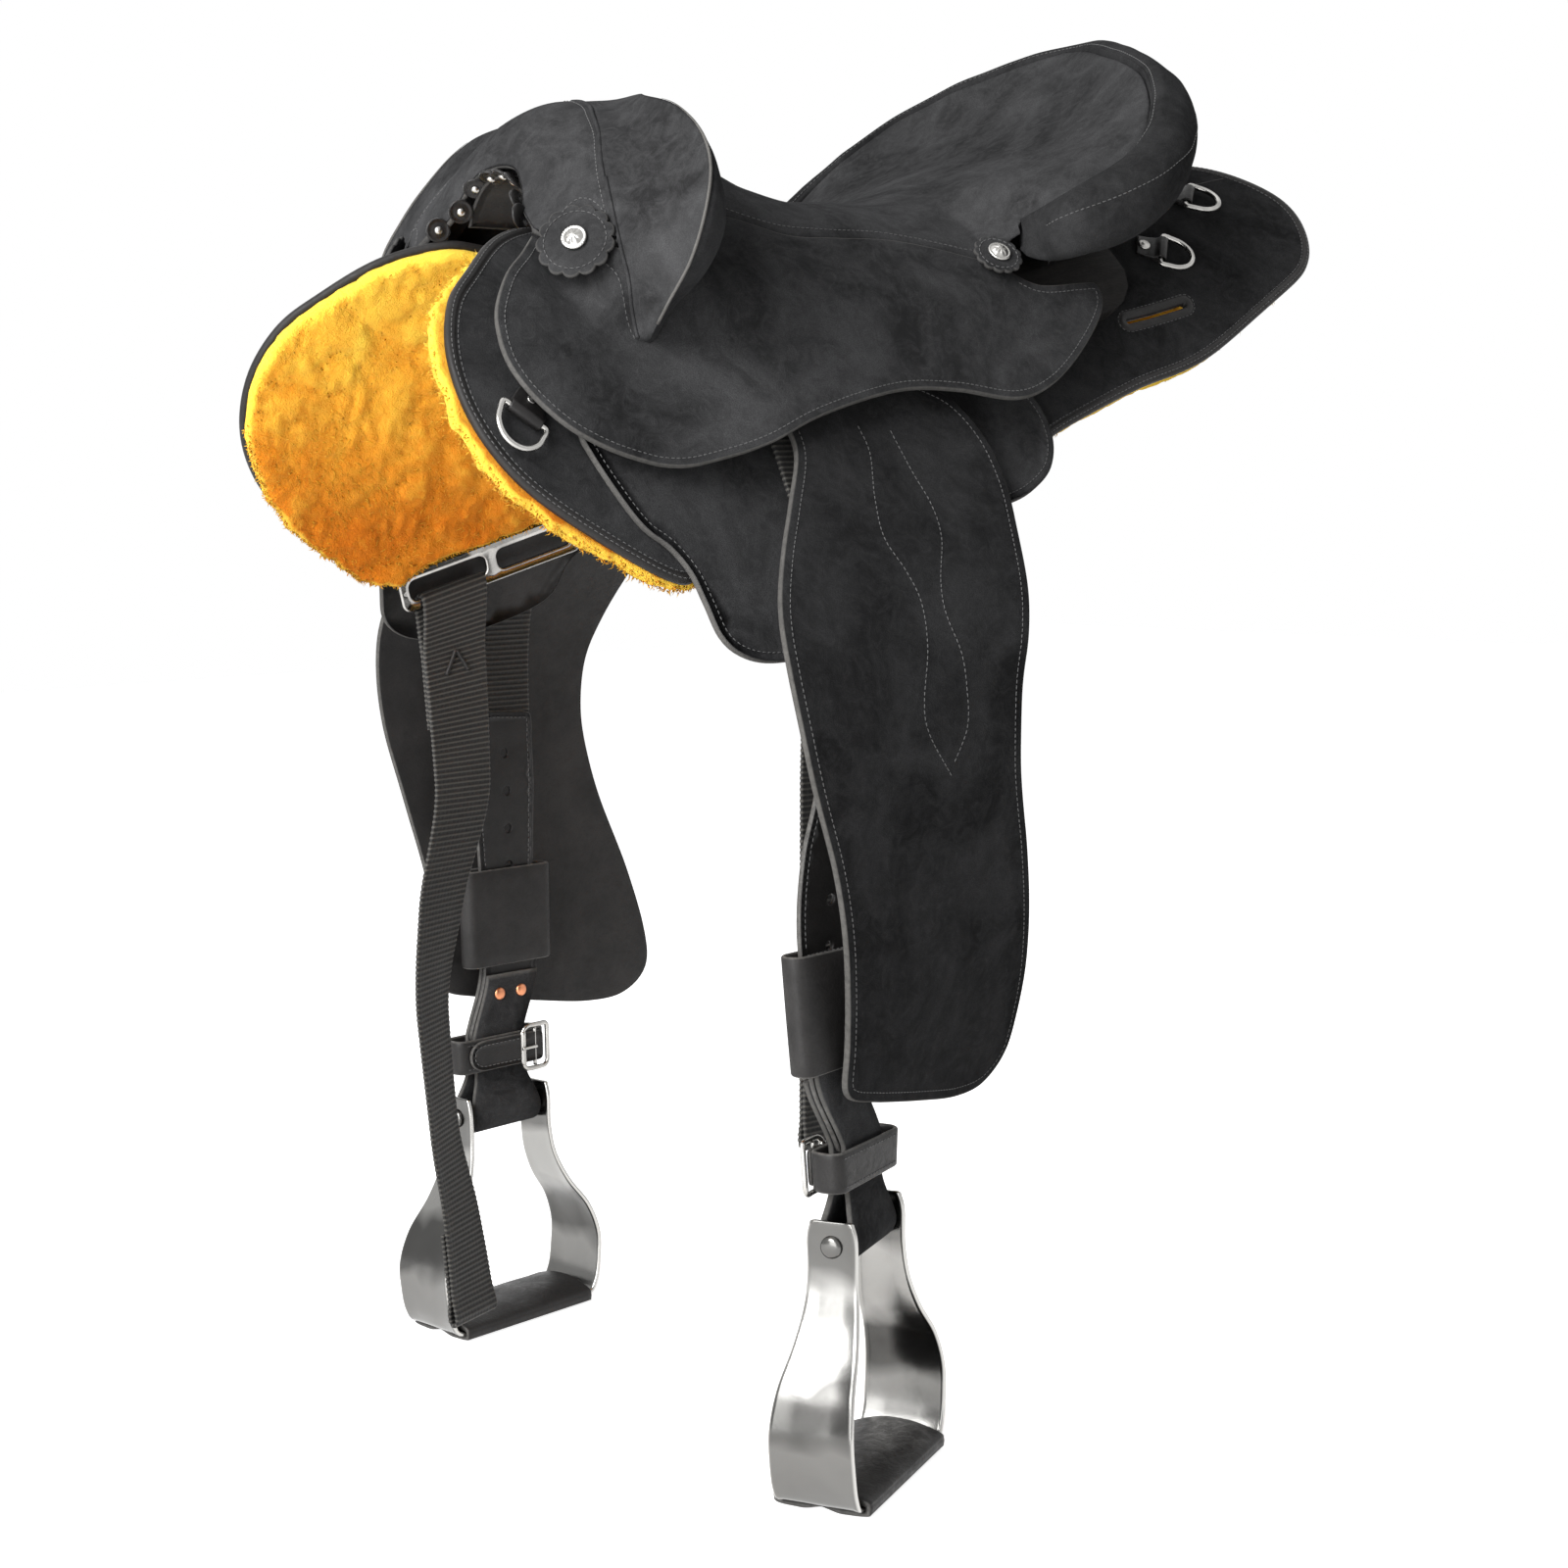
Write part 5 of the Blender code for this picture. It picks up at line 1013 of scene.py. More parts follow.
def skirt_line(spacing, fleece=False):
    front = [(-0.205, CHANNEL_HALF), (-0.221, 0.045), (-0.254, 0.068), (-0.284, 0.101), (-0.304, 0.126),
             (-0.316, 0.160), (-0.315, 0.195), (-0.302, 0.223), (-0.281, 0.243), (-0.240, 0.266),
             (-0.212, 0.277)]
    if fleece:
        middle, drop = PLATE_CENTRE
        fall = math.tan(math.radians(PLATE_TILT))
        edge = drop - (PLATE_SLOT[1] / 2 + PLATE_BAR) / math.cos(math.radians(PLATE_TILT)) - FLEECE_SHOW
        notch = [(x, edge - (x - middle) * fall) for x in (NOTCH_FRONT, middle, -0.075)] + [(-0.045, 0.218)]
    else:
        notch = [(NOTCH_FRONT - 0.004, NOTCH_TOP + 0.022), (NOTCH_FRONT + 0.010, NOTCH_TOP),
                 (-0.045, NOTCH_TOP)]
    rear = [(0.020, 0.220), (0.055, 0.214), (0.103, 0.193), (0.176, 0.182), (0.247, 0.181), (0.326, 0.161),
            (0.361, 0.146), (0.378, 0.120), (0.380, 0.089), (0.362, 0.052), (0.339, 0.016), (0.328, 0.003)]
    centre = [(0.322, 0.0015), (0.230, 0.0015), (0.196, 0.010), (0.165, 0.032), (0.130, CHANNEL_HALF)]
    return softened(closed_line([front + [(-0.198, 0.275)], notch, rear, centre], spacing), 4)


def slot_line(grow=0.0):
    size = (SLOT_SIZE[0] + 2 * grow, SLOT_SIZE[1] + 2 * grow)
    return rounded_box(SLOT_CENTRE, size, size[1] / 2 - 0.0002, SLOT_TILT, 6, 0.0035)


def skirt_place(side):
    return lambda x, v, h: form(x, v, -SKIRT_LEATHER * (1 - h), side)


def panel_line(spacing):
    top = [(-0.250, 0.196), (-0.240, 0.168), (-0.218, 0.152), (-0.180, 0.147), (0.040, 0.147), (0.080, 0.152),
           (0.094, 0.172)]
    bottom = [(0.095, 0.196), (0.085, 0.215), (0.066, 0.226), (0.043, 0.233), (0.000, 0.243), (-0.040, 0.252),
              (-0.060, 0.268), (-0.068, 0.290), (-0.087, 0.303), (-0.125, 0.315), (-0.162, 0.321),
              (-0.183, 0.318), (-0.195, 0.308), (-0.200, 0.289), (-0.204, 0.273), (-0.213, 0.260),
              (-0.226, 0.251), (-0.236, 0.236), (-0.247, 0.212)]
    return np.array(smooth_run(top + bottom, spacing, closed=True))


def panel_place(side):
    return lambda x, v, h: form(x, v, LAYER_GAP + PANEL_LEATHER * h, side)


def plate_place(side):
    """Map of the rigging plate: p along its bars, q down across them, its lower bar pitched inward."""
    base, along, down, outward = form_frame(*PLATE_CENTRE, -PLATE_TILT, side, 0.0)
    pitch = math.radians(PLATE_PITCH)
    across = down * math.cos(pitch) - outward * math.sin(pitch)
    face = outward * math.cos(pitch) + down * math.sin(pitch)
    top = PLATE_SLOT[1] / 2 + PLATE_BAR
    edge = base - down * top - outward * (PLATE_STEEL + PLATE_SINK)

    def place(p, q, h):
        p, q, h = (np.asarray(k, float)[..., None] for k in np.broadcast_arrays(p, q, h))
        return edge + along * p + across * (q + top) + face * PLATE_STEEL * h

    return place


POMMEL_ROWS = np.array((
    ((-0.2110, 0.000, 0.0665), (-0.2030, 0.000, 0.0840), (-0.1900, 0.000, 0.0980), (-0.1720, 0.000, 0.1055),
     (-0.1470, 0.000, 0.1070)),
    ((-0.2125, 0.020, 0.0630), (-0.2050, 0.024, 0.0790), (-0.1930, 0.028, 0.0920), (-0.1770, 0.030, 0.0985),
     (-0.1560, 0.030, 0.1015)),
    ((-0.2160, 0.032, 0.0510), (-0.2090, 0.042, 0.0660), (-0.2000, 0.050, 0.0770), (-0.1890, 0.055, 0.0840),
     (-0.1750, 0.058, 0.0880)),
    ((-0.2205, 0.040, 0.0390), (-0.2150, 0.053, 0.0480), (-0.2090, 0.065, 0.0560), (-0.2020, 0.075, 0.0625),
     (-0.1930, 0.083, 0.0670)),
    ((-0.2260, 0.051, 0.0340), (-0.2220, 0.064, 0.0345), (-0.2175, 0.078, 0.0370), (-0.2125, 0.091, 0.0405),
     (-0.2045, 0.103, 0.0440)),
    ((-0.2290, 0.0635, 0.0262), (-0.2268, 0.0740, 0.0198), (-0.2222, 0.0872, 0.0152),
     (-0.2170, 0.1018, 0.0146), (-0.2096, 0.1164, 0.0150)),
))
LAST_ROW = len(POMMEL_ROWS) - 1
pommel_fold = spline((0.0, 1.5, 2.0, 2.5, 3.5, 4.0, 4.5, 5.0),
                     (3.50, 3.50, 3.60, 3.74, 3.80, 3.87, 3.94, 3.96))


def net_point(net, a, b):
    """Points of the smooth surface through a net of points at rows a and columns b."""
    rows = np.concatenate([2 * net[:1] - net[1:2], net, 2 * net[-1:] - net[-2:-1]])
    rows = np.concatenate([2 * rows[:, :1] - rows[:, 1:2], rows, 2 * rows[:, -1:] - rows[:, -2:-1]], 1)
    i = np.clip(np.floor(a).astype(int), 0, len(net) - 2)
    j = np.clip(np.floor(b).astype(int), 0, net.shape[1] - 2)
    s = (a - i)[..., None]
    t = (b - j)[..., None]
    columns = [blend(*(rows[i + p, j + q] for p in range(4)), s) for q in range(4)]
    return blend(*columns, t)


def pommel_point(row, column, depth):
    """Points of the pommel's skin, depth under its outer face; negative rows are the near side."""
    net = np.concatenate([POMMEL_ROWS[:0:-1] * (1, -1, 1), POMMEL_ROWS])
    row, column, depth = (np.array(q, float) for q in np.broadcast_arrays(row, column, depth))
    a = row + LAST_ROW
    here = net_point(net, a, column)
    across = net_point(net, a + 0.1, column) - net_point(net, a - 0.1, column)
    along = net_point(net, a, column + 0.1) - net_point(net, a, column - 0.1)
    return here - unit(np.cross(along, across)) * depth[..., None]


def pommel_place(row, column, h):
    return pommel_point(row, column, POMMEL_LEATHER * (1 - h))


def gullet_place(row, x, h):
    arch = np.array([(-y, z) for y, z in reversed(GULLET_ARCH[1:])] + list(GULLET_ARCH))
    padded = np.concatenate([2 * arch[:1] - arch[1:2], arch, 2 * arch[-1:] - arch[-2:-1]])
    a = row + len(GULLET_ARCH) - 1
    k = np.clip(np.floor(a).astype(int), 0, len(arch) - 2)
    t = (a - k)[:, None]
    yz = blend(padded[k], padded[k + 1], padded[k + 2], padded[k + 3], t)
    inward = unit(stack(0 * x, -yz[:, 0], GULLET_CENTRE - yz[:, 1]))
    return stack(x, yz[:, 0], yz[:, 1]) + inward * LINING * (1 - h)[:, None]


jockey_base = spline((-0.29, -0.25, -0.23, -0.215, -0.20, -0.16, -0.12, -0.07, 0.08, 0.14),
                     (0.0125, 0.0140, 0.0140, 0.0140, 0.0160, 0.0225, 0.0310, 0.0345, 0.0350, 0.0370))
jockey_swell = spline((-0.29, -0.25, -0.233, -0.226, -0.222, -0.217, -0.2095, -0.19, -0.16, -0.12, -0.07,
                       0.0, 0.08, 0.14),
                      (-0.0005, -0.0025, -0.0050, -0.0040, 0.0030, 0.0150, 0.0285, 0.0270, 0.0190, 0.0065,
                       0.0030, 0.0050, 0.0085, 0.0040))


def jockey_point(x, v, side, above=0.0):
    x, v = (np.asarray(q, float) for q in np.broadcast_arrays(x, v))
    t = np.clip((v - 0.100) / 0.045, 0, 1)
    return form(x, v, jockey_base(x) + jockey_swell(x) * (1 - t * t * (3 - 2 * t)) + above, side)


def jockey_place(side):
    return lambda x, v, h: jockey_point(x, v, side, -JOCKEY_LEATHER * (1 - h))


jockey_lobe = [(-0.233, 0.0705), (-0.249, 0.089), (-0.268, 0.109), (-0.284, 0.134), (-0.289, 0.153),
               (-0.288, 0.170), (-0.279, 0.187), (-0.263, 0.202), (-0.242, 0.211), (-0.219, 0.215),
               (-0.197, 0.216), (-0.172, 0.211), (-0.139, 0.202), (-0.101, 0.188), (-0.040, 0.174),
               (0.005, 0.174), (0.048, 0.180), (0.085, 0.173), (0.120, 0.154), (0.142, 0.136), (0.144, 0.122),
               (0.130, 0.118), (0.098, 0.114), (0.080, 0.104)]
slit_back = [(-0.143, 0.075), (-0.160, 0.093), (-0.174, 0.113), (-0.186, 0.132)]
slit_front = [(-0.1925, 0.1405), (-0.1975, 0.134), (-0.2035, 0.118)]
pommel_lap = [(-0.2095, 0.1035), (-0.2165, 0.0965), (-0.2215, 0.0880), (-0.2255, 0.0775)]


def jockey_seam():
    return [(x, float(seam_down(x)) + SEAM_GAP) for x in (0.070, 0.064, 0.030, 0.000, -0.040, -0.074, -0.114)]


def jockey_line(spacing):
    return closed_line([jockey_lobe, jockey_seam(), slit_back, slit_front, pommel_lap], spacing)


SEAM_END = seam_line[0][-1]
DISH_END = crown_line[0][-1]


def seat_edge(x):
    """Half width and height of the seat's edge at x: the jockey seam, then the cantle's rim."""
    x = np.asarray(x, float)
    front = np.minimum(x, SEAM_END)
    seam = jockey_point(front, seam_down(front), OFF)
    corner = jockey_point(SEAM_END, seam_line[1][-1], OFF)
    stations = (SEAM_END,) + CANTLE_STATIONS + (DISH_END,)
    halves = spline(stations, (corner[1],) + CANTLE_HALVES + (0.0,))
    heights = spline(stations, (corner[2],) + CANTLE_HEIGHTS + (crown_line[1][-1],))
    behind = x > SEAM_END
    return np.where(behind, halves(x), seam[..., 1]), np.where(behind, heights(x), seam[..., 2])


def seat_height(x, y):
    half, edge = seat_edge(x)
    top = crown_height(x)
    t = np.minimum(np.abs(y) / np.maximum(half, 0.004), 1.0)
    return top + (edge - top) * t ** 2.1 - SEAT_EDGE_ROLL * t ** 10


def rim_line(first=SEAT_FRONT):
    stations = (SEAT_FRONT, -0.095, -0.074, -0.040, 0.000, 0.035, 0.064, 0.075)
    side = [(x, float(seat_edge(x)[0])) for x in stations]
    side = [(x, y) for x, y in side + list(zip(CANTLE_STATIONS, CANTLE_HALVES)) if x >= first]
    return [(x, -y) for x, y in side] + [(DISH_END, 0.0)] + side[::-1]


fender_bow = spline((0.13, 0.15, 0.18, 0.25, 0.33, 0.42, 0.50, 0.56, 0.60),
                    (0.0245, 0.0215, 0.0205, 0.0260, 0.0360, 0.0340, 0.0240, 0.0165, 0.0150))
strap_lift = spline((0.080, 0.125, 0.150, 0.180, 0.29, 0.36, 0.42),
                    (0.0195, 0.0190, 0.0128, 0.0120, 0.0120, 0.0055, 0.0))


def fender_line(spacing):
    front = [(-0.020, FENDER_TOP), (-0.010, 0.170), (-0.002, 0.200), (-0.022, 0.237), (-0.041, 0.268),
             (-0.058, 0.300), (-0.063, 0.330), (-0.058, 0.375), (-0.044, 0.430), (-0.034, 0.480),
             (-0.031, 0.530), (-0.031, 0.556)]
    bottom = [(0.000, 0.566), (0.045, 0.575), (0.092, FENDER_BOTTOM), (0.126, 0.582), (0.147, 0.566),
              (0.146, 0.536), (0.134, 0.492), (0.115, 0.440), (0.104, 0.400), (0.101, 0.374), (0.104, 0.345),
              (0.115, 0.320), (0.128, 0.290), (0.139, 0.255), (0.145, 0.225), (0.143, 0.195), (0.127, 0.170),
              (0.095, 0.155), (0.060, FENDER_TOP)]
    return closed_line([front, bottom], spacing)


def fender_place(side):
    return lambda c, v, h: hang(c, v, fender_bow(v) - FENDER_LEATHER * (1 - h), side)


def strap_shift(v, side):
    middle = KEEPER_SHIFT[side]
    return spline((0.10, 0.32, SLEEVE_TOP, SLEEVE_TOP + SLEEVE_DEPTH, HOBBLE_TOP),
                  (STRAP_TOP_SHIFT, STRAP_TOP_SHIFT, middle, middle, 0.0))(v)


def strap_place(side):
    """Map round the stirrup strap: c across it, lift outward, v down it."""
    return lambda c, lift, v: hang(c + strap_shift(v, side), v, lift, side)


def stirrup_axes(side):
    """Bolt's middle and the stirrup's level axes: along the bolt and across the tread."""
    twist = math.radians(STIRRUP_TWIST[side]) * min((BOLT_V - TWIST_START) / TWIST_LENGTH, 1) ** TWIST_EASE
    along = np.array((math.cos(twist), math.sin(twist), 0))
    across = np.array((-math.sin(twist), math.cos(twist), 0)) * side
    return hang(0.0, BOLT_V, 0.0, side), along, across


# Pieces


def both(work):
    for label, side in SIDES.items():
        work(label, side)


def body_name(stem, label):
    return "_".join((stem, label))


def make_skirts():
    line = skirt_line(0.0036)
    binding, proud = 0.0052, 0.0007
    pattern = cut([line, slot_line(-0.0026)], bound_rows(binding, SKIRT_LEATHER, proud), (0.0085, 0.0085))
    row = inset(line, binding + 0.0016)
    edge_row = inset(line, binding * 0.5)
    slot_row = slot_line(0.0042)
    crease = open_line([(0.150, 0.046), (0.200, 0.040), (0.250, 0.043), (0.300, 0.049), (0.350, 0.052)],
                       0.004)

    def side_piece(label, side):
        place = skirt_place(side)
        sew(label + "_skirt_leather", pattern, place, ("skirt_shade_suede", "inner_face", "binding"), "saddle",
            "skirt_" + label)
        rows = [on_face(place, row, closed=True), on_face(place, slot_row, closed=True)]
        stitches(label + "_skirt_stitches", rows, "saddle")
        raised = on_face(lambda x, v, h: form(x, v, proud - SKIRT_LEATHER * (1 - h), side), edge_row,
                         closed=True)
        stitches(label + "_binding_stitches", [raised], "saddle", 0.35)
        path = place(crease[:, 0], crease[:, 1], 1.0)
        wire(label + "_skirt_crease", path, 0.0005, "binding", "saddle", around=6)

    both(side_piece)


def wool_line(line, side):
    """The wool's outline: the near side's stands out past its front edge, both hang at the front corner."""
    after = np.roll(line, -1, 0) - np.roll(line, 1, 0)
    outward = unit(stack(after[:, 1], -after[:, 0])) * winding(line)
    x, v = line[:, 0], line[:, 1]
    ahead = np.clip((-0.215 - x) / 0.05, 0, 1) * np.clip((v - 0.075) / 0.05, 0, 1) * (side < 0)
    below = np.clip((v - 0.225) / 0.025, 0, 1) * np.clip((-0.17 - x) / 0.02, 0, 1)
    below = below * (0.4 if side < 0 else 1.0)
    tufts = np.array([noise.noise((a * 110, b * 110, 5.0)) + 0.6 * noise.noise((a * 260, b * 260, 9.0))
                      for a, b in line.tolist()])
    reach = np.maximum(ahead * 0.0068, below * 0.0070)
    return line + outward * (reach * (0.85 + 0.35 * tufts) + 0.0009 * tufts)[:, None]


def make_petals():
    """Glossy round petals nailed inside both legs of the arch."""
    petal = [(PETAL_RADIUS * share, height) for share, height in
             ((0.90, -0.0008), (1.0, 0.0), (0.97, 0.0008), (0.88, 0.0011), (0.80, 0.0007), (0.55, 0.0010),
              (0.25, 0.0012), (0.05, 0.0012))]
    dome = [(0.0023, 0.0008), (0.0025, 0.0014), (0.0021, 0.0021), (0.0012, 0.0026), (0.0002, 0.0028)]
    for label, side in SIDES.items():
        for k, row in enumerate(PETAL_ROWS):
            base = pommel_point(side * row, 0.0, 0.0)
            inward = unit(np.array((0, -base[1], GULLET_CENTRE - base[2])))
            face = unit(inward + (-0.40, 0, 0))
            base = base + inward * 0.0046 + (0.0005, 0, 0)
            name = f"{label}_arch_petal_{k + 1}"
            turned(name, petal, base, face, "glossy", "saddle", 30)
            turned(name + "_nail", dome, base, face, "concho", "saddle", 20)


def make_fleece(sizes):
    top = -SKIRT_LEATHER - 0.0002
    deep = FLEECE_DEPTH - 0.0030
    rows = [(0.0035, 1.0, 0.8), (0.0012, 0.95, 0.9), (0.0, 0.70, 1.0), (-0.0004, 0.42, 1.0),
            (0.0010, 0.16, 0.9), (0.0036, 0.0, 0.8)]
    rng = np.random.default_rng(WOOL_SEED)

    def lump_at(a, b, side):
        return (abs(noise.noise((a * 38, b * 38, 3.0 * side))) * 1.10
                + abs(noise.noise((a * 95, b * 95, 7.0))) * 0.55
                + (0.5 + 0.5 * noise.noise((a * 330, b * 330, 11.0))) * 0.40)

    def side_piece(label, side):
        line = wool_line(inset(skirt_line(0.0030, fleece=True), 0.0012), side)
        at, faces, _ = cut([line, slot_line(-0.0022)], rows, (0.0027, 0.0027))
        lump = np.clip((np.array([lump_at(a, b, side) for a, b in at[:, :2].tolist()]) - 0.10) / 0.75, 0, 1)
        roots = scatter(inset(line, 0.0010), sizes.wool_spacing, 0.48, rng)
        roots = roots[~within(roots, slot_line(0.0020))]
        fringe, tangent, _ = spread(line, sizes.wool_spacing * 0.07, closed=True)
        hanging = np.clip((fringe[:, 1] - 0.185) / 0.03, 0, 1)
        if side < 0:
            hanging = np.maximum(hanging, 0.7 * (fringe[:, 0] < -0.20))
        kept = rng.uniform(0, 1, len(fringe)) < hanging
        fringe = (fringe + rng.normal(0, 0.0006, fringe.shape))[kept]
        outward = (stack(tangent[:, 1], -tangent[:, 0]) * winding(line))[kept]

        def place(x, v, h):
            return form(x, v, top - deep * (1 - h), side)

        x, v, h, edge = at.T
        swell = (0.0038 * lump - 0.0012) * np.where(h < 0.5, 1.0 - h, 0.0)
        points = form(x, v, top - deep * (1 - h) - swell, side)
        # Colour mask for the wool finish: 0.8 to 1 on the rim rows, painted pale as highlight, and 0.15 to
        # 0.7 with the lumps elsewhere, low between them for painted shade.
        make(label + "_fleece_hide", points, faces, "wool", "saddle", "fleece_" + label,
             edge=np.where(edge > 0, edge, 0.15 + 0.55 * lump))
        locks(label + "_fleece_wool", roots, fringe, outward, place, sizes.wool_length, rng)

    both(side_piece)


def locks(name, roots, fringe, fringe_out, place, length, rng):
    """Fine wisps of wool: over the inner face, and round the rim pointing out."""
    x, v = roots.T
    zero = np.zeros(len(roots))
    base = place(x, v, zero + 0.05)
    inward = unit(base - place(x, v, zero + 1.0))
    combing = stack(np.sin(x * 41 + v * 23), np.cos(v * 37 - x * 19))
    wander = combing * 0.9 + rng.normal(0, 0.7, (len(roots), 2))
    tip = place(x + wander[:, 0] * 0.002, v + wander[:, 1] * 0.002, zero + 0.05)
    lean = (tip - base) / 0.002
    size = length * rng.uniform(0.40, 0.70, len(roots))
    x, v = fringe.T
    rim_h = rng.uniform(0.0, 0.85, len(fringe))
    rim_base = place(x, v, rim_h)
    outward = unit(place(x + fringe_out[:, 0] * 0.002, v + fringe_out[:, 1] * 0.002, rim_h) - rim_base)
    rim_in = unit(rim_base - place(x, v, rim_h + 0.5))
    rim_lean = rim_in * rng.uniform(-0.2, 1.0, (len(fringe), 1)) + rng.normal(0, 0.55, (len(fringe), 3))
    rim_size = length * rng.uniform(0.22, 0.50, len(fringe))
    base = np.concatenate([base, rim_base - outward * 0.0008])
    up = np.concatenate([inward * 0.7, outward])
    lean = np.concatenate([lean, rim_lean])
    size = np.concatenate([size, rim_size])[:, None]
    curl = unit(np.cross(up, lean) + rng.normal(0, 0.4, base.shape))
    thick = (WISP_THICKNESS * rng.uniform(0.7, 1.3, len(base)))[:, None, None]
    rings, tips = [], []
    for t, width in ((0.0, 1.0), (0.55, 0.85), (1.0, 0.0)):
        centre = (base + up * size * (0.80 * t - 0.30 * t * t) + lean * size * 0.60 * t * t
                  + curl * size * 0.20 * math.sin(3.6 * t))[:, None]
        if width:
            first = unit(np.cross(up, lean + curl * 0.3))
            centre = centre + hoops(first, unit(np.cross(up + lean * t, first)), 3) * thick * width
        rings.append(centre)
        # Colour mask rising towards each wisp's tip: paler tips, partly the wool's own colour and partly
        # painted highlight.
        tips.append(np.full(centre.shape[:2], 0.62 + 0.25 * t))
    block = np.concatenate(rings, 1)
    wisp = np.array([(2, 1, 0), (0, 1, 4), (0, 4, 3), (1, 2, 5), (1, 5, 4), (2, 0, 3), (2, 3, 5), (3, 4, 6),
                     (4, 5, 6), (5, 3, 6)])
    faces = (wisp[None] + block.shape[1] * np.arange(len(base))[:, None, None]).reshape(-1, 3).tolist()
    make(name, block.reshape(-1, 3), faces, "wool", "saddle", edge=np.concatenate(tips, 1).ravel())


def scatter(line, step, loose, rng):
    """Scattered places inside an outline, about a step apart."""
    low, high = line.min(0), line.max(0)
    ga, gb = np.meshgrid(np.arange(low[0], high[0], step), np.arange(low[1], high[1], step))
    ga = ga + 0.5 * step * (np.arange(len(ga)) % 2)[:, None]
    spots = np.stack([ga.ravel(), gb.ravel()], 1) + rng.uniform(-loose, loose, (ga.size, 2)) * step
    return spots[within(spots, line)]


def dish(line, spine, rows, shares):
    """Padded piece over rings that run from an outline in to a spine: places (a, b, h) and faces.
    The outline is even about the spine. Rows (inset, h) round its rim, and shares of the way in then
    cover both faces."""
    way = spine - line
    far = np.linalg.norm(way, axis=1, keepdims=True)
    inward = way / far
    top = [(line + inward * d, h) for d, h in rows]
    first, last = rows[0][0], rows[-1][0]
    upper = [(line + inward * (first + (far - first) * s), 1.0) for s in reversed(shares)]
    lower = [(line + inward * (last + (far - last) * s), 0.0) for s in shares]
    rings = upper + top + lower
    n = len(line)
    at = np.concatenate([np.column_stack([p, np.full(n, h)]) for p, h in rings])
    faces = ring_faces(len(rings), n, caps=False)
    far_end = (len(rings) - 1) * n
    for k in range(n // 2 - 1):
        faces.append((k, n - 1 - k, n - 2 - k, k + 1))
        faces.append((far_end + k, far_end + k + 1, far_end + n - 2 - k, far_end + n - 1 - k))
    return at, faces


def seat_place(x, y, h):
    return stack(x, y, seat_height(x, y) - SEAT_PADDING * (1 - h))


def softened_run(line, rounds):
    """An open line eased by neighbours' means, its ends kept."""
    for _ in range(rounds):
        line = np.concatenate([line[:1], line[1:-1] * 0.5 + (line[2:] + line[:-2]) * 0.25, line[-1:]])
    return line


def make_rigging(sizes):
    line = panel_line(0.0035)
    pattern = cut([line], cut_rows(sizes.edge_round), (0.009, 0.009))
    row = inset(line, 0.0052)
    size = (2 * PLATE_SLOT[0] + PLATE_WEB + 2 * PLATE_BAR, PLATE_SLOT[1] + 2 * PLATE_BAR)
    middle = (PLATE_SLOT[0] + PLATE_WEB) / 2
    slots = [rounded_box((sign * middle, 0), PLATE_SLOT, 0.0050, 0, 5, 0.003) for sign in (1, -1)]
    plate_rows = [(0.0012, 1.0, 0.0), (0.0005, 0.94, 0.0), (0.0001, 0.78, 0.0), (0.0, 0.5, 0.0)]
    plate_rows += [(d, 1 - h, e) for d, h, e in reversed(plate_rows[:-1])]
    plate = cut([rounded_box((0, 0), size, PLATE_BAR, 0, 8, 0.003)] + slots, plate_rows, (0.004, 0.004))

    def side_piece(label, side):
        place = panel_place(side)
        sew(label + "_rigging_leather", pattern, place, ("suede", "inner_face"), "saddle",
            "rigging_panel_" + label)
        stitches(label + "_rigging_stitches", [on_face(place, row, closed=True)], "saddle")
        sew(label + "_rigging_steel", plate, plate_place(side), "steel", "saddle", "rigging_plate_" + label)

    both(side_piece)


def make_jockeys(sizes):
    pattern = cut([jockey_line(0.0034)], cut_rows(sizes.edge_round), (0.0070, 0.0070))
    whole = jockey_line(0.003)
    lobe_row = inset(whole, 0.0046)[2:len(open_line(jockey_lobe, 0.003)) - 2]
    start, end = (((whole - corner) ** 2).sum(1).argmin() for corner in (slit_front[0], pommel_lap[-1]))
    front_row = inset(whole, 0.0066)[start + 2:end]

    def side_piece(label, side):
        place = jockey_place(side)
        sew(label + "_jockey_leather", pattern, place, ("suede", "inner_face"), "saddle", "jockey_" + label)
        stitches(label + "_jockey_stitches", [on_face(place, lobe_row), on_face(place, front_row)], "saddle")

    both(side_piece)


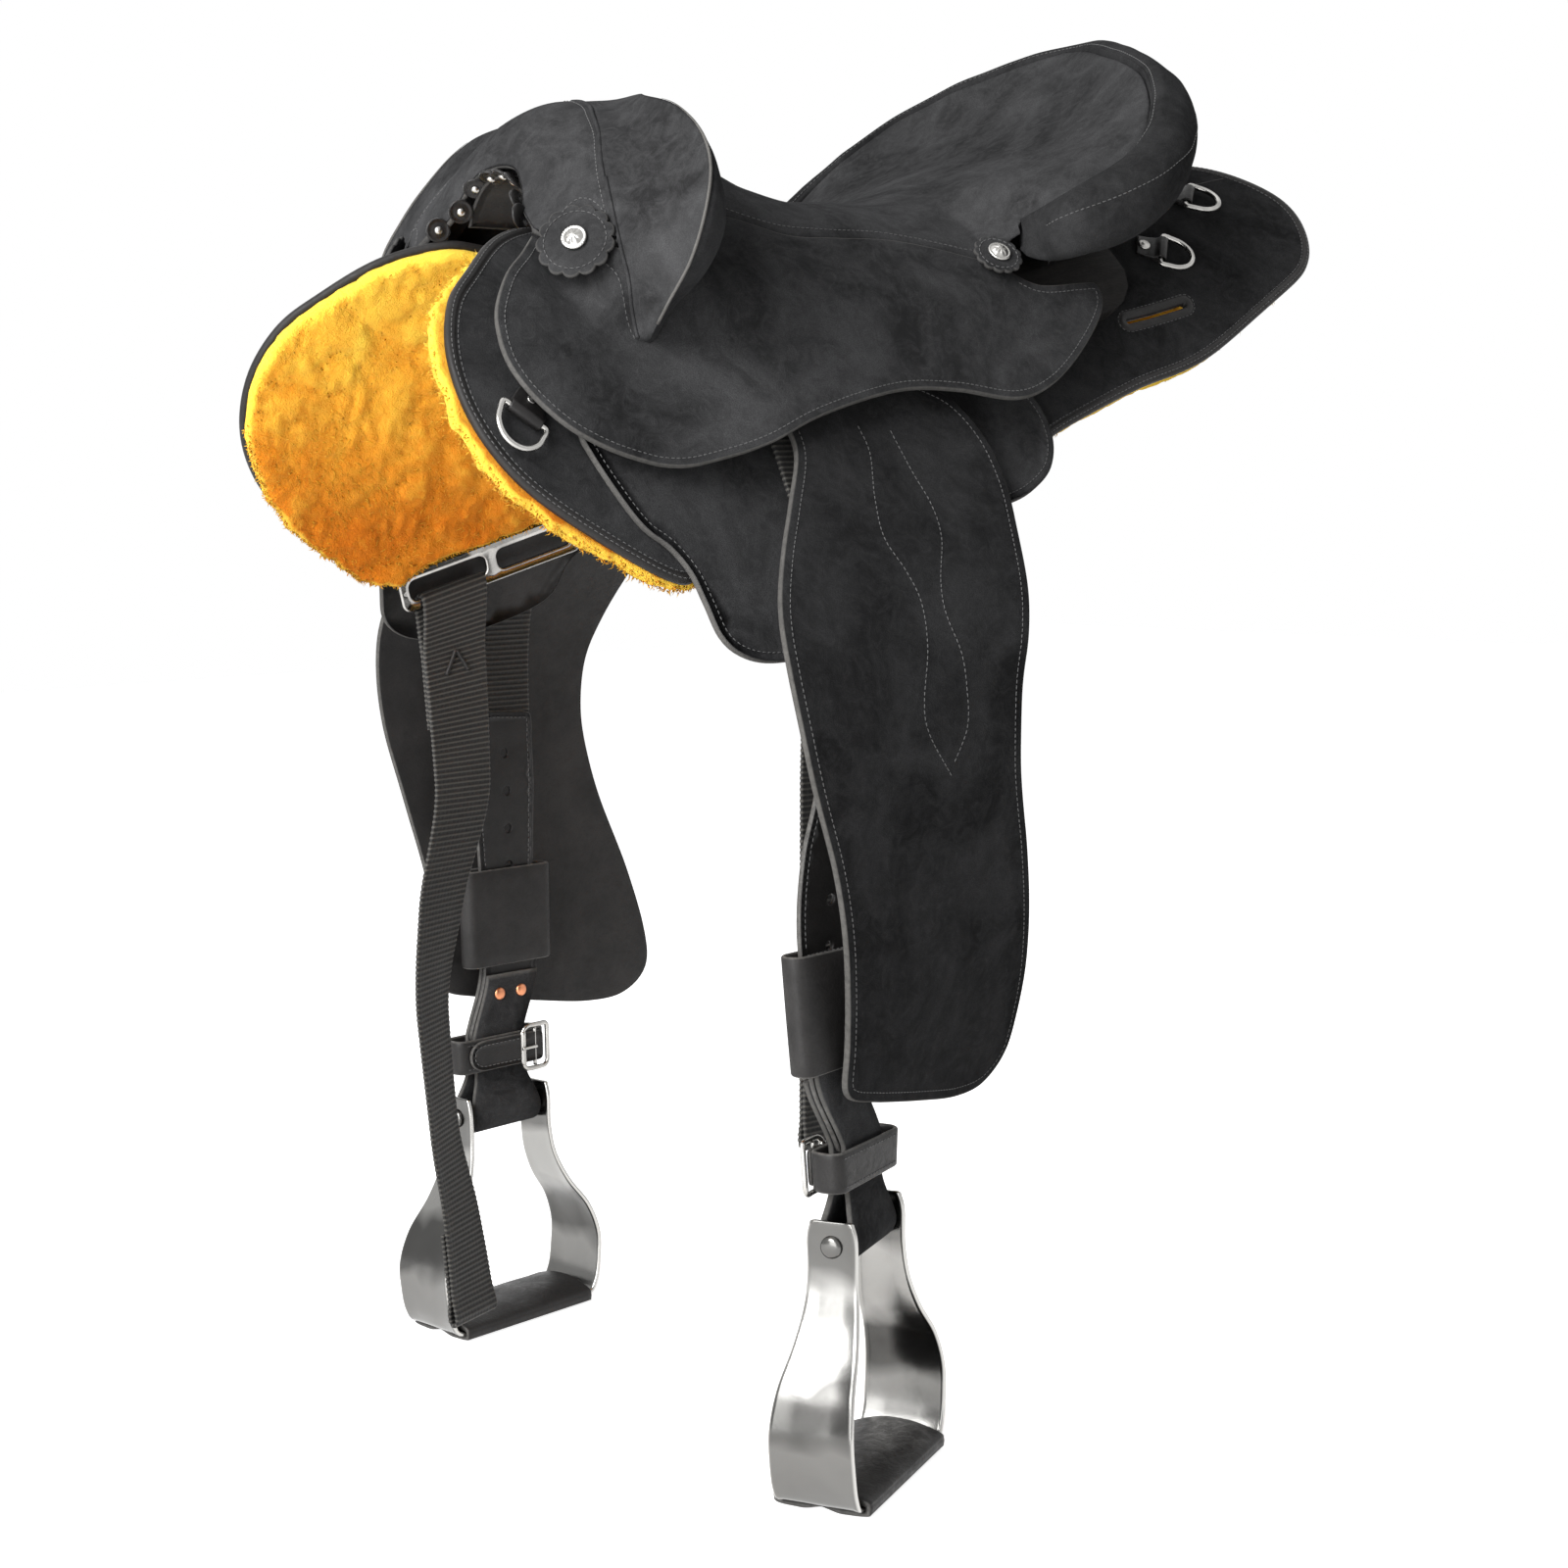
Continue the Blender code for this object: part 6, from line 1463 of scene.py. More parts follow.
def make_pommel():
    columns = POMMEL_ROWS.shape[1] - 1
    line = cornered_line([(LAST_ROW, 0), (LAST_ROW, columns), (-LAST_ROW, columns), (-LAST_ROW, 0)], 0.10)
    rows = [(0.060, 1.0, 0.0), (0.020, 0.92, 0.6), (0.0, 0.6, 0.6), (0.0, 0.4, 0.6), (0.020, 0.08, 0.6),
            (0.060, 0.0, 0.0)]
    pattern = cut([line], rows, (0.16, 0.16))
    sew("pommel_leather", pattern, pommel_place, ("suede", "inner_face"), "saddle", "pommel_cover")
    runs = []
    reach = np.linspace(0.1, LAST_ROW - 0.1, 60)
    turn = np.radians(np.linspace(-70, 80, 26))
    row, column = FRONT_ROSETTE_PLACE
    tab = 1.32
    for label, sign in reversed(SIDES.items()):
        runs.append(on_face(pommel_place, stack(reach * sign, pommel_fold(reach) - 0.24)))
        line = stack((row - tab * 0.86 * np.cos(turn)) * sign, column + 0.10 + tab * np.sin(turn))
        runs.append(on_face(pommel_place, line))
        fold = pommel_point(reach * sign, pommel_fold(reach), 0.0)
        wire(label + "_pommel_fold", fold, 0.0012, "suede", "saddle", around=8)
    stitches("pommel_stitches", runs, "saddle")

    half_rows = (len(GULLET_ARCH) - 1) * GULLET_SCALE
    back = GULLET_FRONT + GULLET_DEPTH
    corners = [(-half_rows, GULLET_FRONT), (half_rows, GULLET_FRONT), (half_rows, back), (-half_rows, back)]
    rows = [(0.0012, 1.0, 0.0), (0.0004, 0.9, 0.3), (0.0, 0.5, 0.3), (0.0004, 0.1, 0.3), (0.0012, 0.0, 0.0)]
    pattern = cut([cornered_line(corners, 0.0016)], rows, (0.0030, 0.0060))
    sew("gullet_leather", pattern, lambda a, x, h: gullet_place(a / GULLET_SCALE, x, h), "lining", "saddle",
        "gullet_lining")
    make_petals()


def make_seat():
    half = open_line(rim_line()[len(rim_line()) // 2:], 0.0030)
    half[0, 1] = 0.0002
    front = [(SEAT_FRONT, y) for y in np.linspace(half[-1, 1], 0.0004, 20)[1:]]
    half = softened_run(np.concatenate([half, front]), 2)
    line = np.concatenate([half, half[::-1] * (1, -1)])
    spine = stack(np.clip(line[:, 0], -0.098, 0.200), np.sign(line[:, 1]) * 0.0004)
    rows = [(0.0064, 1.0), (0.0036, 0.98), (0.0016, 0.90), (0.0004, 0.74), (0.0, 0.52), (0.0003, 0.28),
            (0.0012, 0.10), (0.0035, 0.0)]
    shares = (0.02, 0.05, 0.09, 0.14, 0.20, 0.27, 0.35, 0.44, 0.54, 0.64, 0.75, 0.87, 1.0)
    at, faces = dish(line, spine, rows, shares)
    x, y, h = at.T
    points = seat_place(x, y, h)
    points[:, 2] += 0.0005 * np.sin(x * 95 + 3 * np.sin(y * 60)) * np.sin(y * 70) * (h > 0.95)
    make("seat_leather", points, faces, "suede", "saddle", "seat")
    side = [(x, float(seat_edge(x)[0])) for x in (-0.112, -0.095, -0.074, -0.040, 0.000, 0.035, 0.060, 0.070)]
    runs = [on_face(seat_place, open_line([(x, sign * (y - 0.0042)) for x, y in side], 0.004))
            for sign in (1, -1)]
    stitches("seat_stitches", runs, "saddle")


def cantle_rim(spacing):
    edge = open_line(rim_line(CANTLE_STATIONS[0]), spacing)
    return np.column_stack([edge, seat_edge(edge[:, 0])[1]])


def make_cantle():
    rim = cantle_rim(0.0035)
    tangent = unit(np.gradient(rim[:, :2], axis=0))
    flat = np.zeros(len(rim))
    length = run_lengths(rim[:, :2])
    from_end = np.minimum(length, length[-1] - length)
    square = np.clip(1.0 - 0.5 * from_end / 0.019, 0, 1)[:, None]
    sideways = stack(flat, np.sign(rim[:, 1]), flat)
    outward = unit(stack(tangent[:, 1], -tangent[:, 0], flat) * (1 - square) + sideways * square)
    full = np.sin(math.pi * length / length[-1]) ** 0.6
    reach = BAND_REACH * (0.22 + 0.78 * full)
    drop = BAND_DROP * (0.24 + 0.76 * full)
    outline = np.array([(flat + 0.0002, flat - 0.0034), (flat + 0.0022, flat - 0.0010),
                        (0.16 * reach, 0.0024 * full), (0.32 * reach, 0.0036 * full),
                        (0.55 * reach, -0.025 * drop), (0.80 * reach, -0.13 * drop), (reach, -0.36 * drop),
                        (0.93 * reach, -0.66 * drop), (0.62 * reach, -0.92 * drop), (0.24 * reach, -drop),
                        (RIM_GAP + flat, -0.86 * drop), (RIM_GAP + flat, -0.40 * drop)])
    section = around(np.moveaxis(outline, 1, 2), 72)
    rings = rim[:, None] + outward[:, None] * section[:, :, :1].transpose(1, 0, 2)
    rings = rings + section[:, :, 1].T[:, :, None] * UP
    loft("cantle_leather", rings, "dark_suede", "saddle", "cantle_back")
    rings = rings[4:-4]
    runs = [(rings[:, k], unit(rings[:, k] - rings.mean(1)), False) for k in (9, 36)]
    stitches("cantle_stitches", runs, "saddle")


POLEY_TOP = (
    ((-0.1270, 0.0002, 0.1105), (-0.1215, 0.0002, 0.1010)),
    ((-0.1410, 0.0430, 0.1072), (-0.1240, 0.0340, 0.0880)),
    ((-0.1640, 0.0820, 0.0995), (-0.1300, 0.0600, 0.0680)),
    ((-0.1680, 0.1140, 0.0905), (-0.1420, 0.0800, 0.0500)),
    ((-0.1725, 0.1420, 0.0735), (-0.1570, 0.0970, 0.0320)),
)
POLEY_SLIT = (
    ((-0.2090, 0.1045), (-0.1800, 0.1610, 0.0530), (-0.1680, 0.1045)),
    ((-0.2060, 0.1165), (-0.1905, 0.1700, 0.0280), (-0.1760, 0.1140)),
    ((-0.2035, 0.1265), (-0.1945, 0.1610, 0.0020), (-0.1820, 0.1235)),
    ((-0.2010, 0.1350), (-0.1960, 0.1420, -0.0190), (-0.1870, 0.1330)),
)
POLEY_TIP = ((-0.1995, 0.1408), (-0.1945, 0.1418), (-0.1885, 0.1398))


def poley_rings(side):
    rows = []
    for k, (welt, back) in enumerate(POLEY_TOP):
        front = pommel_point(float(k), pommel_fold(float(k)) + 0.07, -0.0004)
        rows.append((front, np.array(welt), np.array(back)))
    for front, welt, back in POLEY_SLIT:
        rows.append((jockey_point(*front, OFF, 0.0006), np.array(welt), jockey_point(*back, OFF)))
    front, welt, back = POLEY_TIP
    lifts = (0.0004, 0.0035, 0.0004)
    rows.append(tuple(jockey_point(*spot, OFF, lift) for spot, lift in zip((front, welt, back), lifts)))
    rings = []
    for k, (front, welt, back) in enumerate(rows):
        ahead = rows[min(k + 1, len(rows) - 1)][1] - rows[max(k - 1, 0)][1]
        face = unit(np.cross(ahead, welt - front))
        if face[0] > 0:
            face = -face
        full = math.sin(math.pi * (k + 0.6) / (len(rows) + 0.2)) ** 0.5
        depth = POLEY_DEPTH * full
        span = welt - front
        hollow = face * -POLEY_HOLLOW * full
        inner = (front + back) / 2 - np.array((0, 0.25 * np.linalg.norm(front - back), 0.004 * full))
        ring = [front, front + span * 0.35 + hollow, front + span * 0.72 + hollow * 0.6, welt,
                welt - face * depth * 0.45 - unit(span) * 0.001,
                welt * 0.72 + back * 0.28 - face * depth, welt * 0.35 + back * 0.65 - face * depth * 0.8,
                back, inner]
        if k in (0, len(rows) - 1):
            lean = back - welt
            ring = [front, front + span * 0.35, front + span * 0.72, welt, welt + lean * 0.2,
                    welt + lean * 0.5, welt + lean * 0.8, back, (front + back) / 2 - UP * 0.002]
        rings.append([(p[0], side * max(p[1], 0.0002), p[2]) for p in ring])
    return np.array(rings)


def make_poleys():
    welt_column = 18

    def side_piece(label, side):
        net = dense(poley_rings(side), 64)
        closed = np.moveaxis(np.concatenate([net, net[:, :1]], 1), 1, 0)
        spans = [dense(closed[a:b + 1], (b - a) * 6 + 1)[:-1] for a, b in ((0, 3), (3, 7), (7, 9))]
        rings = np.moveaxis(np.concatenate(spans), 0, 1)
        loft(label + "_poley_leather", rings, "suede", "saddle", "poley_" + label)
        middle = rings.mean(1)
        welt = rings[:, welt_column]
        welt = (welt + unit(welt - middle) * 0.0004)[18:-3]
        thick = 0.0009 * np.clip(np.linspace(0.1, 3.0, len(welt)), 0, 1)
        wire(label + "_poley_welt", welt, thick, "welt", "saddle", around=8)
        seam = (rings[:, 0] + unit(rings[:, 0] - middle) * 0.0001)[26:-1]
        wire(label + "_poley_seam", seam, 0.0011, "suede", "saddle", around=8)

    both(side_piece)


def rosette_frame(end, side):
    """Base, axes, face direction and radius of a rosette."""
    if end == "front":
        here = pommel_point(side * FRONT_ROSETTE_PLACE[0], FRONT_ROSETTE_PLACE[1], 0.0)
        facing, radius, clear = FRONT_ROSETTE_FACE, FRONT_ROSETTE, FRONT_ROSETTE_CLEAR
    else:
        here = jockey_point(*REAR_ROSETTE_PLACE, side)
        facing, radius, clear = REAR_ROSETTE_FACE, REAR_ROSETTE, REAR_ROSETTE_CLEAR
    face = unit(np.array(facing) * (1, side, 1))
    first = np.array(Vector(face).orthogonal().normalized())
    return here + face * clear, first, np.cross(face, first), face, radius


def make_rosettes():
    t = full_turn(SCALLOPS * 12)
    scallop = np.abs(np.sin(t * SCALLOPS / 2)) ** 0.7
    thick = ROSETTE_LEATHER
    levels = [(0.02, 0.0), (0.5, 0.0), (0.86, 0.0), (0.97, 0.0), (1.0, 0.35), (1.0, 0.70), (0.975, 0.95),
              (0.94, 1.0), (0.88, 0.98), (0.84, 0.92), (0.78, 0.93), (0.60, 0.95), (0.30, 0.98), (0.02, 0.98)]
    edges = [np.full(len(t), 0.5 if 0.3 < h < 0.99 and share > 0.96 else 0.0) for share, h in levels]

    def rosette(label, side, end, droop):
        base, first, second, face, radius = rosette_frame(end, side)
        rings = []
        for share, h in levels:
            reach = radius * share * (0.845 + 0.105 * scallop if share > 0.86 else 0.845)
            height = thick * h - droop * share * share
            rings.append(base + flat_ring(t, reach, first, second) + face * height)
        loft(f"{label}_{end}_rosette", rings, "suede", "saddle", f"rosette_{end}_{label}",
             edge=np.concatenate(edges))
        row = base + flat_ring(t, radius * 0.74, first, second) + face * (thick * 0.94 - droop * 0.62)
        stitches(f"{label}_{end}_rosette_stitches", [(row, np.tile(face, (len(row), 1)), True)], "saddle")
        concho(label, end, base, face, thick)

    def side_piece(label, side):
        rosette(label, side, "front", 0.0016)
        rosette(label, side, "rear", 0.0004)

    both(side_piece)


def concho(label, end, base, face, thick):
    """Domed silver button: rope rim, a groove and an engraved flower."""
    shape = ((0.96, 0.0), (1.0, 0.12), (1.0, 0.30), (0.95, 0.44), (0.86, 0.48), (0.80, 0.38), (0.72, 0.46),
             (0.60, 0.66), (0.47, 0.80), (0.34, 0.86), (0.22, 0.93), (0.12, 0.99), (0.03, 1.0))
    top = thick + FIT_GAP * 0.2
    profile = [(CONCHO_RADIUS * share, top + CONCHO_HEIGHT * height) for share, height in shape]

    def relief(t, k):
        if k in (3, 4):
            return 0.0002 * np.sin(t * 26)
        if 6 < k < 11:
            return 0.00030 * np.cos(t * 8) * (1 if k % 2 else 0.6)
        return 0.0 * t

    turned(f"{label}_{end}_concho_button", profile, base, face, "concho", "saddle", 78,
           f"concho_{end}_{label}", relief=relief)


def make_rings():
    half = DEE_WIDTH / 2 - DEE_WIRE / 2
    reach = DEE_REACH - DEE_WIRE
    corners = [(half * share, 0.0) for share in (-1.0, -0.5, 0.0, 0.5, 1.0)]
    corners += [(half * math.cos(a), reach * (0.30 + 0.70 * math.sin(a)))
                for a in np.radians((0, 22, 45, 67, 90, 113, 135, 158, 180))]
    bow = np.array(smooth_run(corners, 0.0012, closed=True))

    def side_piece(label, side):
        for kind, spot in DEES.items():
            lift = LAYER_GAP + KEEPER_LEATHER + FIT_GAP + DEE_WIRE / 2
            base, along, toward, outward = form_frame(*spot, side, lift)
            path = base + np.outer(bow[:, 0], along) + np.outer(bow[:, 1], toward)
            wire(f"{label}_{kind}_dee_ring", path, DEE_WIRE / 2, "steel", body_name("ring_" + kind, label),
                 f"dee_{kind}_{label}", closed=True, around=12, up=outward)
            keeper(label, kind, base, along, toward, outward)

    both(side_piece)


def keeper(label, kind, base, along, toward, outward):
    """Leather tab folded round the dee's bar and held by a small screw."""
    bore = DEE_WIRE / 2 + FIT_GAP * 0.6
    wall = bore + KEEPER_LEATHER
    foot, top = -wall + 0.0001, -wall + 2 * KEEPER_LEATHER
    outer = [(-KEEPER_REACH, foot), (-KEEPER_REACH - 0.0002, -wall + KEEPER_LEATHER), (-KEEPER_REACH, top),
             (-KEEPER_REACH * 0.6, top), (-wall * 1.3, wall * 0.15), (-wall * 0.6, wall * 0.9)]
    outer += [(wall * math.sin(a), wall * math.cos(a)) for a in np.radians(np.arange(0, 181, 15))]
    outer += [(-KEEPER_REACH * 0.5, foot)]
    rows = [(0.0003, 1.0, 0.0), (0.0, 0.96, 0.0), (0.0, 0.5, 0.0), (0.0, 0.04, 0.0), (0.0003, 0.0, 0.0)]
    pattern = cut([cornered_line(outer, 0.0012), circle((0, 0), bore, 16)], rows, (0.0014, 0.0014))

    def place(a, b, h):
        taper = 1.0 - 0.22 * np.clip(-a / KEEPER_REACH, 0, 1) ** 2
        width = KEEPER_WIDTH * (h - 0.5) * taper
        return base + np.outer(a, toward) + np.outer(b, outward) + np.outer(width, along)

    sew(f"{label}_{kind}_dee_keeper", pattern, place, "smooth", "saddle", f"keeper_dee_{kind}_{label}")
    screw = base - toward * KEEPER_REACH * 0.72 + outward * top
    grow = 1.0 if kind == "front" else 1.8
    profile = [(radius * grow, height) for radius, height in
               ((0.0022, -0.0002), (0.0024, 0.0004), (0.0020, 0.0011), (0.0014, 0.0009), (0.0010, 0.0016))]
    profile += [(0.0002, 0.0018)]
    turned(f"{label}_{kind}_keeper_button", profile, screw, outward, "concho", "saddle", 24)


fender_scroll = (
    ((0.048, 0.188), (0.049, 0.206), (0.039, 0.235), (0.034, 0.260), (0.039, 0.281), (0.041, 0.299),
     (0.036, 0.322), (0.027, 0.348), (0.029, 0.364), (0.045, 0.386)),
    ((0.071, 0.191), (0.075, 0.219), (0.079, 0.241), (0.076, 0.262), (0.061, 0.289), (0.056, 0.307),
     (0.060, 0.327), (0.060, 0.343), (0.058, 0.362), (0.047, 0.379)),
)


def make_fenders(sizes):
    line = softened(fender_line(0.0036), 3)
    pattern = cut([line], cut_rows(sizes.edge_round), (0.0085, 0.0085))
    row = inset(line, 0.0056)

    def side_piece(label, side):
        place = fender_place(side)
        body = body_name("hanging_set", label)
        sew(label + "_fender_leather", pattern, place, ("dark_suede", "inner_face"), body, "fender_" + label)
        runs = [on_face(place, row, closed=True)]
        runs += [on_face(place, open_line(points, 0.004)) for points in fender_scroll]
        stitches(label + "_fender_stitches", runs, body)

    both(side_piece)


def band(name, path, half, thick, place, finish, body, node):
    """Leather strap along a path of (lift, v) with rounded cut edges; half may change along it."""
    lip = 0.0010
    normal = path_normal(path)
    half = np.broadcast_to(half, (len(path),))
    rim = [(1.0, 0.25, 0.6, 1.0), (1.0, 0.0, 0.0, 1.0), (1.0, 0.25, -0.6, 1.0)]
    ring = [(share, 1.0, 1.0, 0.0) for share in (-1.0, -0.6, -0.2, 0.2, 0.6, 1.0)] + rim
    ring += [(-share, pulled, -h, edge) for share, pulled, h, edge in ring]
    rings = []
    for share, pulled, h, _ in ring:
        lift, v = (path + normal * (thick / 2 * h)).T
        rings.append(place(share * (half - lip * pulled), lift, v))
    edge = np.tile([edge for *_, edge in ring], (len(path), 1))
    edge[0] = edge[-1] = 1.0
    return loft(name, np.stack(rings, 1), finish, body, node, edge=edge.ravel())


def webbing_strap(name, path, half, place, body, node, sizes):
    """Woven strap along a path of (lift, v): ribs across it and selvedges that show their teeth."""
    lengths = run_lengths(path)
    marks = np.linspace(0, lengths[-1], int(lengths[-1] / sizes.rib_pitch) * 5 + 1)
    path = stack(np.interp(marks, lengths, path[:, 0]), np.interp(marks, lengths, path[:, 1]))
    normal = path_normal(path)
    crown = 0.5 + 0.5 * np.cos(marks / sizes.rib_pitch * 2 * math.pi)
    sunk = sizes.rib_depth * (1.0 - crown)
    share = np.array((-1.0, -0.94, -0.90, -0.5, 0.0, 0.5, 0.90, 0.94, 1.0))
    sewn = np.array((0.5, 0.25, 1.0, 1.0, 1.0, 1.0, 1.0, 0.25, 0.5))
    rings, crown_highlights, flats = [], [], []
    for sign in (1, -1):
        for s, w in zip(share * sign, sewn):
            tooth = SELVEDGE_TOOTH * (abs(s) > 0.95)
            c = (half - tooth * (1.0 - crown)) * s
            off = (WEBBING / 2 - sunk * w - tooth) * sign
            q = path + normal * off[:, None]
            rings.append(place(c, q[:, 0], q[:, 1]))
            # Mask of the rib crowns, full on the selvedges: painted highlight in the webbing finish.
            crown_highlights.append(crown * (1.0 if abs(s) > 0.93 else 0.82))
            flats.append(stack(c, marks, 0 * marks))
    return loft(name, np.stack(rings, 1), "webbing", body, node, flat=np.stack(flats, 1).reshape(-1, 3),
                edge=np.stack(crown_highlights, 1).ravel())


def sleeve(name, half, front, back, leather, levels, side, finish, body, node, slot):
    """Leather band round the strap with rounded lips at its top and foot."""
    middle = (front + back) / 2
    size = np.array((2 * half, front - back))
    place = strap_place(side)
    top, foot = levels
    lip = leather * 0.45
    walls = np.linspace(top + lip, foot - lip, 9)
    ring = [(leather, v, 0.0) for v in walls]
    ring += [(leather * 0.78, foot - lip * 0.3, 1.0), (leather * 0.5, foot, 1.0),
             (leather * 0.22, foot - lip * 0.3, 1.0)]
    ring += [(0.0, v, 0.0) for v in walls[::-1]]
    ring += [(leather * 0.22, top + lip * 0.3, 1.0), (leather * 0.5, top, 1.0),
             (leather * 0.78, top + lip * 0.3, 1.0)]
    rings, edges = [], []
    for grow, v, edge in ring:
        corner = min(0.0048 + grow, (front - back) / 2 + grow - 1e-5)
        line = rounded_box((0, middle), size + 2 * grow, corner, 0, 5, 0.004)
        rings.append(place(line[:, 0], line[:, 1], np.full(len(line), v)))
        edges.append(np.full(len(line), edge))
    return loft(name, np.array(rings), finish, body, node, slot, closed=True, edge=np.concatenate(edges))


def make_straps(sizes):
    half = STRAP_WIDTH / 2
    taper, thick = 0.004, 0.0030
    right = [(half, STRAP_JOIN), (half, 0.400), (half - taper, 0.500), (half - taper, STRAP_END)]
    left = [(-c, v) for c, v in reversed(right)]
    line = softened(closed_line([right, left], 0.003), 3)
    holes = [circle((0.002, HOLE_FIRST + HOLE_PITCH * k), HOLE_SIZE / 2, 18) for k in range(HOLE_COUNT)]
    pattern = cut([line] + holes, cut_rows(0.0009), (0.006, 0.006))
    row = inset(line, 0.0042)
    row = row[row[:, 1] < SLEEVE_TOP + 0.004]
    row = row[np.argsort(np.arctan2(row[:, 1] - SLEEVE_TOP, row[:, 0]))]
    down = np.linspace(STRAP_TOP, STRAP_JOIN + 0.012, 200)

    def side_piece(label, side):
        body = body_name("hanging_set", label)
        place = strap_place(side)
        webbing_strap(label + "_strap_webbing", stack(strap_lift(down), down), half, place, body,
                      "stirrup_leather_" + label, sizes)

        def leather_place(c, v, h):
            lap = 0.0013 * np.clip((STRAP_JOIN + 0.016 - v) / 0.004, 0, 1)
            return place(c, strap_lift(v) - lap + (h - 0.5) * thick, v)

        sew(label + "_strap_leather", pattern, leather_place, "smooth", body)
        stitches(label + "_strap_stitches", [on_face(leather_place, row, h) for h in (0.0, 1.0)], body)
        fittings(label, side, body, place)

    both(side_piece)


def fittings(label, side, body, place):
    """Keeper sleeve, stirrup loop with its rivets, hobble strap and buckle."""
    clear = FIT_GAP + 0.0003
    leg = WEBBING / 2 + clear + STRAP_LEATHER / 2
    foot = HOBBLE_TOP + HOBBLE_DEPTH
    reach = ROLLER_RADIUS + FIT_GAP + STRAP_LEATHER / 2
    bend = [(reach * math.cos(t), BOLT_V + reach * math.sin(t)) for t in np.radians(np.arange(-10, 191, 20))]
    path = [(leg, LOOP_OUTER_TOP), (leg, 0.550), (leg, HOBBLE_TOP - 0.006), (leg + 0.0003, foot), *bend,
            (-leg - 0.0003, foot), (-leg, HOBBLE_TOP - 0.006), (-leg, LOOP_INNER_TOP)]
    path = open_line(path, 0.003)
    flare = np.clip((path[:, 1] - foot) / (BOLT_V - foot), 0, 1)
    wide = LOOP_WIDTH / 2 + (NECK_HALF - 0.0030 - LOOP_WIDTH / 2) * flare * flare * (3 - 2 * flare)
    thick = STRAP_LEATHER - 0.0003
    band(label + "_loop_leather", path, wide, thick, place, "suede", body, "stirrup_loop_" + label)
    rivet = [(0.0042, -0.0003), (0.0044, 0.0003), (0.0038, 0.0011), (0.0024, 0.0017), (0.0006, 0.0019)]
    v = LOOP_INNER_TOP + 0.013
    for k, c in enumerate((-0.009, 0.009)):
        at = place(c, -leg - thick / 2, v)
        turned(f"{label}_loop_rivet_{k + 1}", rivet, at, at - place(c, 0.0, v), "copper", body, 28)

    front = leg + STRAP_LEATHER / 2 + SLEEVE_GAP
    sleeve(label + "_keeper_sleeve", SLEEVE_WIDTH / 2 - SLEEVE_LEATHER, front, -WEBBING / 2 - SLEEVE_GAP,
           SLEEVE_LEATHER, (SLEEVE_TOP, SLEEVE_TOP + SLEEVE_DEPTH), side, "inner_face", body,
           "strap_keeper_" + label, "smooth_leather")
    front = leg + STRAP_LEATHER / 2 + clear + 0.0004
    sleeve(label + "_hobble_band", HOBBLE_WIDTH / 2 - HOBBLE_LEATHER, front, -front, HOBBLE_LEATHER,
           (HOBBLE_TOP, foot), side, "smooth", body, "hobble_strap_" + label, "suede")
    rows = []
    c = np.linspace(-HOBBLE_WIDTH / 2 + 0.006, HOBBLE_WIDTH / 2 - 0.006, 24)
    for v in (HOBBLE_TOP + 0.0035, foot - 0.0035):
        for sign in (1, -1):
            points = place(c, sign * (front + HOBBLE_LEATHER), v)
            rows.append((points, unit(points - place(c, 0.0, v)), False))
    stitches(label + "_hobble_stitches", rows, body)
    buckle(label, side, body, place, -front - HOBBLE_LEATHER)


def buckle(label, side, body, place, face):
    """Roller buckle: bent wire frame, a bar with its tongue, and the strap's pointed tab through it."""
    shift = BUCKLE_SHIFT[side]
    inward = -1 if shift > 0 else 1
    middle = HOBBLE_TOP + HOBBLE_DEPTH / 2
    wide, tall = BUCKLE_SIZE
    r = BUCKLE_WIRE / 2 * 0.88
    lift = face - r - 0.0016

    def bar(kind, line, lifts, radius, **shape):
        path = place(line[:, 0], lifts + 0 * line[:, 0], line[:, 1])
        wire(f"{label}_buckle_{kind}", path, radius, "steel", body, **shape)

    line = rounded_box((shift, middle), (wide - 2 * r, tall - 2 * r), 0.0045, 0, 6, 0.002)
    bar("frame", line, lift - 0.0010 * np.cos((line[:, 0] - shift) / wide * math.pi), r,
        node="hobble_buckle_" + label, closed=True, around=12)
    line = open_line([(shift, middle - tall / 2 + r * 2), (shift, middle + tall / 2 - r * 2)], 0.002)
    bar("bar", line, lift + 0.0004, r * 0.8)
    end = shift + inward * (wide / 2 - r)
    line = open_line([(end, middle - tall / 2 + 0.0050), (end, middle + tall / 2 - 0.0050)], 0.002)
    bar("roller", line, lift - 0.0001, r * 1.35, around=14)
    line = [(shift, middle), (shift + inward * wide * 0.30, middle), (end + inward * 0.0022, middle)]
    line = open_line(line, 0.001)
    bar("tongue", line, lift - 0.0022 - 0.0006 * np.linspace(0, 1, len(line)), 0.0011, around=8)

    thick = HOBBLE_LEATHER * 0.85
    start, far = shift - inward * wide * 0.30, shift + inward * HOBBLE_WIDTH * 0.74
    half = HOBBLE_DEPTH / 2 - 0.0012
    tip = 0.012
    line = [(start, middle + inward * half), (start, middle - inward * half)]
    line += [(far - inward * tip * (1 - math.sin(t)), middle - inward * half * math.cos(t))
             for t in np.linspace(0, math.pi, 10)]
    line = softened(cornered_line(line, 0.0025), 2)

    def tab_place(c, v, h):
        near_buckle = np.exp(-((c - shift - inward * wide * 0.2) / 0.012) ** 2)
        return place(c, face - 0.0004 - thick * (1 - h) - 0.0012 * near_buckle, v)

    pattern = cut([line], cut_rows(0.0009), (0.005, 0.005))
    sew(label + "_hobble_tab", pattern, tab_place, "smooth", body, slot="suede")
    row = inset(line, 0.0032)
    row = row[np.abs(row[:, 0] - shift) > wide * 0.5]
    stitches(label + "_tab_stitches", [on_face(tab_place, row, 0.0)], body)


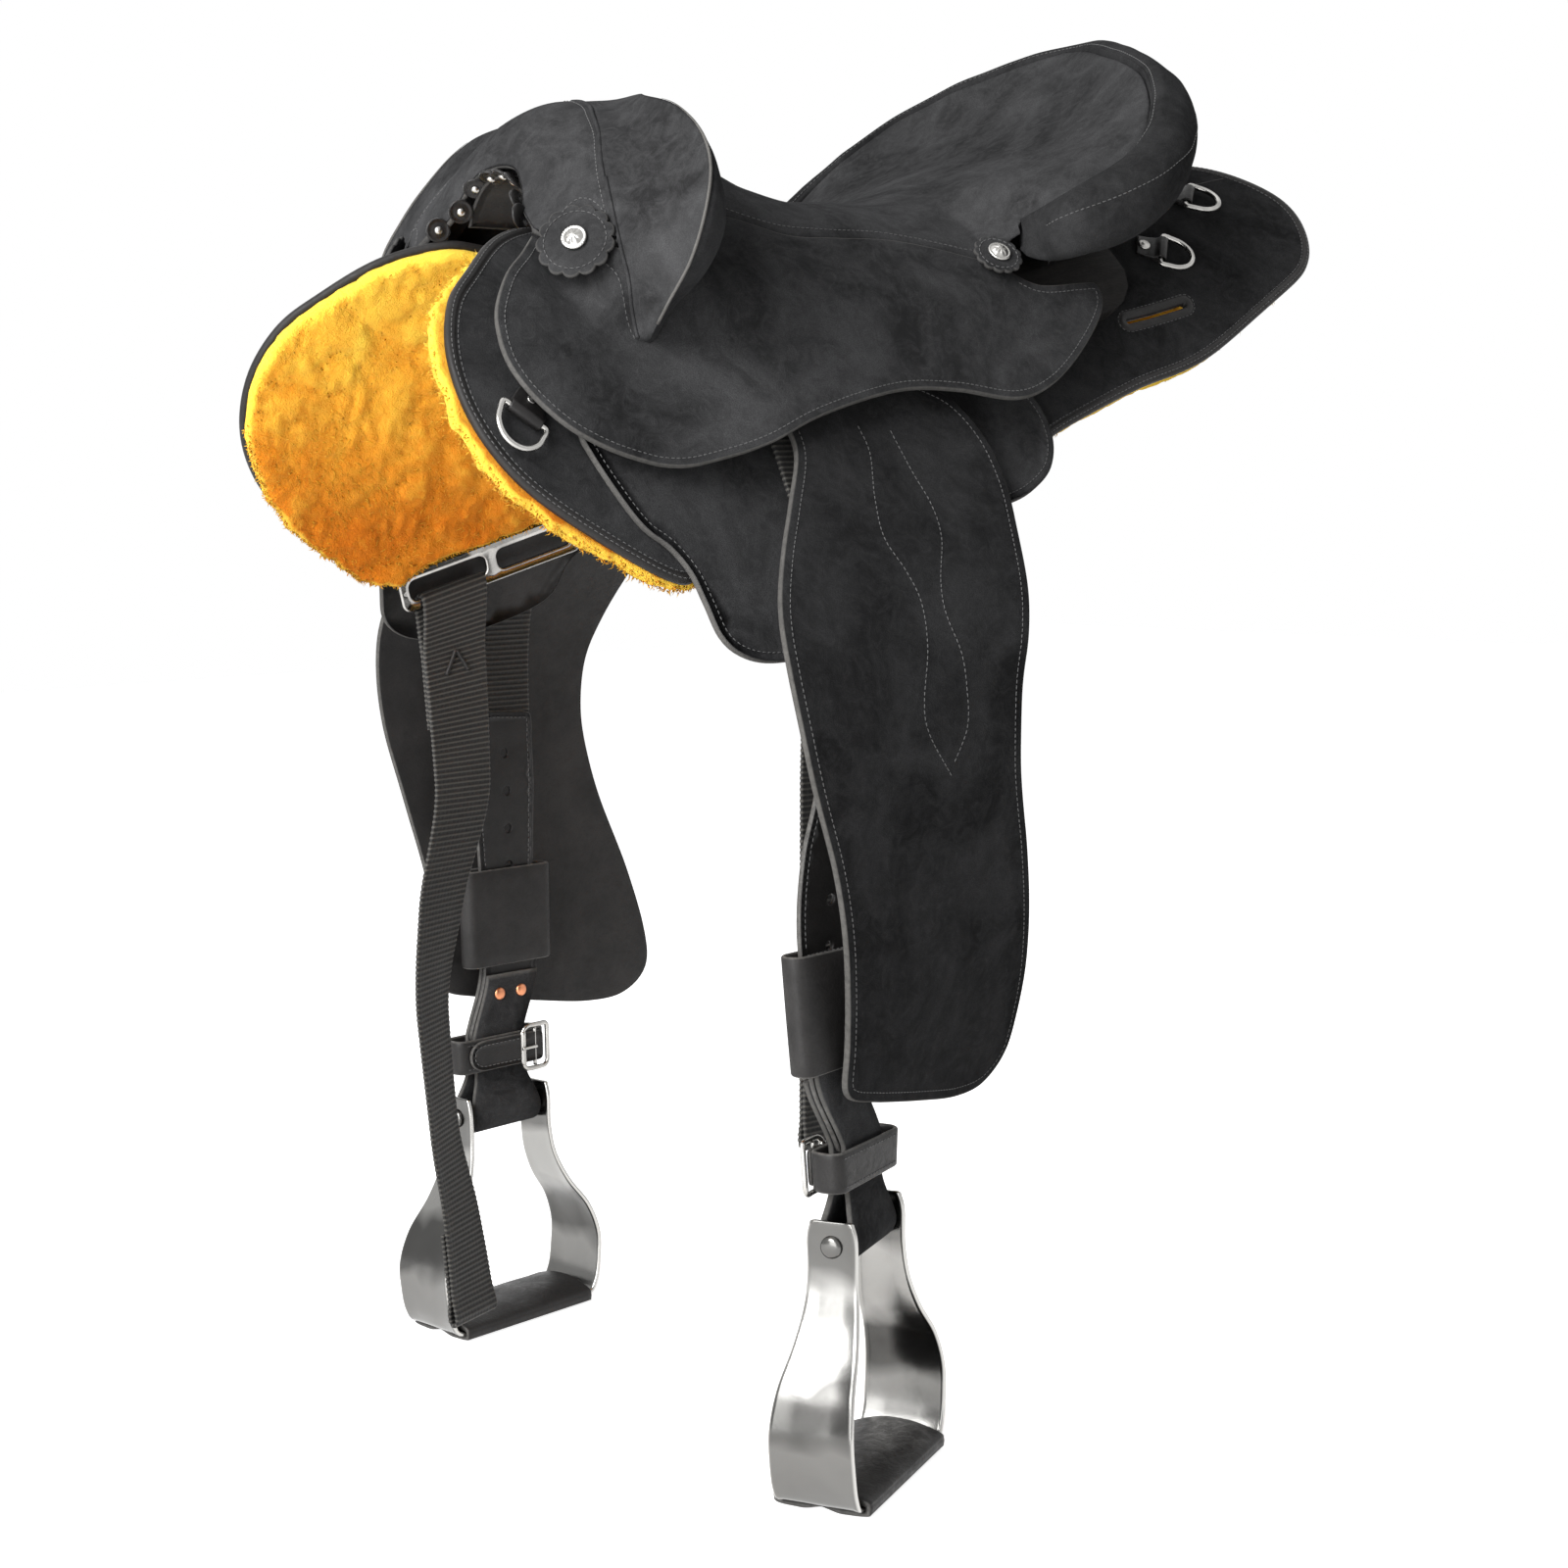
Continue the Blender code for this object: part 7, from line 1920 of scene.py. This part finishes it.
def bow_path():
    neck = NECK_HALF + BOW_PLATE / 2
    half = BOW_HALF
    return [(neck, NECK_RISE, NECK_DEPTH * 0.86), (neck, 0.004, NECK_DEPTH), (neck, -0.016, NECK_DEPTH),
            (neck + 0.003, -0.036, NECK_DEPTH + 0.003), (neck + 0.012, -0.056, NECK_DEPTH + 0.009),
            (half - 0.003, -0.076, TREAD_DEPTH - 0.005), (BOW_BELLY, -0.096, TREAD_DEPTH - 0.001),
            (BOW_BELLY - 0.0005, -0.114, TREAD_DEPTH), (half, -BOW_DROP + 0.008, TREAD_DEPTH),
            (half - 0.008, -BOW_DROP, TREAD_DEPTH), (half * 0.45, -BOW_DROP, TREAD_DEPTH),
            (0.0, -BOW_DROP, TREAD_DEPTH)]


def make_stirrups():
    half = bow_path()
    path = np.array(half + [(-p, z, d) for p, z, d in reversed(half[:-1])])
    path = np.array(smooth_run(path, 0.0022) + [path[-1]])
    spots, depth = path[:, :2], path[:, 2]
    normal = path_normal(spots)
    thin = BOW_PLATE * 0.5 * 0.80
    bead = BOW_PLATE * 0.5 * 1.12
    rim = [(0.0, 0.0), (0.0006, bead * 0.75), (0.0018, bead), (0.0034, bead * 0.90), (0.0048, thin)]
    ring = [(-0.5, w, off) for w, off in rim] + [(share, 0.0, thin) for share in (-0.2, 0.0, 0.2)]
    ring += [(0.5, -w, off) for w, off in reversed(rim)]
    ring += [(share, w, -off) for share, w, off in ring[-2:0:-1]]
    lit = [1.0 if abs(share) == 0.5 and abs(w) < 0.0012 else 0.0 for share, w, _ in ring]

    def side_piece(label, side):
        base, along, across = stirrup_axes(side)
        body = body_name("stirrup", label)
        rings = []
        for share, w, off in ring:
            spot = spots + normal * off
            rings.append(base + np.outer(spot[:, 0], along) + np.outer(spot[:, 1], UP)
                         + np.outer(depth * share + w, across))
        rings = np.stack(rings, 1)
        ends = [end.mean(0) + (end - end.mean(0)) * 0.90 + UP * 0.0007 for end in (rings[0], rings[-1])]
        rings = np.concatenate([ends[:1], rings, ends[1:]])
        loft(label + "_stirrup_casting", rings, "aluminium", body, "stirrup_bow_" + label,
             edge=np.tile(lit, len(rings)))
        bolt(label, body, base, along)
        tread(label, body, base, along, across)

    both(side_piece)


def bolt(label, body, base, along):
    """Bolt with a domed head at both ends and the loop's roller on it."""
    outer = NECK_HALF + BOW_PLATE
    inner = NECK_HALF - FIT_GAP
    dome = [(BOLT_HEAD_RADIUS * share, outer + BOLT_HEAD * height + FIT_GAP)
            for share, height in ((0.10, 1.0), (0.45, 0.96), (0.75, 0.72), (0.95, 0.35))]
    dome += [(BOLT_HEAD_RADIUS, outer + 0.0001), (BOLT_RADIUS, outer), (BOLT_RADIUS, inner),
             (ROLLER_RADIUS * 0.97, inner - 0.0002), (ROLLER_RADIUS, inner - 0.0012)]
    profile = [(radius, -height) for radius, height in dome] + dome[::-1]
    turned(label + "_stirrup_rivet", profile, base, along, "aluminium", body, 36, "stirrup_bolt_" + label,
           "steel")


def tread(label, body, base, along, across):
    """Leather sewn round the tread: padded on top, its two edges meeting in a fold below."""
    pad = TREAD_LEATHER
    low = -BOW_DROP - BOW_PLATE / 2 - 0.0004
    high = -BOW_DROP + BOW_PLATE / 2 + 0.0004
    deep = TREAD_DEPTH / 2 + 0.0004
    right = [(0.0030, low - pad * 0.35), (0.010, low - pad * 0.9), (deep * 0.6, low - pad * 0.95),
             (deep + pad * 0.4, low - pad * 0.7), (deep + pad, low + 0.0006), (deep + pad, high),
             (deep + pad * 0.3, high + pad * 0.95), (deep * 0.5, high + pad + TREAD_PAD)]
    left = [(-a, b) for a, b in right[::-1]]
    outer = left[3:] + [(0.0, low - pad * 0.15)] + right + [(0, high + pad + TREAD_PAD * 1.25)] + left[:3]
    outer = around(np.array(outer), 90)
    inner = rounded_box((0, (low + high) / 2), (2 * deep, high - low), 0.001, 0, 2, 0.004)
    inner = np.array([inner[((inner - p) ** 2).sum(1).argmin()] for p in outer])
    reach = BOW_HALF - 0.008
    middle = np.array((0.0, (low + high) / 2 + TREAD_PAD * 0.4))

    def placed(share, section):
        return base + np.outer(section[:, 0], across) + np.outer(section[:, 1], UP) + along * reach * share

    rings, edges = [], []
    steps = [(-1.0, 0.965, 1.0), *((s, 1.0, 0.0) for s in np.linspace(-0.985, 0.985, 33)), (1.0, 0.965, 1.0)]
    for s, grow, edge in steps:
        ripple = 0.00016 * np.sin(s * 9 + outer[:, 0] * 140) * (outer[:, 1] > high)
        rings.append(placed(s, middle + (outer - middle) * grow + stack(0 * ripple, ripple)))
        edges.append(np.full(len(outer), edge))
    for s in np.linspace(0.99, -0.99, 9):
        rings.append(placed(s, inner))
        edges.append(np.full(len(inner), 0.4))
    loft(label + "_tread_leather", np.array(rings), "smooth", body, "tread_cover_" + label, closed=True,
         edge=np.concatenate(edges))
    s = np.linspace(-0.95, 0.95, 30)
    seam = base + np.outer(s * reach, along) + UP * (low - pad * 0.80)
    runs = [(seam + across * sign * 0.0075, np.tile(-UP, (30, 1)), False) for sign in (1, -1)]
    stitches(label + "_tread_stitches", runs, body, 0.4)


def make_latigos(sizes):
    turn_at = (0.0, 0.12, 0.20, 0.27, 0.34, 0.40, 0.464)
    drift = spline(turn_at, (0.0, -0.003, -0.027, -0.040, -0.039, -0.032, -0.028))
    turn = spline(turn_at, (0.0, 6.0, 20.0, 34.0, 37.0, 30.0, 22.0))
    wrap = math.hypot(PLATE_BAR, PLATE_STEEL) / 2 + FIT_GAP + WEBBING / 2
    gap = WEBBING + FIT_GAP
    swell = 0.0012
    mark = [(-0.0080, -0.051), (-0.0030, -0.042), (0.0, -0.037), (0.0030, -0.042), (0.0080, -0.051)]
    mark = open_line(mark, 0.0012)

    def strap_path(length):
        """Places (outward, height) along the strap: its lap, over the bar, down and round its sewn end."""
        rows = (-LATIGO_LAP, -0.055, -0.036)
        fold = [-length + LATIGO_FOLD * t for t in (1.0, 0.75, 0.50, 0.28)]
        lap = [(gap, height) for height in rows] + [(wrap * 0.9, -0.014)]
        over = [(wrap * math.cos(t), wrap * math.sin(t)) for t in np.radians(np.arange(0, 181, 30))]
        down = [(-wrap * 0.8, -0.012)] + [(0.0, height) for height in rows[::-1]]
        down += [(0.0, -length * t) for t in (0.28, 0.37, 0.46, 0.55, 0.64, 0.73, 0.80)]
        end = [(0.0, height) for height in fold]
        end += [(-swell, -length + 0.007), (-swell * 0.6, -length + 0.002), (gap * 0.5, -length),
                (gap + swell * 0.6, -length + 0.002), (gap + swell, -length + 0.007)]
        return open_line(lap + over + down + end + [(gap, height) for height in fold[::-1]], 0.002)

    def side_piece(label, side):
        plate = plate_place(side)
        bar = LATIGO_SLOT[side] * (PLATE_SLOT[0] + PLATE_WEB) / 2, PLATE_SLOT[1] / 2 + PLATE_BAR / 2
        middle = plate(*bar, 0.5)
        rise = plate(bar[0] + 0.01, bar[1], 0.5) - middle
        rise = rise / rise[0] * (0, 1, 1)
        curl = LATIGO_CURL[side]
        slope = math.tan(math.radians(LATIGO_LEAN[side]))

        def place(c, out, height):
            c, out = np.asarray(c)[..., None], np.asarray(out)[..., None]
            below = np.maximum(-height, 0.0)
            fade = np.clip(1.0 - below / 0.12, 0, 1)[..., None]
            angle = np.radians(turn(below)) * curl
            first = stack(np.cos(angle), np.sin(angle), 0 * angle)
            second = stack(-np.sin(angle), np.cos(angle), 0 * angle) * side
            shift = stack(drift(below) * curl, -side * slope * below, height)
            return middle + first * c + rise * (c * fade) + second * out + shift

        body = body_name("latigo_set", label)
        length = middle[2] - form(STRAP_LINE, LATIGO_BOTTOM[side], 0, side)[2]
        webbing_strap(label + "_latigo_webbing", strap_path(length), LATIGO_WIDTH / 2, place, body,
                      "latigo_" + label, sizes)
        chevron = place(mark[:, 0], np.full(len(mark), -WEBBING / 2 - 0.0002), mark[:, 1])
        wire(label + "_latigo_chevron", chevron, 0.0012, "smooth", body, around=8)

    both(side_piece)


def make_tree():
    """The tree's bars and boards keep their solids and get a wood grain."""
    for name in ("tree_fork", "tree_cantle", "tree_bar_near", "tree_bar_off"):
        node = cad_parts[name]
        node.data.materials.clear()
        node.data.materials.append(finish_of("wood"))


def place_camera():
    az, el = math.radians(CAMERA_AZIMUTH), math.radians(CAMERA_ELEVATION)
    back = Vector((math.sin(az) * math.cos(el), -math.cos(az) * math.cos(el), math.sin(el)))
    right = (-back).cross(Vector((0, 0, 1))).normalized()
    up = right.cross(-back)
    roll = math.radians(CAMERA_ROLL)
    across = right * math.cos(roll) + up * math.sin(roll)
    upward = up * math.cos(roll) - right * math.sin(roll)
    data = bpy.data.cameras.new("picture_camera")
    data.sensor_width = CAMERA_SENSOR
    data.lens = CAMERA_LENS
    data.clip_start = 0.02
    camera = bpy.data.objects.new("picture_camera", data)
    camera.matrix_world = Matrix.Translation(Vector(CAMERA_TARGET) + back * CAMERA_DISTANCE) @ Matrix(
        (across, upward, back)).transposed().to_4x4()
    bpy.context.scene.collection.objects.link(camera)
    bpy.context.scene.camera = camera


def make_stage():
    """Pale floor and world, soft lamps and the picture's camera."""
    scene = bpy.context.scene
    mesh = bpy.data.meshes.new("floor")
    wide = FLOOR_HALF
    corners = [(-wide, -wide, 0), (wide, -wide, 0), (wide, wide, 0), (-wide, wide, 0)]
    mesh.from_pydata(corners, [], [(0, 1, 2, 3)])
    floor = bpy.data.objects.new("floor", mesh)
    floor.location.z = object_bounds()[0].z - 0.0005
    scene.collection.objects.link(floor)
    f = Finish("pale_floor")
    paper = f.ramp(f.noise(3.0, 3.0), (0.3, 0.90), (0.7, 0.94))
    f.set(Base_Color=paper, Roughness=0.9, Specular_IOR_Level=0.1)
    white = f.node("Emission", {"Color": WHITE, "Strength": f.math("MULTIPLY", f.seen(), FLOOR_GLOW)})
    lit = f.node("AddShader", {0: f.shader.outputs[0], 1: white.outputs[0]})
    f.feed(f.tree.nodes["Material Output"].inputs["Surface"], lit.outputs[0])
    mesh.materials.append(f.material)
    floor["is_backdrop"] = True

    scene.world = bpy.data.worlds.new("studio")
    scene.world.use_nodes = True
    sky = Nodes(scene.world.node_tree)
    strength = sky.node("MapRange", {"Value": sky.seen(), "To Min": WORLD_LIGHT, "To Max": 1.0})
    background = sky.tree.nodes["Background"]
    sky.feed(background.inputs["Strength"], strength.outputs[0])
    sky.feed(background.inputs["Color"], WHITE)

    for name, place, size, power in LAMPS:
        light = bpy.data.lights.new(name, "AREA")
        light.size = size
        light.energy = power
        made = bpy.data.objects.new(name, light)
        made.location = place
        made.rotation_euler = (Vector(place) - Vector(LAMP_AIM)).to_track_quat("Z", "Y").to_euler()
        scene.collection.objects.link(made)

    place_camera()
    scene.view_settings.view_transform = "Standard"


class SADDLE_OT_stage(bpy.types.Operator):
    """Floor, world, lamps and camera"""
    bl_idname = "saddle.stage"
    bl_label = "Stage"

    def execute(self, context):
        make_stage()
        return {"FINISHED"}


class SADDLE_OT_tree(bpy.types.Operator):
    """Near-black wood grain on the tree's bars and boards, partly painted shade"""
    bl_idname = "saddle.tree"
    bl_label = "Tree"

    def execute(self, context):
        make_tree()
        return {"FINISHED"}


class SADDLE_OT_skirts(bpy.types.Operator):
    """Bound skirts with their stitching and strap slots"""
    bl_idname = "saddle.skirts"
    bl_label = "Skirts"

    def execute(self, context):
        make_skirts()
        return {"FINISHED"}


class SADDLE_OT_fleece(bpy.types.Operator):
    """Wool lining under both skirts"""
    bl_idname = "saddle.fleece"
    bl_label = "Fleece"

    def execute(self, context):
        make_fleece(context.scene.saddle_sizes)
        return {"FINISHED"}


class SADDLE_OT_rigging(bpy.types.Operator):
    """Rigging panels and their steel plates"""
    bl_idname = "saddle.rigging"
    bl_label = "Rigging"

    def execute(self, context):
        make_rigging(context.scene.saddle_sizes)
        return {"FINISHED"}


class SADDLE_OT_jockeys(bpy.types.Operator):
    """Jockeys with stitched cut edges"""
    bl_idname = "saddle.jockeys"
    bl_label = "Jockeys"

    def execute(self, context):
        make_jockeys(context.scene.saddle_sizes)
        return {"FINISHED"}


class SADDLE_OT_pommel(bpy.types.Operator):
    """Pommel cover, gullet lining and the arch's petals"""
    bl_idname = "saddle.pommel"
    bl_label = "Pommel"

    def execute(self, context):
        make_pommel()
        return {"FINISHED"}


class SADDLE_OT_seat(bpy.types.Operator):
    """Padded seat"""
    bl_idname = "saddle.seat"
    bl_label = "Seat"

    def execute(self, context):
        make_seat()
        return {"FINISHED"}


class SADDLE_OT_cantle(bpy.types.Operator):
    """Padded back of the cantle"""
    bl_idname = "saddle.cantle"
    bl_label = "Cantle"

    def execute(self, context):
        make_cantle()
        return {"FINISHED"}


class SADDLE_OT_poleys(bpy.types.Operator):
    """Poleys with their welts"""
    bl_idname = "saddle.poleys"
    bl_label = "Poleys"

    def execute(self, context):
        make_poleys()
        return {"FINISHED"}


class SADDLE_OT_rosettes(bpy.types.Operator):
    """Scalloped rosettes and silver buttons"""
    bl_idname = "saddle.rosettes"
    bl_label = "Rosettes"

    def execute(self, context):
        make_rosettes()
        return {"FINISHED"}


class SADDLE_OT_rings(bpy.types.Operator):
    """Dees in their leather keepers"""
    bl_idname = "saddle.rings"
    bl_label = "Rings"

    def execute(self, context):
        make_rings()
        return {"FINISHED"}


class SADDLE_OT_fenders(bpy.types.Operator):
    """Fenders with their scroll stitching"""
    bl_idname = "saddle.fenders"
    bl_label = "Fenders"

    def execute(self, context):
        make_fenders(context.scene.saddle_sizes)
        return {"FINISHED"}


class SADDLE_OT_straps(bpy.types.Operator):
    """Stirrup straps, sleeves, loops, hobble straps and buckles"""
    bl_idname = "saddle.straps"
    bl_label = "Straps"

    def execute(self, context):
        make_straps(context.scene.saddle_sizes)
        return {"FINISHED"}


class SADDLE_OT_stirrups(bpy.types.Operator):
    """Cast stirrups with rivets and tread leather"""
    bl_idname = "saddle.stirrups"
    bl_label = "Stirrups"

    def execute(self, context):
        make_stirrups()
        return {"FINISHED"}


class SADDLE_OT_latigos(bpy.types.Operator):
    """Webbing latigos folded through the rigging plates"""
    bl_idname = "saddle.latigos"
    bl_label = "Latigos"

    def execute(self, context):
        make_latigos(context.scene.saddle_sizes)
        return {"FINISHED"}


OPERATORS = (SADDLE_OT_stage, SADDLE_OT_tree, SADDLE_OT_skirts, SADDLE_OT_fleece, SADDLE_OT_rigging,
             SADDLE_OT_jockeys, SADDLE_OT_pommel, SADDLE_OT_seat, SADDLE_OT_cantle, SADDLE_OT_poleys,
             SADDLE_OT_rosettes, SADDLE_OT_rings, SADDLE_OT_fenders, SADDLE_OT_straps, SADDLE_OT_stirrups,
             SADDLE_OT_latigos)


class SADDLE_PT_panel(bpy.types.Panel):
    """Saddle pieces"""
    bl_idname = "SADDLE_PT_panel"
    bl_label = "Half breed saddle"
    bl_space_type = "VIEW_3D"
    bl_region_type = "UI"
    bl_category = "Saddle"

    def draw(self, context):
        for group in (context.scene.saddle_sizes, context.scene.saddle_colours):
            for name in group.__annotations__:
                self.layout.prop(group, name)
        for item in OPERATORS:
            self.layout.operator(item.bl_idname)


CLASSES = (SaddleSizes, SaddleColours, *OPERATORS, SADDLE_PT_panel)


def register():
    for item in CLASSES:
        bpy.utils.register_class(item)
    bpy.types.Scene.saddle_sizes = bpy.props.PointerProperty(type=SaddleSizes)
    bpy.types.Scene.saddle_colours = bpy.props.PointerProperty(type=SaddleColours)


def unregister():
    del bpy.types.Scene.saddle_sizes
    del bpy.types.Scene.saddle_colours
    for item in reversed(CLASSES):
        bpy.utils.unregister_class(item)


def main():
    register()
    for item in OPERATORS:
        getattr(bpy.ops.saddle, item.bl_idname.split(".")[1])()


if __name__ == "__main__":
    main()
